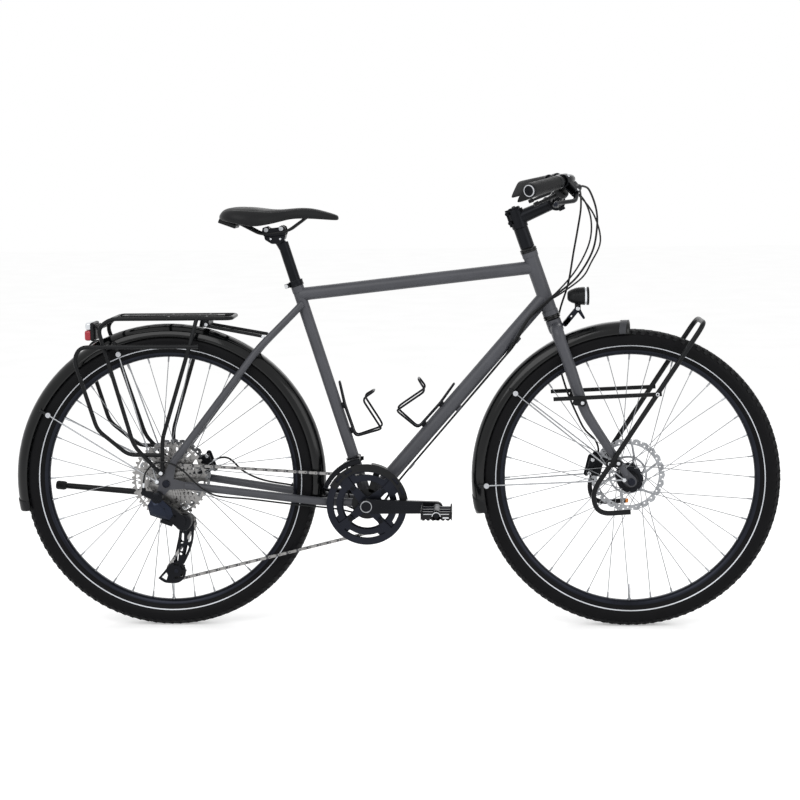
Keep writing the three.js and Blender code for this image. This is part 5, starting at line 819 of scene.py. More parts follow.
def dropouts():
    """Plate dropouts with eyelets, and the hanger for the derailleur on the right."""
    straps = ((SEAT_STAY_FOOT, 16, 7.5), (CHAIN_STAY_FOOT, 15.6, 8), (REAR_EYELET, 14, 6),
              (RACK_EYELET, 13.6, 6), (HANGER, 15.2, 9))
    inner, outer, step = 67.8, 73.8, 0.2
    form = Form()
    for side in (-1, 1):
        low, high = sorted((side * inner, side * outer))
        for i, (spot, wide, narrow) in enumerate(straps if side < 0 else straps[:-1]):
            form.plate([strap(REAR, spot, wide, narrow)], low + i * step, high - i * step)
    form.plate([strap(CHAIN_STAY_FOOT, at(78, 0, 389), 8, 8)], inner - 1.5, inner + 0.5)
    form.keep("dropout_plates", "frame", "powder_coated_steel", edge=1.2)


def headset():
    """The upper and lower cups, each with a groove."""
    form = Form()
    for spot, up in ((HEAD_FOOT, -STEER_UP), (HEAD_TOP, STEER_UP)):
        form.turned([(17.5, 0.2), (20, 0.4), (20.6, 1.4), (20.6, 3.6), (19.6, 4.4), (19.6, 5.4), (20.6, 6.2),
                     (20.6, 8.6), (19, 10.4), (17, 11), (15.2, 11), (15.2, 0.2)], spot, up, 48, True)
    form.keep("headset_cups", "frame", "gloss_polycarbonate", "headset", edge=0.2)


def seat_clamp():
    """A collar round the seat tube with two ears and their bolt."""
    height = 13.7
    low = SEAT_TOP - SEAT_UP * 14
    middle = low + SEAT_UP * height / 2
    back = at(-sin(SEAT_ANGLE), 0, -cos(SEAT_ANGLE))
    bolt = middle + back * 24
    form = Form()
    form.turned([(14.6, 0), (17.4, 0), (17.9, 1), (17.2, 4), (17.2, 9.6), (17.9, height - 1), (17.4, height),
                 (14.6, height)], low, SEAT_UP, 40, True)
    turn = Matrix.Rotation(SEAT_ANGLE - pi / 2, 3, "Y")
    for s in (-1, 1):
        form.slab(middle + back * 22 + Y * s * 4.4, (12, 5.6, 10.5), turn)
    form.rod(bolt - Y * 13, bolt + Y * 12, 2.6)
    form.keep("seat_collar", "frame", "anodised_aluminium", "seat_clamp", edge=0.8)
    head = Form().rod(bolt - Y * 9, bolt - Y * 13.6, 4.6).rod(bolt + Y * 8, bolt + Y * 13, 4)
    head.keep("seat_collar_bolt", "frame", "stainless_steel", edge=0.5)


def bottom_bracket():
    """The two cups with their notched edges."""
    form = Form()
    face, notches = SHELL_HALF + 0.1, 16
    for s in (-1, 1):
        form.turned([(13, face), (20.8, face), (21, 38), (20.6, 41.4), (19, 41.8), (13, 41.8)], CRANK, Y * s,
                    48, True)
        form.blocks(CRANK, 20.4, notches, s * 39.4, (2, 3.6, 3.4))
    form.keep("bracket_cups", "frame", "anodised_aluminium", "bottom_bracket", edge=0.3)


# Mudguards

GUARD_RADIUS = 352
GUARD_RISE = 29
GUARD_HALF = 30


def guard_sweep(hub, first, last, spare, steps, lips=False):
    """An open rolled sheet over the wheel, between two angles."""
    rise, half, steps_across = GUARD_RISE + spare, GUARD_HALF + spare, 16
    turns = [pi * i / steps_across for i in range(steps_across + 1)]
    section = [(GUARD_RADIUS + rise * sin(turn), half * cos(turn)) for turn in turns]
    if lips:
        section = [(GUARD_RADIUS - 1, 29.4), *section, (GUARD_RADIUS - 1, -29.4)]
    start = at(cos(radians(first)), 0, sin(radians(first)))
    return Form().turned(section, hub, -Y, steps, angle=radians(last - first), start=start)


def thicken(piece, wall, offset):
    """Gives a sheet its wall."""
    skin = piece.modifiers.new("Wall", "SOLIDIFY")
    skin.thickness = wall * MM
    skin.offset = offset


def mudguard(end, hub, first, last, body):
    """A rolled sheet over the tyre, turned in at its edges."""
    form = guard_sweep(hub, first, last, 0, 60, lips=True)
    piece = form.keep(f"{end}_guard_sheet", body, "gloss_polycarbonate", f"{end}_mudguard", edge=0, crease=60)
    thicken(piece, 1.8, -1)


def guard_ends():
    """The end pieces of the front mudguard and of the rear one, cut at a slant."""
    for name, hub, first, last, body, look, slant in (
        ("front_guard_nose", FRONT, 90, 92.6, "fork", "grey_nylon", -0.03),
        ("front_guard_flap", FRONT, 186, 191, "fork", "moulded_nylon", -0.035),
        ("rear_guard_tail", REAR, 187, 191, "frame", "moulded_nylon", -0.02),
    ):
        form = guard_sweep(hub, first, last, 0.6, 8)
        for vert in form.mesh.verts:
            lag = Matrix.Rotation(slant * abs(vert.co.y) / GUARD_HALF, 3, "Y")
            vert.co = hub + lag @ (vert.co - hub)
        thicken(form.keep(name, body, look, edge=0, crease=60), 1.6, 0.6)


def guard_stays(end, hub, eyelet, angles, spread, body):
    """Bright wires from the eyelets round the guard, with clips, pale caps and bolts."""
    edge = GUARD_HALF + 1.4
    wires = []
    clips, caps, bolts = Form(), Form(), Form()
    for angle, reach in angles:
        half = [eyelet + Y * spread, polar(hub, reach, angle, 33), polar(hub, GUARD_RADIUS + 6, angle, edge)]
        wires += [rounded(mirrored(half, s), 6) for s in (-1, 1)]
        across = polar(hub, 1, angle) - hub
        for s in (-1, 1):
            low, high = polar(hub, reach, angle, s * 32.6), polar(hub, GUARD_RADIUS + 10, angle, s * edge)
            clips.rod(low, high, 4.6, 3.4, 12)
            clips.slab(high - across * 3, (9, 4, 9), Matrix.Rotation(-radians(angle - 60), 3, "Y"))
            caps.turned([(0, 0), (6.4, 0), (6.4, 3), (5.4, 4.2), (2.8, 4.4), (2.4, 3.4), (0, 3.4)],
                        polar(hub, reach, angle, s * 34), Y * s, 24)
    pipe(f"{end}_stay_wires", body, "ground_steel", wires, 1.8, f"{end}_mudguard_stays", sides=3)
    clips.keep(f"{end}_stay_clips", body, "moulded_nylon", edge=0.8)
    caps.keep(f"{end}_stay_caps", body, "pale_nylon", edge=0.3)
    for s in (-1, 1):
        bolts.rod(eyelet + Y * s * (spread - 2.4), eyelet + Y * s * (spread + 2.4), 5)
        bolts.bolt(eyelet + Y * s * (spread + 2.2), Y * s, 4.4, 3)
    bolts.keep(f"{end}_stay_bolts", body, "stainless_steel", edge=0.4)


# Rear rack


def rear_rack():
    """Bent tubes: the top loop with its rear legs, the struts and the pannier rails, with its plates."""
    foot, deck_half, deck, rail_half, rail_z = 79.1, 52, 758, 72, 692
    tail = at(-162, 54, 735)
    bridge = 98
    half = [at(-14, foot, 388), at(-76, 78, 454), tail, at(-133, deck_half, deck), at(161, deck_half, deck)]
    paths = [rounded(half + mirrored(half)[::-1], 18)]
    rail = [at(84, rail_half, rail_z), at(-203, rail_half, rail_z), at(-218, rail_half, 662),
            at(-165, rail_half, 492), at(-91, rail_half, 431), at(-8, 78, 431)]
    strut = [at(78, deck_half, deck), at(62, rail_half, rail_z), at(-6, 78, 471), at(-8, foot, 388)]
    for s in (-1, 1):
        paths += [rounded(mirrored(rail, s), 18), rounded(mirrored(strut, s), 14)]
    pipe("rack_tubes", "frame", "powder_coated_tube", paths, RACK_TUBE, "rear_rack", sides=5)
    cross = [[at(x, -deck_half, deck), at(x, deck_half, deck)] for x in (-128, 5, bridge)]
    cross.append([mirrored([tail])[0], tail])
    cross += [[at(bridge, s * 30, 738), at(238, s * 35.4, 712)] for s in (-1, 1)]
    pipe("rack_cross_bars", "frame", "powder_coated_tube", cross, 4, sides=4)
    form = Form()
    slots = [arc((x + 30, 0), 8, 90, -90, 8) + arc((x, 0), 8, 270, 90, 8) for x in range(-91, 86, 44)]
    outline = arc((130, 8), 9, 90, 0, 5) + arc((130, -8), 9, 0, -90, 5) + arc((-102, -8), 9, 270, 180, 5)
    outline += arc((-102, 8), 9, 180, 90, 5)
    form.panel([outline, *slots], at(0, 0, deck + 5), X, Y, -3)
    form.slab(at(bridge, 0, 748), (14, 74, 24))
    form.slab(at(-167, 0, tail.z), (16, 34, 3))
    form.slab(at(-173.2, 0, 725), (3, 61, 34))
    bolts = Form()
    for s in (-1, 1):
        form.rod(RACK_EYELET + Y * s * 74.2, RACK_EYELET + Y * s * 84, 8)
        bolts.bolt(RACK_EYELET + Y * s * 84, Y * s, 5, 3.4)
        bolts.bolt(at(bridge, s * 37, 742), Y * s, 4.5, 3)
        bolts.bolt(at(236, s * 39, 712.3), Y * s, 4.2, 3)
    form.keep("rack_plates", "frame", "powder_coated_tube", edge=0.8)
    bolts.keep("rack_bolts", "frame", "stainless_steel", edge=0.4)


def rear_light():
    """A black housing with a red lens, and a pale reflector over it."""
    for name, look, node, x, z, size, edge in (
        ("lamp_housing", "moulded_nylon", "rear_light", -181.5, 725, (11, 63, 45), 4),
        ("lamp_lens", "red_lens", None, -192, 716, (17, 62, 25), 5),
        ("lamp_reflector", "pale_reflector", None, -191, 738, (15, 62, 18), 5),
    ):
        Form().slab(at(x, 0, z), size).keep(name, "frame", look, node, edge=edge)


# Bottle cages


def bottle_cage(name, foot, direction, outward, surface):
    """A bent wire loop on two bosses that are bolted to the tube."""
    def spot(reach, side, rise):
        return foot + direction * reach + outward * (surface + rise) + Y * side

    half = [spot(122, 0.1, 11), spot(122, 8, 11), spot(64, 12, 5.6), spot(-16, 12, 7), spot(-16, 25, 74),
            spot(-8, 37, 74), spot(68, 37, 54), spot(76, 23, 84), spot(76, 0.1, 84)]
    whole = rounded(half + mirrored(half)[::-1], 12)
    pipe(f"{name}_wire", "frame", "anodised_aluminium", [whole], 2.6, name, sides=4, closed=True)
    form = Form()
    for reach in (0, 64):
        form.rod(spot(reach, 0, 0.4), spot(reach, 0, 5), 8)
        form.bolt(spot(reach, 0, 5), outward, 4.5, 3.4)
        form.rod(spot(reach, -12, 5.6), spot(reach, 12, 5.6), 2.4)
    form.keep(f"{name}_bosses", "frame", "anodised_aluminium", edge=0.5)


# Drivetrain

SMALL_TEETH = 34
LARGE_TEETH = 46
PULLEY_TEETH = 11
GUIDE = at(42, 0, 258)
TENSION = at(16, 0, 142)
KNUCKLE = at(39, 0, 267)
BOLT_CIRCLE = 52
BOLT_ANGLES = [40 + 90 * i for i in range(4)]


def chain_wheels():
    """Centre, pitch radius and turn of each wheel that the chain runs over, in order."""
    wheels = ((REAR, DRIVEN_TEETH, 1), (CRANK, SMALL_TEETH, 1), (TENSION, PULLEY_TEETH, 1),
              (GUIDE, PULLEY_TEETH, -1))
    return [(centre, pitch_radius(teeth), turn) for centre, teeth, turn in wheels]


def tangent(one, other):
    """Where the chain leaves one wheel and meets the next."""
    (a, ra, ta), (b, rb, tb) = one, other
    reach = b - a
    angle = atan2(reach.z, reach.x) + acos((ta * ra - tb * rb) / reach.length)
    normal = at(cos(angle), 0, sin(angle))
    return a + normal * ta * ra, b + normal * tb * rb


def chain_path():
    """The chain's closed path as short steps."""
    spots = chain_wheels()
    runs = [tangent(spots[i], spots[(i + 1) % 4]) for i in range(4)]
    path = []
    for i, (centre, radius, turn) in enumerate(spots):
        start, end = runs[i - 1][1] - centre, runs[i][0] - centre
        first = atan2(start.z, start.x)
        swing = atan2(end.z, end.x) - first
        while turn * swing > 0:
            swing -= turn * tau
        steps = ceil(abs(swing) / 0.05)
        path += [centre + radius * at(cos(first + swing * k / steps), 0, sin(first + swing * k / steps))
                 for k in range(steps + 1)]
    return path + path[:1]


def walk(path, count):
    """That many places at equal distances along a closed path."""
    lengths = [(b - a).length for a, b in zip(path, path[1:])]
    step = sum(lengths) / count
    spots, index, done = [], 0, 0.0
    for i in range(count):
        while done + lengths[index] < i * step:
            done += lengths[index]
            index += 1
        spots.append(path[index].lerp(path[index + 1], (i * step - done) / lengths[index]))
    return spots


def chain():
    """Inner and outer links in turn, with their rollers."""
    path = chain_path()
    total = sum((b - a).length for a, b in zip(path, path[1:]))
    spots = walk(path, 2 * round(total / CHAIN_PITCH / 2))
    forms = [Form(), Form()]
    for i, (a, b) in enumerate(zip(spots, spots[1:] + spots[:1])):
        links = forms[i % 2]
        waist = (a + b) / 2
        across = (b - a).normalized()
        up = across.cross(Y)
        outline = []
        for centre, angles in ((b, (60, 20, -20, -60)), (a, (240, 200, 160, 120))):
            middle = (centre - waist).dot(across)
            outline += [(middle + 4 * cos(radians(t)), 4 * sin(radians(t))) for t in angles]
        outline.insert(4, (0, -3.1))
        outline.append((0, 3.1))
        inner, outer = (1.3, 2.1) if i % 2 else (2.15, 2.95)
        for s in (-1, 1):
            low, high = sorted((s * inner, s * outer))
            links.panel([outline], waist + Y * (low - CHAIN_PLANE), across, up, low - high)
        links.rod(a - Y * (CHAIN_PLANE + 3.1), a - Y * (CHAIN_PLANE - 3.1), 1.9, None, 8)
    forms[0].keep("chain_outer_links", "frame", "plated_steel", "chain", edge=0, crease=40)
    forms[1].keep("chain_inner_links", "frame", "oiled_steel_and_gap_shade", edge=0, crease=40)


def chainrings():
    """Two toothed rings and the guard ring, bolted to the spider."""
    spot = flat(CRANK)
    small, large = pitch_radius(SMALL_TEETH), pitch_radius(LARGE_TEETH)
    rings, guard, bolts = Form(), Form(), Form()
    rings.plate([gear(spot, SMALL_TEETH, small + 3, small - 3.4), circle(spot, 57, 48)], -44.3, -42.7)
    windows = [arc(spot, 80, a + 14, a + 72, 8) + arc(spot, 73.6, a + 70, a + 16, 8) for a in BOLT_ANGLES]
    toothed = gear(spot, LARGE_TEETH, large + 3, large - 3.4)
    rings.plate([toothed, circle(spot, 60, 60), *windows], -51.3, -49.7)
    guard.turned([(96.4, -57), (97, -56.2), (96.4, -55.2), (81, -55.2), (80, -56), (81, -57), (89, -58)],
                 CRANK, Y, 96, True)
    tabs = ((rings, 64, 8, 11, -44.1, -42.9), (rings, 80, 8, 13, -51.1, -49.9),
            (guard, 84, 7, 10, -57.4, -55.4))
    for a in BOLT_ANGLES:
        hole = polar(CRANK, BOLT_CIRCLE, a)
        for form, reach, narrow, wide, low, high in tabs:
            form.plate([strap(hole, polar(CRANK, reach, a), narrow, wide)], low, high)
        bolts.bolt(hole - Y * 57.2, -Y, 5.4, 1.8)
        bolts.rod(hole - Y * 56, hole - Y * 42.7, 4.9)
    rings.keep("toothed_rings", "crank", "forged_aluminium", "chainrings", edge=0)
    guard.keep("guard_ring", "crank", "forged_aluminium", edge=0.4)
    bolts.keep("ring_bolts", "crank", "anodised_aluminium", edge=0.3)


def crank_arm(side, ahead, name, node):
    """A tapered arm that leans outwards, its hub and the pedal's spindle."""
    half, offset, lean_out, spindle = 6.5, 72.5, 12, 186
    tip = CRANK + X * ahead * CRANK_LENGTH
    arm = Form()
    arm.plate([strap(CRANK, tip, 17, 14, 16)], -half, half)
    lean = Matrix.Identity(4)
    lean[1][0] = side * ahead * lean_out / CRANK_LENGTH
    middle = Matrix.Translation((CRANK.x, side * offset, 0)) @ lean @ Matrix.Translation((-CRANK.x, 0, 0))
    arm.moved(middle)
    arm.keep(f"{name}_arm", "crank", "anodised_aluminium", node, edge=3.2, crease=40)
    groove = Form()
    groove.plate([strap(CRANK + X * ahead * 42, CRANK + X * ahead * 140, 5.5, 4.2, 8)], -0.5, 0.5)
    groove.moved(Matrix.Translation((0, side * (half - 0.1), 0))).moved(middle)
    groove.keep(f"{name}_channel", "crank", "anodised_aluminium", edge=0.3)
    inner = 47.6 if side < 0 else 58
    hub = Form()
    hub.turned([(0, inner), (15, inner), (17, inner + 2), (17, 77), (16, 78.6), (12, 79), (11.6, 74),
                (0, 74)], CRANK, Y * side, 40)
    hub.turned([(6, 72), (6, spindle), (5, spindle + 1), (0, spindle + 1), (0, 72)], tip, Y * side, 24)
    hub.keep(f"{name}_hub", "crank", "anodised_aluminium", edge=0.4)
    rim_side = [(11.6, 77), (14.8, 77), (15, 79), (13.8, 80.6), (12.4, 80.6), (11.6, 79.4)]
    cap = Form().turned(rim_side, CRANK, Y * side, 40, True)
    cap.turned([(0, 75.4), (9, 75.4), (9.8, 74.6), (9.8, 73), (0, 73)], CRANK, Y * side, 32)
    cap.keep(f"{name}_cap", "crank", "ground_steel", edge=0.2)


def spider():
    """The spindle and the four arms that carry the rings."""
    form = Form()
    for a in BOLT_ANGLES:
        form.plate([strap(CRANK, polar(CRANK, BOLT_CIRCLE, a), 13.6, 8)], -48.7, -45.3)
    form.turned([(0, -47), (12, -47), (12, 74), (0, 74)], CRANK, Y, 32)
    form.keep("spider", "crank", "forged_aluminium", edge=0.8)


def serrated(length, low, high, teeth, depth):
    """The outline of a plate whose lower edge is cut into teeth."""
    step = length / teeth
    outline = [(-length / 2, high), (-length / 2, low)]
    for i in range(teeth):
        start = -length / 2 + i * step
        tooth = ((0.2, low - depth), (0.6, low - depth), (0.8, low))
        outline += [(start + step * share, height) for share, height in tooth]
    return outline + [(length / 2, low), (length / 2, high)]


def pedal(side, ahead, name):
    """A platform: dark alloy bars on a turned barrel, black toothed plates, a bright arch over the barrel's
    end, and bright strips and a block that are painted highlights.
    """
    spot = CRANK + X * ahead * CRANK_LENGTH
    inner, outer = 94 * side, 186 * side
    low, high = sorted((inner, outer))
    middle, width, half_length = (low + high) / 2, 92, 34.5
    body = Form()
    body.turned([(6.6, low), (11, low), (11, low + 12), (9, low + 18), (9, high - 18), (11, high - 12),
                 (11, high), (6.6, high)], spot, Y, 32, True)
    for y in (low + 16, middle, high - 16):
        body.plate([strap(spot - X * 33 + Z * 4, spot + X * 33 + Z * 4, 2.6, 2.5)], y - 4, y + 4)
    body.keep(f"{name}_barrel", name, "forged_aluminium", name, edge=0.8)
    cage = Form()
    for y in (low, high - 3):
        points = [(spot.x + u, spot.z + v) for u, v in serrated(2 * half_length, -8, 5, 6, 3.6)]
        cage.plate([points + arc((spot.x, spot.z + 3), 10, 12, 168, 8)], y, y + 3)
    for end in (-1, 1):
        across = [(y + middle, z) for y, z in serrated(width, -8, 9, 7, 3.6)]
        cage.panel([across], at(spot.x + end * half_length, 0, spot.z), Y, Z, end * 2)
        for y in (low + 4, low + 30, high - 30, high - 4):
            pin = at(spot.x + end * 34, y, spot.z + 6)
            cage.rod(pin, pin + Z * 6, 2, 1.2, 8)
    cage.keep(f"{name}_cage", name, "moulded_nylon", edge=0.3)
    face = spot + Y * outer
    arch_and_painted_highlights = Form()
    arch_and_painted_highlights.turned([(8.6, 2.6), (8.6, 4), (10.4, 4), (10.8, 3), (10.8, 2.6)], face - Y * side * 3.4 - Z * 2,
                Y * side, 24, True, pi, -X * side)
    # Bright strips along the top edge: painted highlights where the plate's edge catches the light.
    for s in (-1, 1):
        arch_and_painted_highlights.slab(face + at(s * 20, side * 0.2, 3.4), (20, 1, 1.5))
    # A bright block low on the face: a painted highlight.
    arch_and_painted_highlights.slab(face + at(22, side * 0.3, -5), (14, 0.8, 3.6))
    arch_and_painted_highlights.keep(f"{name}_trim", name, "stainless_steel", edge=0.2)


def front_derailleur():
    """A clamp, an arm and two curved plates over the large ring."""
    form = Form()
    spot = flat(CRANK)
    outside, inside, wall = -55.7, -36.5, 1.5
    for low, high in ((outside, outside + wall), (inside - wall, inside)):
        form.plate([arc(spot, 113, 98, 158, 20) + arc(spot, 101.5, 158, 98, 20)], low, high)
    form.plate([arc(spot, 114.5, 98, 118, 8) + arc(spot, 111.5, 118, 98, 8)], outside, inside)
    tail = polar(CRANK, 107, 155)
    form.rod(tail + Y * outside, tail + Y * inside, 3)
    form.keep("changer_cage", "frame", "anodised_aluminium", "front_derailleur", edge=0.4)
    clamp = CRANK + SEAT_UP * 107
    arm = Form()
    arm.ring(clamp, SEAT_UP, 18.5, 14.6, -8, 8, 36)
    arm.plate([strap(clamp, polar(CRANK, 112, 101), 7, 6)], -38, -15.4)
    arm.plate([strap(clamp + at(-4, 0, -4), polar(CRANK, 108, 120), 8, 5)], -36, -24)
    arm.slab(clamp + at(19, 0, 3), (8, 7, 9))
    arm.keep("changer_arm", "frame", "anodised_aluminium", edge=1)


def chain_guard():
    """An arched plate over the rings with slots, its holder and its collar."""
    spot = flat(CRANK)
    rim_radius, inside, wall = 100.5, -37.2, 1.6
    slots = [arc(spot, 94.8, a, a + 12, 6) + arc(spot, 88.8, a + 12, a, 6) for a in (16, 34, 112, 130)]
    form = Form()
    form.plate([arc(spot, rim_radius, 8, 152, 40) + arc(spot, 83, 152, 8, 40), *slots], -60 - wall, -60)
    form.plate([arc(spot, rim_radius, 61, 83, 8) + arc(spot, rim_radius - 2.4, 83, 61, 8)], -60, inside)
    form.plate([strap(polar(CRANK, 36, 72), polar(CRANK, 92.5, 72), 8, 8)], inside - wall, inside)
    form.ring(CRANK, Y, 37, 21.3, inside - wall, inside, 40)
    form.keep("guard_arch", "frame", "moulded_nylon", "chain_guard", edge=0.4)


def derailleur():
    """Knuckles, a two-part link with its cover, and the cable's adjuster."""
    form = Form()
    form.turned([(0, 98), (10, 98), (13.6, 96), (14, 93), (14, 76), (13, 74.1), (0, 74.1)], HANGER, -Y, 36)
    form.turned([(0, 81.5), (15, 81.5), (19, 80), (21, 76), (21, 52), (19.6, 50.2), (0, 50.2)], KNUCKLE, -Y,
                40)
    form.plate([strap(HANGER - Z * 12, KNUCKLE + at(-7, 0, 5), 13, 16)], -88, -79.6)
    form.plate([strap(HANGER, HANGER + at(-34, 0, 10), 11, 6)], -86, -77.1)
    form.rod(at(-12, -84, 275), at(16, -84, 264), 7.4, 6.4)
    form.keep("derailleur_links", "frame", "anodised_aluminium", "derailleur_body", edge=2.4)
    low = [(-44, 311), (-35, 326), (-14, 331), (13, 304), (18, 286), (8, 275), (-14, 279), (-38, 287)]
    high = [(-30, 308), (-27, 312), (-17, 315), (-2, 299), (3, 290), (0, 286), (-16, 289), (-28, 294)]
    skin = Form().loft([[at(x, y, z) for x, z in row] for row, y in ((low, -87), (low, -90), (high, -97.6))])
    skin.keep("derailleur_cover", "frame", "blued_aluminium", edge=0.8, crease=12)
    bolts = Form()
    bolts.bolt(HANGER - Y * 98, -Y, 7, 2)
    bolts.bolt(KNUCKLE - Y * 81.5, -Y, 8, 1.8)
    adjuster = at(-54, -79.4, 336.4)
    bolts.rod(adjuster, adjuster + Z * 15.2, 5)
    for x, z in ((-4, 303), (20, 283)):
        bolts.bolt(at(x, -95.4, z), -Y, 3.2, 1.2)
    bolts.keep("derailleur_bolts", "frame", "anodised_aluminium", edge=0.4)


def outline(places, steps):
    """A smooth side view through x and z places."""
    return [flat(spot) for spot in smooth([at(x, 0, z) for x, z in places], steps)]


def pulley_cage():
    """An outer plate and leaf, an inner plate, and the pulleys' bolts."""
    outer, outer_face, inner, inner_face = -49.7, -47.7, -39.3, -37.3
    along = (TENSION - GUIDE).normalized()
    edge = outline(((56, 270), (61, 250), (58.6, 218), (49, 187), (36, 160)), 5)
    back = outline(((20, 164), (23, 190), (22.6, 222), (27, 252), (30, 270)), 5)
    windows = [strap(at(a, 0, b), at(c, 0, d), wide, narrow, 6) for a, b, c, d, wide, narrow in (
        (50, 236, 48, 218, 5, 5), (43, 201, 37, 184, 4.6, 3.4), (32, 232, 31, 214, 4.2, 4.6),
        (29.6, 198, 28, 184, 3.6, 3))]
    cage = Form()
    cage.plate([edge + back, *windows], outer, outer_face)
    straight = []
    for share in (0.3, 0.52, 0.74):
        spot = GUIDE.lerp(TENSION, share)
        straight.append(strap(spot - along * 7, spot + along * 5, 6, 4.6, 6))
    cage.plate([strap(GUIDE, TENSION, 13, 13), *straight], inner, inner_face)
    leaf = ((-29, 124), (-14, 114), (2, 111.6), (20, 113), (33, 122), (39, 136), (38, 150), (30, 161),
            (16, 165), (0, 158), (-14, 141))
    slots = [arc(flat(TENSION), 19, a, a + 46, 6) + arc(flat(TENSION), 13.6, a + 42, a + 4, 5)
             for a in (-108, -50, 8, 66)]
    slots.append([(-20, 126), (-9, 119), (-5, 132), (-8, 139)])
    cage.plate([outline(leaf, 4), *slots], outer - 0.3, outer_face + 0.1)
    cage.keep("pulley_cage", "derailleur_cage", "anodised_aluminium", "derailleur_cage", edge=0.5)
    pins = Form()
    for spot in (GUIDE, TENSION):
        pins.rod(spot + Y * inner_face, spot + Y * outer, 2.5)
        pins.bolt(spot + Y * outer, -Y, 5, 1.6)
    pins.keep("pulley_bolts", "derailleur_cage", "forged_aluminium", edge=0.3)


def pulleys():
    """The two toothed pulleys, pierced by five holes."""
    pitch = pitch_radius(PULLEY_TEETH)
    for name, spot in (("guide_pulley", GUIDE), ("tension_pulley", TENSION)):
        holes = [circle(flat(polar(spot, 11, k * 72)), 3.4, 10) for k in range(5)]
        outline = gear(flat(spot), PULLEY_TEETH, pitch + 1.5, pitch - 3.6)
        wheel = Form().plate([outline, circle(flat(spot), 3.2, 16), *holes], -44.5, -42.5)
        wheel.keep(f"{name}_wheel", name, "moulded_nylon", name, edge=0.2)


# Brakes, hoses and cables


def caliper(name, hub, angle, plane, body):
    """A two-piston body that straddles the rotor, with its fins, bolts and seat."""
    middle = polar(hub, ROTOR_RADIUS - 7, angle, plane)
    place = Matrix.Translation(middle) @ Matrix.Rotation(-radians(angle), 4, "Y")
    half = 8
    form = Form()
    form.slab(at(half, 0.5, 0), (18, 27, 44))
    for s in (-1, 1):
        form.slab(at(-6, s * half + (0.4 if s > 0 else -0.2), 0), (22, 10, 40))
        form.rod(at(-3, s * half, 0), at(-3, s * 13.4, 0), 12.4)
    form.keep(f"{name}_body", body, "anodised_aluminium", name, edge=2, place=place)
    fins = Form()
    for k in range(5):
        for s in (-1, 1):
            fins.slab(at(-15.4, s * half, -10 + 5 * k), (3, 8, 1.6))
    for z in (-17, 17):
        fins.bolt(at(10, 13.8, z), Y, 4.6, 3)
        fins.bolt(at(10, -13, z), -Y, 4.6, 1.6)
    fins.keep(f"{name}_details", body, "stainless_steel", edge=0.3, place=place)
    seat = Form().plate([strap(at(15, 0, -21), at(15, 0, 21), 6.6, 6.6)], 3, 9)
    seat.keep(f"{name}_adapter", body, "anodised_aluminium", edge=1, place=place)


REAR_BRAKE = (
    (986.2, -173.9, 1064.7), (996, -159, 1066.5), (1012, -132, 1056), (1030, -92, 1012), (1034, -58, 966),
    (1024, -34, 908), (988, -24, 848), (938, -24, 806), (905, -25, 776), (872, -25, 746), (840, -11, 687),
    (802, 7, 639), (695, 7, 514), (565, 7, 362), (523, 10, 305), (500, 14, 279), (478, 22, 273),
    (444, 38, 278), (410, 49, 292), (342, 62, 316), (300, 64, 330), (220, 67, 344), (170, 67, 366),
    (138, 58, 398), (117, 50, 404), (96, 50, 396.5),
)
REAR_SHIFT = (
    (954.8, -157.2, 1058.4), (964, -143, 1060), (978, -124, 1056), (1004, -90, 1030), (1020, -66, 984),
    (1016, -52, 930), (986, -44, 868), (944, -40, 818), (908, -38, 786), (872, -37, 750), (837, -25, 692),
    (802, -7, 640), (695, -7, 515), (565, -7, 363), (523, -10, 305), (500, -14, 279), (478, -22, 273),
    (444, -30, 283), (400, -36, 293), (300, -48, 306), (200, -57, 320), (128, -69, 329), (98, -80, 344),
    (72, -87, 366), (42, -93, 398), (8, -95, 416), (-24, -94, 413), (-46, -88, 392), (-53, -81, 370),
    (-54, -79.4, 353),
)
FRONT_SHIFT = (
    (954.8, 157.2, 1058.4), (964, 143, 1060), (978, 122, 1057), (1004, 84, 1038), (1034, 36, 994),
    (1046, -6, 934), (1022, -22, 882), (1000, -36, 848), (952, -34, 812), (910, -31, 786), (872, -31, 752),
    (837, -19, 691), (802, 0, 639), (695, 0, 515), (565, 0, 363), (523, 0, 305), (502, -1, 280),
    (480, -3, 273), (452, -6, 284), (436, -8, 320), (428, -12, 365), (434, -20, 390), (440, -24, 404),
)
FRONT_BRAKE = (
    (986.2, 173.9, 1064.7), (996, 159, 1066.5), (1006, 136, 1055), (1006, 96, 1012), (996, 62, 960),
    (985, 46, 905), (972, 46, 830), (952, 60, 762), (943, 66, 700), (948, 60, 640), (969, 56, 565),
    (994, 56, 505), (1012, 55, 470), (1036, 49, 446), (1044, 42, 424), (1040.4, 42, 404),
)


def hoses():
    """The brake hoses and shift cables along their paths, and the bright ends of those on the frame."""
    brake, shift = 2.5, 2.1
    for name, path, radius, node in (("rear_brake_line", REAR_BRAKE, brake, "rear_brake_hose"),
                                     ("rear_shift_line", REAR_SHIFT, shift, "rear_shift_cable"),
                                     ("front_shift_line", FRONT_SHIFT, shift, "front_shift_cable")):
        hose(name, "moulded_nylon", [at(*spot) for spot in path], radius, node)
    path = smooth([at(*spot) for spot in FRONT_BRAKE])
    pipe("front_brake_line", "fork", "moulded_nylon", [path], brake, "front_brake_hose", sides=2)
    ends = Form()
    for path in (REAR_BRAKE, REAR_SHIFT, FRONT_SHIFT):
        tip, before = at(*path[-1]), at(*path[-2])
        ends.rod(tip, tip + (before - tip).normalized() * 11, 3.2, None, 14)
    ends.keep("cable_ends", "frame", "stainless_steel", edge=0.3)


# Kickstand

HINGE = at(-0.24, 1, 0.26).normalized()
STAND_BOSS = at(8, 0, 297)


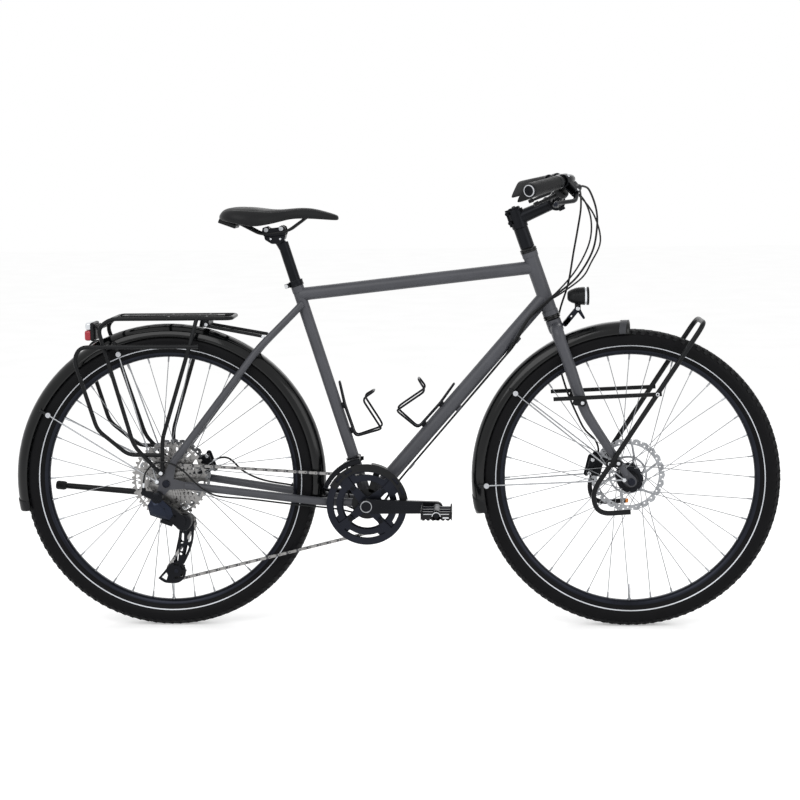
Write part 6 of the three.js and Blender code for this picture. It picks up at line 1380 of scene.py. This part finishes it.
def kickstand():
    """A plate on the chainstay, a boss on its leaning hinge, and the leg with its shoe."""
    inside, outside = 80.3, 88.3
    face = STAND_BOSS + Y * 91.94
    mount = Form()
    mount.plate([strap(CHAIN_STAY_FOOT, STAND_BOSS, 9.8, 14)], inside, outside)
    mount.rod(face - HINGE * 6.7, face, 10, None, 32)
    mount.keep("stand_plate", "frame", "powder_coated_tube", "kickstand_mount", edge=1.2)
    bolts = Form()
    for share in (0, 0.5):
        bolts.bolt(CHAIN_STAY_FOOT.lerp(STAND_BOSS, share) + Y * outside, Y, 5, 3.4)
    bolts.keep("stand_bolts", "frame", "stainless_steel", edge=0.4)
    leg = Form()
    inner = face + HINGE * 0.3
    pivot = inner + HINGE * 8
    foot = pivot + at(-316, 0, 28)
    toe = (foot - pivot).normalized()
    leg.turned([(0, 0), (9.4, 0), (10, 0.8), (10, 15), (8.8, 16), (0, 16)], inner, HINGE, 32)
    leg.rod(pivot, foot, 8, 7, 24)
    leg.bolt(inner + HINGE * 15.6, HINGE, 4.6, 2.4)
    leg.keep("stand_tube", "kickstand_leg", "powder_coated_tube", "kickstand_leg", edge=1)
    shoe = Form().turned([(7, -26), (9.4, -25), (11, -20), (11, -4), (9, 0), (0, 0), (0, -26)], foot, toe, 24)
    shoe.keep("stand_shoe", "kickstand_leg", "grip_rubber", edge=0.6)


# Seat


def seatpost():
    """The post, the head that clamps the saddle's rails, and its washers and pins."""
    top = CRANK + SEAT_UP * 662
    head = at(266, 0, 958)
    rear, front = at(246, 0, 968), at(282, 0, 971)
    form = Form()
    form.rod(CRANK + SEAT_UP * 332, top, SEATPOST, None, 36)
    form.rod(top - SEAT_UP * 14, head - Z * 4, SEATPOST, 11, 36)
    form.keep("post_tube", "seat", "anodised_aluminium", "seatpost", edge=0.8)
    clamp = Form()
    jaw = [(240, 952), (292, 955), (294, 962), (291, 975), (283, 979), (274, 973), (254, 971), (246, 976),
           (237, 973), (235, 962)]
    cradle = [(240, 952), (292, 955), (290, 946), (278, 934), (258, 934), (242, 944)]
    for loop, low, high in ((jaw, -24, -15), (jaw, 15, 24), (cradle, -20, 20)):
        clamp.plate([loop], low, high)
    half = 26
    for spot in (rear, front):
        clamp.rod(spot - Y * half, spot + Y * half, 6.4, None, 24)
    clamp.keep("post_head", "seat", "anodised_aluminium", edge=1.4)
    washers = Form()
    washer = [(0, 0.4), (2.4, 0.4), (2.4, 1.6), (5.2, 1.6), (5.6, 0.8), (5.6, 0), (0, 0)]
    for spot in (rear, front):
        for s in (-1, 1):
            washers.turned(washer, spot + Y * s * half, Y * s, 24)
    washers.keep("post_washers", "seat", "ground_steel", edge=0.2)
    pins = Form()
    for x in (256, 279):
        pins.rod(at(x, -9, 946), at(x, -20.6, 946), 2.6)
        pins.bolt(at(x, -20, 946), -Y, 2.6, 1.4)
    pins.keep("post_pins", "seat", "stainless_steel", edge=0.2)


def rails():
    """The two rails, joined behind and ahead, under the saddle."""
    half = [at(160, 30, 996), at(233, 22, 957), at(297, 22, 964), at(345, 9, 999)]
    path = rounded(half + mirrored(half)[::-1], 15)
    pipe("seat_rails", "seat", "powder_coated_tube", [path], 3.5, "saddle_rails", sides=5)


# Saddle sections: place along, half width, top and lower edge
SADDLE = (
    (131.5, 22, 1003, 996), (137, 42, 1011, 992.6), (146, 58, 1020, 989), (168, 74, 1024.4, 984.4),
    (195, 77, 1024, 978), (220, 72, 1022.6, 974), (240, 61, 1020, 976.6), (262, 44, 1016.8, 980.8),
    (285, 34, 1017, 986.6), (306, 28.5, 1019, 992), (330, 24.5, 1020.6, 992.6), (357, 21.5, 1019, 991.6),
    (382, 19.2, 1012.6, 990), (404, 16.5, 1006, 988.6), (416, 13, 1001.6, 988.4), (419, 9, 998, 990),
)


def saddle_loop(x, half, top, skirt):
    """One section: a crowned top with a shallow channel, seamed shoulders and a tucked skirt."""
    height = top - skirt
    side = [(0.12, top - 1.6), (0.3, top), (0.55, top - height * 0.05), (0.72, top - height * 0.13),
            (0.76, top - height * 0.19), (0.8, top - height * 0.16), (0.93, top - height * 0.36),
            (1.0, top - height * 0.62), (0.97, top - height * 0.86), (0.86, skirt)]
    under = [(0.6, skirt + min(12, height / 2.6)), (0.25, skirt + min(14, height / 2.3))]
    right = [(half * share, z) for share, z in side + under]
    return [at(x, 0, top - 3)] + [at(x, y, z) for y, z in right] + [at(x, -y, z) for y, z in reversed(right)]


def saddle():
    """A crowned, seamed cushion on a moulded base."""
    form = Form().loft([saddle_loop(*row) for row in SADDLE])
    piece = form.keep("saddle_cushion", "seat", "saddle_cover", "saddle", edge=0, levels=2)
    base = Form()
    for s in (-1, 1):
        base.rod(at(150, s * 30, 997), at(182, s * 28, 984), 7)
    base.slab(at(153, 0, 984), (44, 72, 10), Matrix.Rotation(radians(20), 3, "Y"))
    base.slab(at(348, 0, 999), (26, 26, 8))
    base.keep("saddle_base", "seat", "moulded_nylon", edge=2)


# Steered assembly


def fork():
    """Crown, tapered and raked blades, steerer and dropouts."""
    crown = HEAD_FOOT - STEER_UP * 11.6
    root = HEAD_FOOT - STEER_UP * 47.3
    steerer = 279
    blade = [(root.x - 1, 44, root.z, FORK_BLADE), (970, 50, 637, FORK_BLADE), (991, 52, 573, 13.2),
             (1009, 54, 525, 12), (1037, 56, 478, 10.5), (1072, 58, 425, 9),
             (FORK_TIP.x, 58, FORK_TIP.z, 7.5), (1104, 58, 376, 6.5)]
    paths = [smooth([Vector((x, s * y, z, r)) for x, y, z, r in blade]) for s in (-1, 1)]
    pipe("fork_blades", "fork", "powder_coated_steel", paths, FORK_BLADE, "fork", sides=10)
    form = Form()
    form.turned([(0, -36), (13, -36), (17.6, -30), (18.4, -22), (18.4, -2), (17.6, 0), (0, 0)], crown,
                STEER_UP, 40)
    form.turned([(0, 0), (14.3, 0), (14.3, steerer), (0, steerer)], crown, STEER_UP, 32)
    form.keep("crown_race", "fork", "powder_coated_steel", edge=1)
    shoulder = crown - STEER_UP * 20
    arches = []
    for s in (-1, 1):
        path = [Vector((*shoulder, 14)), Vector((shoulder.x + 2, s * 30, shoulder.z - 3, 14.4)),
                Vector((root.x, s * 43, root.z + 2, 14.4)), Vector((root.x + 6, s * 45, root.z - 18, 14))]
        arches.append(smooth(path))
    pipe("fork_crown", "fork", "powder_coated_steel", arches, FORK_BLADE, sides=10)
    ends = Form()
    for s in (-1, 1):
        low, high = sorted((s * 50.3, s * 58.3))
        ends.plate([strap(FORK_TIP, FRONT, 8, 13)], low, high)
        ends.plate([strap(FRONT, FORK_EYELET, 12.6, 6.5)], low + 0.3, high - 0.3)
    ends.keep("fork_ends", "fork", "powder_coated_steel", edge=1.4)


def fork_brake_fittings():
    """The tab on the left blade and the adapter that carries the front caliper."""
    tab = Form().plate([strap(LOW_MOUNT, at(1034.5, 0, 381), 8, 8)], 52.3, 54.3)
    tab.keep("brake_tab", "fork", "powder_coated_steel", edge=0.4)
    top = at(1040, 0, 404)
    adapter = Form().plate([strap(at(1030, 0, 352), top + Z * 4, 8, 11)], 44, 51.6)
    adapter.plate([strap(top, at(1062, 0, 398), 9, 8)], 45, 51)
    adapter.rod(top + Y * 36, top + Y * 52, 9)
    adapter.keep("brake_adapter", "fork", "anodised_aluminium", edge=1)


def spacers():
    """One tall spacer between the upper cup and the stem."""
    low = HEAD_TOP + STEER_UP * 11.6
    side = [(14.6, 0), (17, 0), (17.5, 0.6), (17.5, 49.4), (17, 50), (14.6, 50)]
    form = Form().turned(side, low, STEER_UP, 48, True)
    form.keep("spacer_tube", "fork", "anodised_aluminium", "spacer_column", edge=0.2)


def stem():
    """A clamp on the steerer, a rising arm and a faceplate with four bolts."""
    height, half, spacing = 46, 23, 21
    low, high = STEM_FOOT, STEM_FOOT + STEER_UP * height
    middle = (low + high) / 2
    reach = (BAR_CLAMP - middle).normalized()
    form = Form()
    form.turned([(14.8, 0), (18.6, 0), (19.5, 1), (19.5, height - 1), (18.6, height), (14.8, height)], low,
                STEER_UP, 40, True)
    form.rod(middle + reach * 8, BAR_CLAMP - reach * 10, 17, 15, 36)
    form.turned([(16.2, -half), (21, -half), (21.5, 1 - half), (21.5, half - 1), (21, half), (16.2, half)],
                BAR_CLAMP, Y, 40, True)
    form.slab(low - X * 19 + STEER_UP * 23, (10, 12, 42), Matrix.Rotation(STEER_ANGLE - pi / 2, 3, "Y"))
    form.keep("stem_body", "fork", "anodised_aluminium", "stem", edge=1.2)
    face, bolts = Form(), Form()
    up = reach.cross(Y)
    turn = Matrix((reach, Y, -up)).transposed()
    for s in (-1, 1):
        edge = BAR_CLAMP + up * s * spacing
        face.slab(edge + reach * 4, (12, 40, 7), turn)
        for across in (-14, 14):
            bolts.bolt(edge + reach * 10 + Y * across, reach, 3.4, 3)
    face.turned([(0, height), (14.6, height), (14.6, height + 4), (13, height + 6), (0, height + 6)], low,
                STEER_UP, 32)
    face.keep("stem_faceplate", "fork", "anodised_aluminium", edge=1)
    for share in (0.25, 0.75):
        spot = low + STEER_UP * height * share - X * 22
        bolts.rod(spot - Y * 14.6, spot + Y * 15, 4.4, None, 16)
        bolts.bolt(spot - Y * 14.6, -Y, 4.6, 3)
    bolts.bolt(high + STEER_UP * 6, STEER_UP, 4.4, 2.4)
    bolts.keep("stem_bolts", "fork", "anodised_aluminium", edge=0.3)


BAR_TURN = at(969, 166, 1085)
BAR_END = at(869, 316, 1060)


def handlebar():
    """The bent bar and the bulge in its middle."""
    half = [BAR_CLAMP + Y * 42, at(964, 104, 1078), BAR_TURN, BAR_END]
    path = rounded(mirrored(half)[::-1] + half, 26, 9)
    pipe("bar_tube", "fork", "anodised_aluminium", [path], BAR, "handlebar", sides=8)
    bulge = [(BAR, -46), (15.9, -30), (15.9, 30), (BAR, 46), (0, 46), (0, -46)]
    form = Form().turned(bulge, BAR_CLAMP, Y, 36)
    form.keep("bar_bulge", "fork", "anodised_aluminium", edge=0.6)


def bar_frame(side, ahead):
    """The direction out along one end of the bar, and the one across it that is nearest to ahead."""
    out = (BAR_END - BAR_TURN).normalized()
    out.y *= side
    return out, (ahead - out * ahead.dot(out)).normalized()


def grip(side, name):
    """A grip whose rear spreads into a wing towards its end, with an end plug."""
    out, ahead = bar_frame(side, X + Z * 0.7)
    turn, end = mirrored([BAR_TURN, BAR_END], side)
    lead, steps = 60, 24
    span = (end - turn).length + 5 - lead
    start = turn + out * lead
    up = out.cross(ahead)
    loops = []
    for share, wing, radius in ((0, 0, 14.2), (0.03, 0.5, 16), (0.12, 0.6, 16), (0.3, 8, 16), (0.5, 18, 16.4),
                                (0.7, 25, 16.8), (0.88, 28, 17), (0.97, 28, 17), (1, 25.6, 15.4)):
        loop = []
        for i in range(steps):
            t = tau * i / steps
            back = max(-cos(t), 0) ** 3
            flatter = 1 - 0.35 * back * (wing > 5)
            loop.append(start + out * span * share + ahead * (radius * cos(t) - wing * back)
                        + up * radius * sin(t) * flatter)
        loops.append(loop)
    form = Form().loft(loops)
    form.keep(f"{name}_sleeve", "fork", "grip_rubber", name, edge=0, levels=2)
    clamp = [(11.6, -1), (15.6, -1), (16.4, 0), (16.4, 9), (15.6, 10), (11.6, 10)]
    collar = Form().turned(clamp, start + out * 0.5, out, 36, True)
    collar.keep(f"{name}_collar", "fork", "anodised_aluminium", edge=0.4)
    cap = [(0, span + 0.4), (11.4, span + 0.4), (11.4, span - 3), (0, span - 3)]
    plug = Form().turned(cap, start, out, 40)
    plug.bolt(start + out * (span + 0.2) - ahead * 4, out, 2.6, 1, 12)
    plug.keep(f"{name}_plug", "fork", "anodised_aluminium", edge=0.2)
    band = Form().ring(start, out, 13.4, 11.4, span - 2, span + 1.2, 40)
    band.keep(f"{name}_band", "fork", "pale_nylon", edge=0.3)


def control_place(side):
    """The place of the controls: X out along the bar, Z ahead and down from it."""
    lean = radians(40)
    out, ahead = bar_frame(side, at(cos(lean), 0, -sin(lean)))
    origin = mirrored([BAR_TURN], side)[0] + out * 34
    turn = Matrix((out, ahead.cross(out), ahead)).transposed().to_4x4()
    return Matrix.Translation(origin) @ turn


def control_mount(side, word, place):
    """The brake lever's clamp and reservoir, the shifter's pod, and their bolts."""
    down, hinge, pod_middle = -side, at(-4, 0, 38), at(-10, 0, 8)
    form = Form()
    form.turned([(11.8, -8), (14.6, -8), (15.5, -7), (15.5, 7), (14.6, 8), (11.8, 8)], at(0), X, 36, True)
    for low, high in ((-9.6, -6.7), (6.7, 9.6)):
        form.plate([strap(hinge - Z * 23, hinge, 9, 7.6)], low, high)
    form.turned([(0, 0), (6, 0), (8, 1.4), (8, 21), (6.6, 22.6), (0, 22.6)], at(-10, 0, 27.8), -X, 32)
    form.slab(at(-18, 0, 19), (20, 13, 12))
    form.keep(f"brake_mount_{word}", "fork", "anodised_aluminium", f"control_mount_{word}", edge=1,
              place=place)
    pod = Form()
    pod.turned([(0, 22.6), (15, 22.6), (18, 24.4), (19, 27), (19, 33.4), (17.6, 36), (14, 37.4), (0, 37.4)],
               pod_middle, Y * down, 40)
    pod.slab(at(0, down * 14, 0), (11, 22, 12))
    pod.keep(f"shift_pod_{word}", "fork", "moulded_nylon", edge=1.4, place=place)
    bolts = Form()
    bolts.rod(hinge - Y * 9.8, hinge + Y * 9.8, 3.4)
    bolts.bolt(hinge + Y * down * 9.8, Y * down, 4, 1.4)
    bolts.bolt(at(0, -down * 14.6, 0), -Y * down, 3.6, 3)
    bolts.keep(f"control_bolts_{word}", "fork", "stainless_steel", edge=0.3, place=place)


def brake_lever(word, place):
    """A curved lever with a rounded tip."""
    blade = [Vector(spot) for spot in (
        (-4, 0, 40, 6), (10, 0, 50, 5.6), (26, 0, 57, 5), (52, 0, 55, 5), (80, 0, 51.6, 5), (97, 0, 51, 5.4),
        (105, 0, 53, 4.4))]
    path = [Vector((*(place @ p.to_3d()), p[3])) for p in smooth(blade)]
    body = f"brake_lever_{word}"
    pipe(f"lever_blade_{word}", body, "anodised_aluminium", [path], 5, body, sides=4)
    tip = Form().rod(at(97, 0, 51), at(105.4, 0, 53.2), 5.8, 5, 20)
    tip.keep(f"lever_tip_{word}", body, "forged_aluminium", edge=1.4, place=place)


def shift_lever(side, word, place):
    """The cable's adjuster and the thumb lever below the pod."""
    down = -side
    start, end = mirrored([at(974, 170, 1046), at(989, 176, 1061)], side)
    barrel = Form().rod(start, end, 3.6, 2.8, 16)
    barrel.keep(f"barrel_adjuster_{word}", "fork", "ground_steel", edge=0.4)
    thumb = Form()
    thumb.turned([(0, 37.8), (8, 37.8), (9, 39), (9, 41.6), (8, 42.8), (0, 42.8)], at(-10, 0, 8), Y * down,
                 28)
    thumb.rod(at(-8, down * 40.4, 8), at(36, down * 78, -4), 5, 3)
    thumb.rod(at(29, down * 72, -2.4), at(38, down * 79.6, -4.6), 5.4, 4.6)
    body = f"shift_lever_{word}"
    thumb.keep(f"thumb_lever_{word}", body, "moulded_nylon", body, edge=1, place=place)


def controls(side, word):
    """The clamp with its pod, and both levers."""
    place = control_place(side)
    control_mount(side, word, place)
    brake_lever(word, place)
    shift_lever(side, word, place)


def headlight():
    """A round housing with a hooded lens, on a forked bracket."""
    axis, pivot, foot = at(0, 0, 802), at(992, 0, 772), at(961.4, 0, 735)
    form = Form()
    form.turned([(0, 967), (8, 967.4), (12, 970), (16, 977), (19, 986), (21, 996), (22, 1008), (20.8, 1008.4),
                 (20.8, 1013), (22, 1013.4), (22, 1018.6), (19.4, 1019), (19, 1011), (17.4, 1010), (0, 1010)],
                axis, X, 48)
    for k in range(3):
        form.ring(axis + X * (985 + 4 * k), X, 19.6 + 0.8 * k, 15, 0, 1.6)
    form.plate([strap(pivot, pivot + Z * 16, 7, 7)], -4, 4)
    form.keep("lamp_body", "headlight", "moulded_nylon", "headlight", edge=0.6)
    bowl = Form().turned([(0, 1011), (8, 1011.4), (14, 1013.4), (18.6, 1017)], axis, X, 40)
    bowl.ring(axis + X * 1008.6, X, 21.6, 19.6, 0, 4.4)
    bowl.keep("lamp_bowl", "headlight", "pale_reflector", edge=0)
    cover = [(0, 1019.4), (12, 1019), (19.2, 1017.6), (19.2, 1016.6), (0, 1017.6)]
    glass = Form().turned(cover, axis, X, 40)
    glass.keep("lamp_glass", "headlight", "clear_lens", edge=0.2)
    inner, outer = 4.6, 7.6
    bracket = Form()
    for low, high in ((-outer, -inner), (inner, outer)):
        hole = circle(flat(pivot.lerp(foot, 0.5)), 2.4, 10)
        bracket.plate([strap(foot, pivot, 6, 6), hole], low, high)
    bracket.plate([strap(foot, foot.lerp(pivot, 0.25), 6, 6)], -outer, outer)
    bracket.plate([strap(pivot, at(1006, 0, 750), 5, 3)], -outer, -inner)
    bracket.keep("lamp_bracket", "fork", "forged_aluminium", "headlight_bracket", edge=0.6)
    bolt = Form().bolt(pivot - Y * outer, -Y, 5, 3).bolt(pivot + Y * outer, Y, 5, 3)
    bolt.rod(pivot - Y * outer, pivot + Y * outer, 2.4)
    bolt.keep("lamp_pivot", "fork", "stainless_steel", edge=0.4)


def lowrider():
    """One bent hoop over the wheel with two side rails and its plates on the fork."""
    half_width, face = 72, 74
    half = [at(x, half_width, z) for x, z in ((1285, 741), (1020, 337), (1034, 286), (1112, 291))]
    paths = [rounded(mirrored(half)[::-1] + half, 32)]
    pipe("lowrider_hoop", "fork", "powder_coated_tube", paths, 6, "lowrider_rack", sides=5)
    rails = [[at(930, s * half_width, 562), at(1185, s * half_width, 573)] for s in (-1, 1)]
    pipe("lowrider_rails", "fork", "powder_coated_tube", rails, RACK_TUBE, sides=5)
    form = Form()
    bolts = Form()
    hoop = at(1062.2, 0, 407.2)
    for s in (-1, 1):
        bolts.bolt(at(1175, s * 76.6, 573), Y * s, 4.6, 2.6)
    for s in (-1, 1):
        low, high = sorted((s * (face - 4), s * face))
        form.plate([strap(MID_MOUNT, MID_MOUNT + Z * 9, 9, 5)], low, high)
        form.plate([strap(at(983, 0, 554), at(1001, 0, 554), 7.4, 7.4)], low + 0.4, high - 0.4)
        form.plate([strap(LOW_MOUNT, hoop, 9, 9)], low, high)
        form.rod(MID_MOUNT + Y * s * 65.6, MID_MOUNT + Y * s * half_width, 9)
        form.rod(LOW_MOUNT + Y * s * 67.5, LOW_MOUNT + Y * s * half_width, 4.5)
        for spot in (MID_MOUNT, LOW_MOUNT, hoop):
            bolts.bolt(spot + Y * s * face, Y * s, 4.4, 3)
    form.keep("lowrider_plates", "fork", "powder_coated_tube", edge=0.8)
    bolts.keep("lowrider_bolts", "fork", "stainless_steel", edge=0.4)
    side = [(0, -2), (4.6, -2), (5.4, -1), (5.4, 9), (4.4, 11), (0, 11)]
    plug = Form().turned(side, at(1108, half_width, 291), X, 24)
    plug.keep("hoop_plug", "fork", "orange_plastic", edge=0.4)


# Stage

# Camera found from the picture: its width, focal length and optical centre in pixels, its turns in degrees
PICTURE = 800
FOCAL = 1739
CENTRE = (380, 307)
SENSOR = 36
EYE = at(743, -4183, 1112)
YAW, PITCH, ROLL = 3.10, 4.55, 0.64

# Soft lamps: name, place, size and power
LAMPS = (
    ("key", (-1.2, -2.6, 2.6), 2.4, 46),
    ("fill", (2.4, -1.6, 1.4), 1.8, 16),
    ("back", (0.4, 2.4, 2.4), 2.4, 24),
)


def seen_by(tree, *rays):
    """One for rays of any of those kinds, and zero for all others."""
    path = add(tree, "LightPath")
    seen = path.outputs[rays[0]]
    for ray in rays[1:]:
        seen = add(tree, "Math", {0: seen, 1: path.outputs[ray]}, operation="MAXIMUM").outputs[0]
    return seen


def sky():
    """A pale world, whiter to the camera than to the bicycle."""
    world = bpy.data.worlds.new("studio")
    bpy.context.scene.world = world
    world.use_nodes = True
    tree = world.node_tree
    tree.nodes.clear()
    seen = seen_by(tree, "Is Camera Ray", "Is Glossy Ray", "Is Transmission Ray")
    plain = add(tree, "Background", {"Color": (1, 1, 1, 1), "Strength": 0.75})
    white = add(tree, "Background", {"Color": (1, 1, 1, 1), "Strength": 1.0})
    mixed = add(tree, "MixShader", {0: seen, 1: plain.outputs[0], 2: white.outputs[0]})
    add(tree, "OutputWorld", {"Surface": mixed.outputs[0]})


def lamps():
    """Square lamps that look at the bicycle's middle."""
    aim = at(0, 0, 0.45)
    for name, spot, size, power in LAMPS:
        lamp = bpy.data.lights.new(name, "AREA")
        lamp.shape = "SQUARE"
        lamp.size = size
        lamp.energy = power
        holder = bpy.data.objects.new(name, lamp)
        holder.location = spot
        holder.rotation_euler = (aim - Vector(spot)).to_track_quat("-Z", "Y").to_euler()
        bpy.context.scene.collection.objects.link(holder)


def floor():
    """A wide pale floor under the wheels."""
    half = 20
    form = Form().panel([[(-half, -half), (half, -half), (half, half), (-half, half)]], at(0), X, Y, -0.01)
    data = bpy.data.meshes.new("floor")
    form.mesh.to_mesh(data)
    form.mesh.free()
    ground = bpy.data.objects.new("floor", data)
    bpy.context.scene.collection.objects.link(ground)
    data.materials.append(floor_paint())


def camera():
    """The camera at the photograph's place and angle."""
    lens = bpy.data.cameras.new("camera")
    lens.sensor_width = SENSOR
    lens.lens = FOCAL * SENSOR / PICTURE
    lens.shift_x = (PICTURE / 2 - CENTRE[0]) / PICTURE
    lens.shift_y = (CENTRE[1] - PICTURE / 2) / PICTURE
    yaw, pitch, roll = radians(YAW), radians(PITCH), radians(ROLL)
    ahead = at(-sin(yaw) * cos(pitch), cos(yaw) * cos(pitch), -sin(pitch))
    right = at(cos(yaw), sin(yaw), 0)
    down = ahead.cross(right)
    across = right * cos(roll) + down * sin(roll)
    fall = down * cos(roll) - right * sin(roll)
    turn = Matrix((across, -fall, -ahead)).transposed().to_4x4()
    holder = bpy.data.objects.new("camera", lens)
    holder.matrix_world = Matrix.Translation(TO_ROW @ EYE) @ turn
    bpy.context.scene.collection.objects.link(holder)
    bpy.context.scene.camera = holder


def stage():
    """The world, lamps, floor and camera."""
    bpy.context.scene.view_settings.view_transform = "Standard"
    sky()
    lamps()
    floor()
    camera()


def floor_paint():
    """Matt white paint that stays white to the camera but keeps soft shadows."""
    made = bpy.data.materials.new("matt_white_floor")
    made.use_nodes = True
    tree = made.node_tree
    tree.nodes.clear()
    seen = seen_by(tree, "Is Camera Ray", "Is Glossy Ray")
    place = add(tree, "TexCoord").outputs["Object"]
    grain = add(tree, "TexNoise", {"Vector": place, "Scale": 3.0})
    shade = add(tree, "ValToRGB", {"Fac": grain.outputs["Fac"]},
                stops=[(0.3, linear(0xF0F0F0)), (0.7, linear(0xF4F4F4))])
    matt = add(tree, "BsdfDiffuse", {"Color": shade.outputs["Color"]})
    lift = add(tree, "Emission", {"Color": (1, 1, 1, 1), "Strength": 0.32})
    lifted = add(tree, "AddShader", {0: matt.outputs[0], 1: lift.outputs[0]})
    mixed = add(tree, "MixShader", {0: seen, 1: matt.outputs[0], 2: lifted.outputs[0]})
    add(tree, "OutputMaterial", {"Surface": mixed.outputs[0]})
    return made


# Operators


class BICYCLE_OT_wheels(Operator):
    """Builds the tyres, rims, spokes, hubs, rotors and axles."""

    bl_idname = "bicycle.wheels"
    bl_label = "Wheels"

    def execute(self, context):
        sizes = context.scene.bicycle_sizes
        for end, hub in (("rear", REAR), ("front", FRONT)):
            tyre(end, hub, sizes.blocks)
            rim(end, hub)
        spokes("rear", REAR, 29, 33, -19.8, sizes)
        spokes("front", FRONT, 32, 24.9, -24.9, sizes)
        rotor("rear", REAR, REAR_ROTOR)
        rotor("front", FRONT, FRONT_ROTOR)
        rear_hub()
        front_hub()
        axle("rear", REAR, 74.1, "frame")
        axle("front", FRONT, 58.6, "fork")
        return {"FINISHED"}


class BICYCLE_OT_frame(Operator):
    """Builds the frame, headset, seat clamp and bottom bracket."""

    bl_idname = "bicycle.frame"
    bl_label = "Frame"

    def execute(self, context):
        main_tubes()
        lugs()
        dropouts()
        headset()
        seat_clamp()
        bottom_bracket()
        return {"FINISHED"}


class BICYCLE_OT_mudguards(Operator):
    """Builds the mudguards and their stays."""

    bl_idname = "bicycle.mudguards"
    bl_label = "Mudguards"

    def execute(self, context):
        mudguard("rear", REAR, -9, 192, "frame")
        mudguard("front", FRONT, 90, 193, "fork")
        guard_ends()
        guard_stays("rear", REAR, REAR_EYELET, ((110.8, 331), (151.2, 335)), 76.6, "frame")
        guard_stays("front", FRONT, FORK_EYELET, ((142.5, 345), (182.3, 345)), 61, "fork")
        return {"FINISHED"}


class BICYCLE_OT_racks(Operator):
    """Builds the racks, the bottle cages, the rear light and the kickstand."""

    bl_idname = "bicycle.racks"
    bl_label = "Racks and cages"

    def execute(self, context):
        rear_rack()
        rear_light()
        lowrider()
        for name, reach, up, across, radius in (
            ("seat_tube_bottle_cage", 177, SEAT_UP, at(SEAT_UP.z, 0, -SEAT_UP.x), SEAT_TUBE),
            ("down_tube_bottle_cage", 233, DOWN_UP, at(-DOWN_UP.z, 0, DOWN_UP.x), DOWN_TUBE),
        ):
            bottle_cage(name, CRANK + up * reach, up, across, radius)
        kickstand()
        return {"FINISHED"}


class BICYCLE_OT_drivetrain(Operator):
    """Builds the chain, sprockets, rings, cranks, pedals and derailleurs."""

    bl_idname = "bicycle.drivetrain"
    bl_label = "Drivetrain"

    def execute(self, context):
        cassette()
        chain()
        chainrings()
        spider()
        crank_arm(-1, 1, "right_crank", "crank_right")
        crank_arm(1, -1, "left_crank", "crank_left")
        pedal(-1, 1, "pedal_right")
        pedal(1, -1, "pedal_left")
        front_derailleur()
        chain_guard()
        derailleur()
        pulley_cage()
        pulleys()
        return {"FINISHED"}


class BICYCLE_OT_brakes(Operator):
    """Builds the calipers, hoses and cables."""

    bl_idname = "bicycle.brakes"
    bl_label = "Brakes and cables"

    def execute(self, context):
        caliper("rear_caliper", REAR, 20, REAR_ROTOR, "frame")
        caliper("front_caliper", FRONT, 166, FRONT_ROTOR, "fork")
        hoses()
        return {"FINISHED"}


class BICYCLE_OT_seat(Operator):
    """Builds the seatpost, rails and saddle."""

    bl_idname = "bicycle.seat"
    bl_label = "Seat"

    def execute(self, context):
        seatpost()
        rails()
        saddle()
        return {"FINISHED"}


class BICYCLE_OT_steering(Operator):
    """Builds the fork, stem, bar, grips, controls and headlight."""

    bl_idname = "bicycle.steering"
    bl_label = "Steering"

    def execute(self, context):
        fork()
        fork_brake_fittings()
        spacers()
        stem()
        handlebar()
        for side, word in ((-1, "right"), (1, "left")):
            grip(side, f"grip_{word}")
            controls(side, word)
        headlight()
        return {"FINISHED"}


class BICYCLE_OT_stage(Operator):
    """Sets the floor, lamps, world and camera."""

    bl_idname = "bicycle.stage"
    bl_label = "Stage"

    def execute(self, context):
        stage()
        return {"FINISHED"}


OPERATORS = (
    BICYCLE_OT_stage, BICYCLE_OT_wheels, BICYCLE_OT_frame, BICYCLE_OT_mudguards, BICYCLE_OT_racks,
    BICYCLE_OT_drivetrain, BICYCLE_OT_brakes, BICYCLE_OT_seat, BICYCLE_OT_steering,
)


class BICYCLE_PT_pieces(Panel):
    """Lists the operators and the sizes and colours they use."""

    bl_idname = "BICYCLE_PT_pieces"
    bl_label = "Touring Bicycle"
    bl_space_type = "VIEW_3D"
    bl_region_type = "UI"
    bl_category = "Bicycle"

    def draw(self, context):
        for operator in OPERATORS:
            self.layout.operator(operator.bl_idname)
        for group in (context.scene.bicycle_colours, context.scene.bicycle_sizes):
            for key in group.bl_rna.properties.keys():
                if key not in ("rna_type", "name"):
                    self.layout.prop(group, key)


CLASSES = (BicycleColours, BicycleSizes, *OPERATORS, BICYCLE_PT_pieces)


def register():
    """Adds the classes and the scene's settings."""
    for made in CLASSES:
        bpy.utils.register_class(made)
    bpy.types.Scene.bicycle_colours = PointerProperty(type=BicycleColours)
    bpy.types.Scene.bicycle_sizes = PointerProperty(type=BicycleSizes)


def unregister():
    """Takes the settings and the classes away again."""
    del bpy.types.Scene.bicycle_colours
    del bpy.types.Scene.bicycle_sizes
    for made in reversed(CLASSES):
        bpy.utils.unregister_class(made)


def main():
    """Builds every piece."""
    register()
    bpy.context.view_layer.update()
    for operator in OPERATORS:
        getattr(bpy.ops.bicycle, operator.bl_idname.split(".")[1])()


if __name__ == "__main__":
    main()
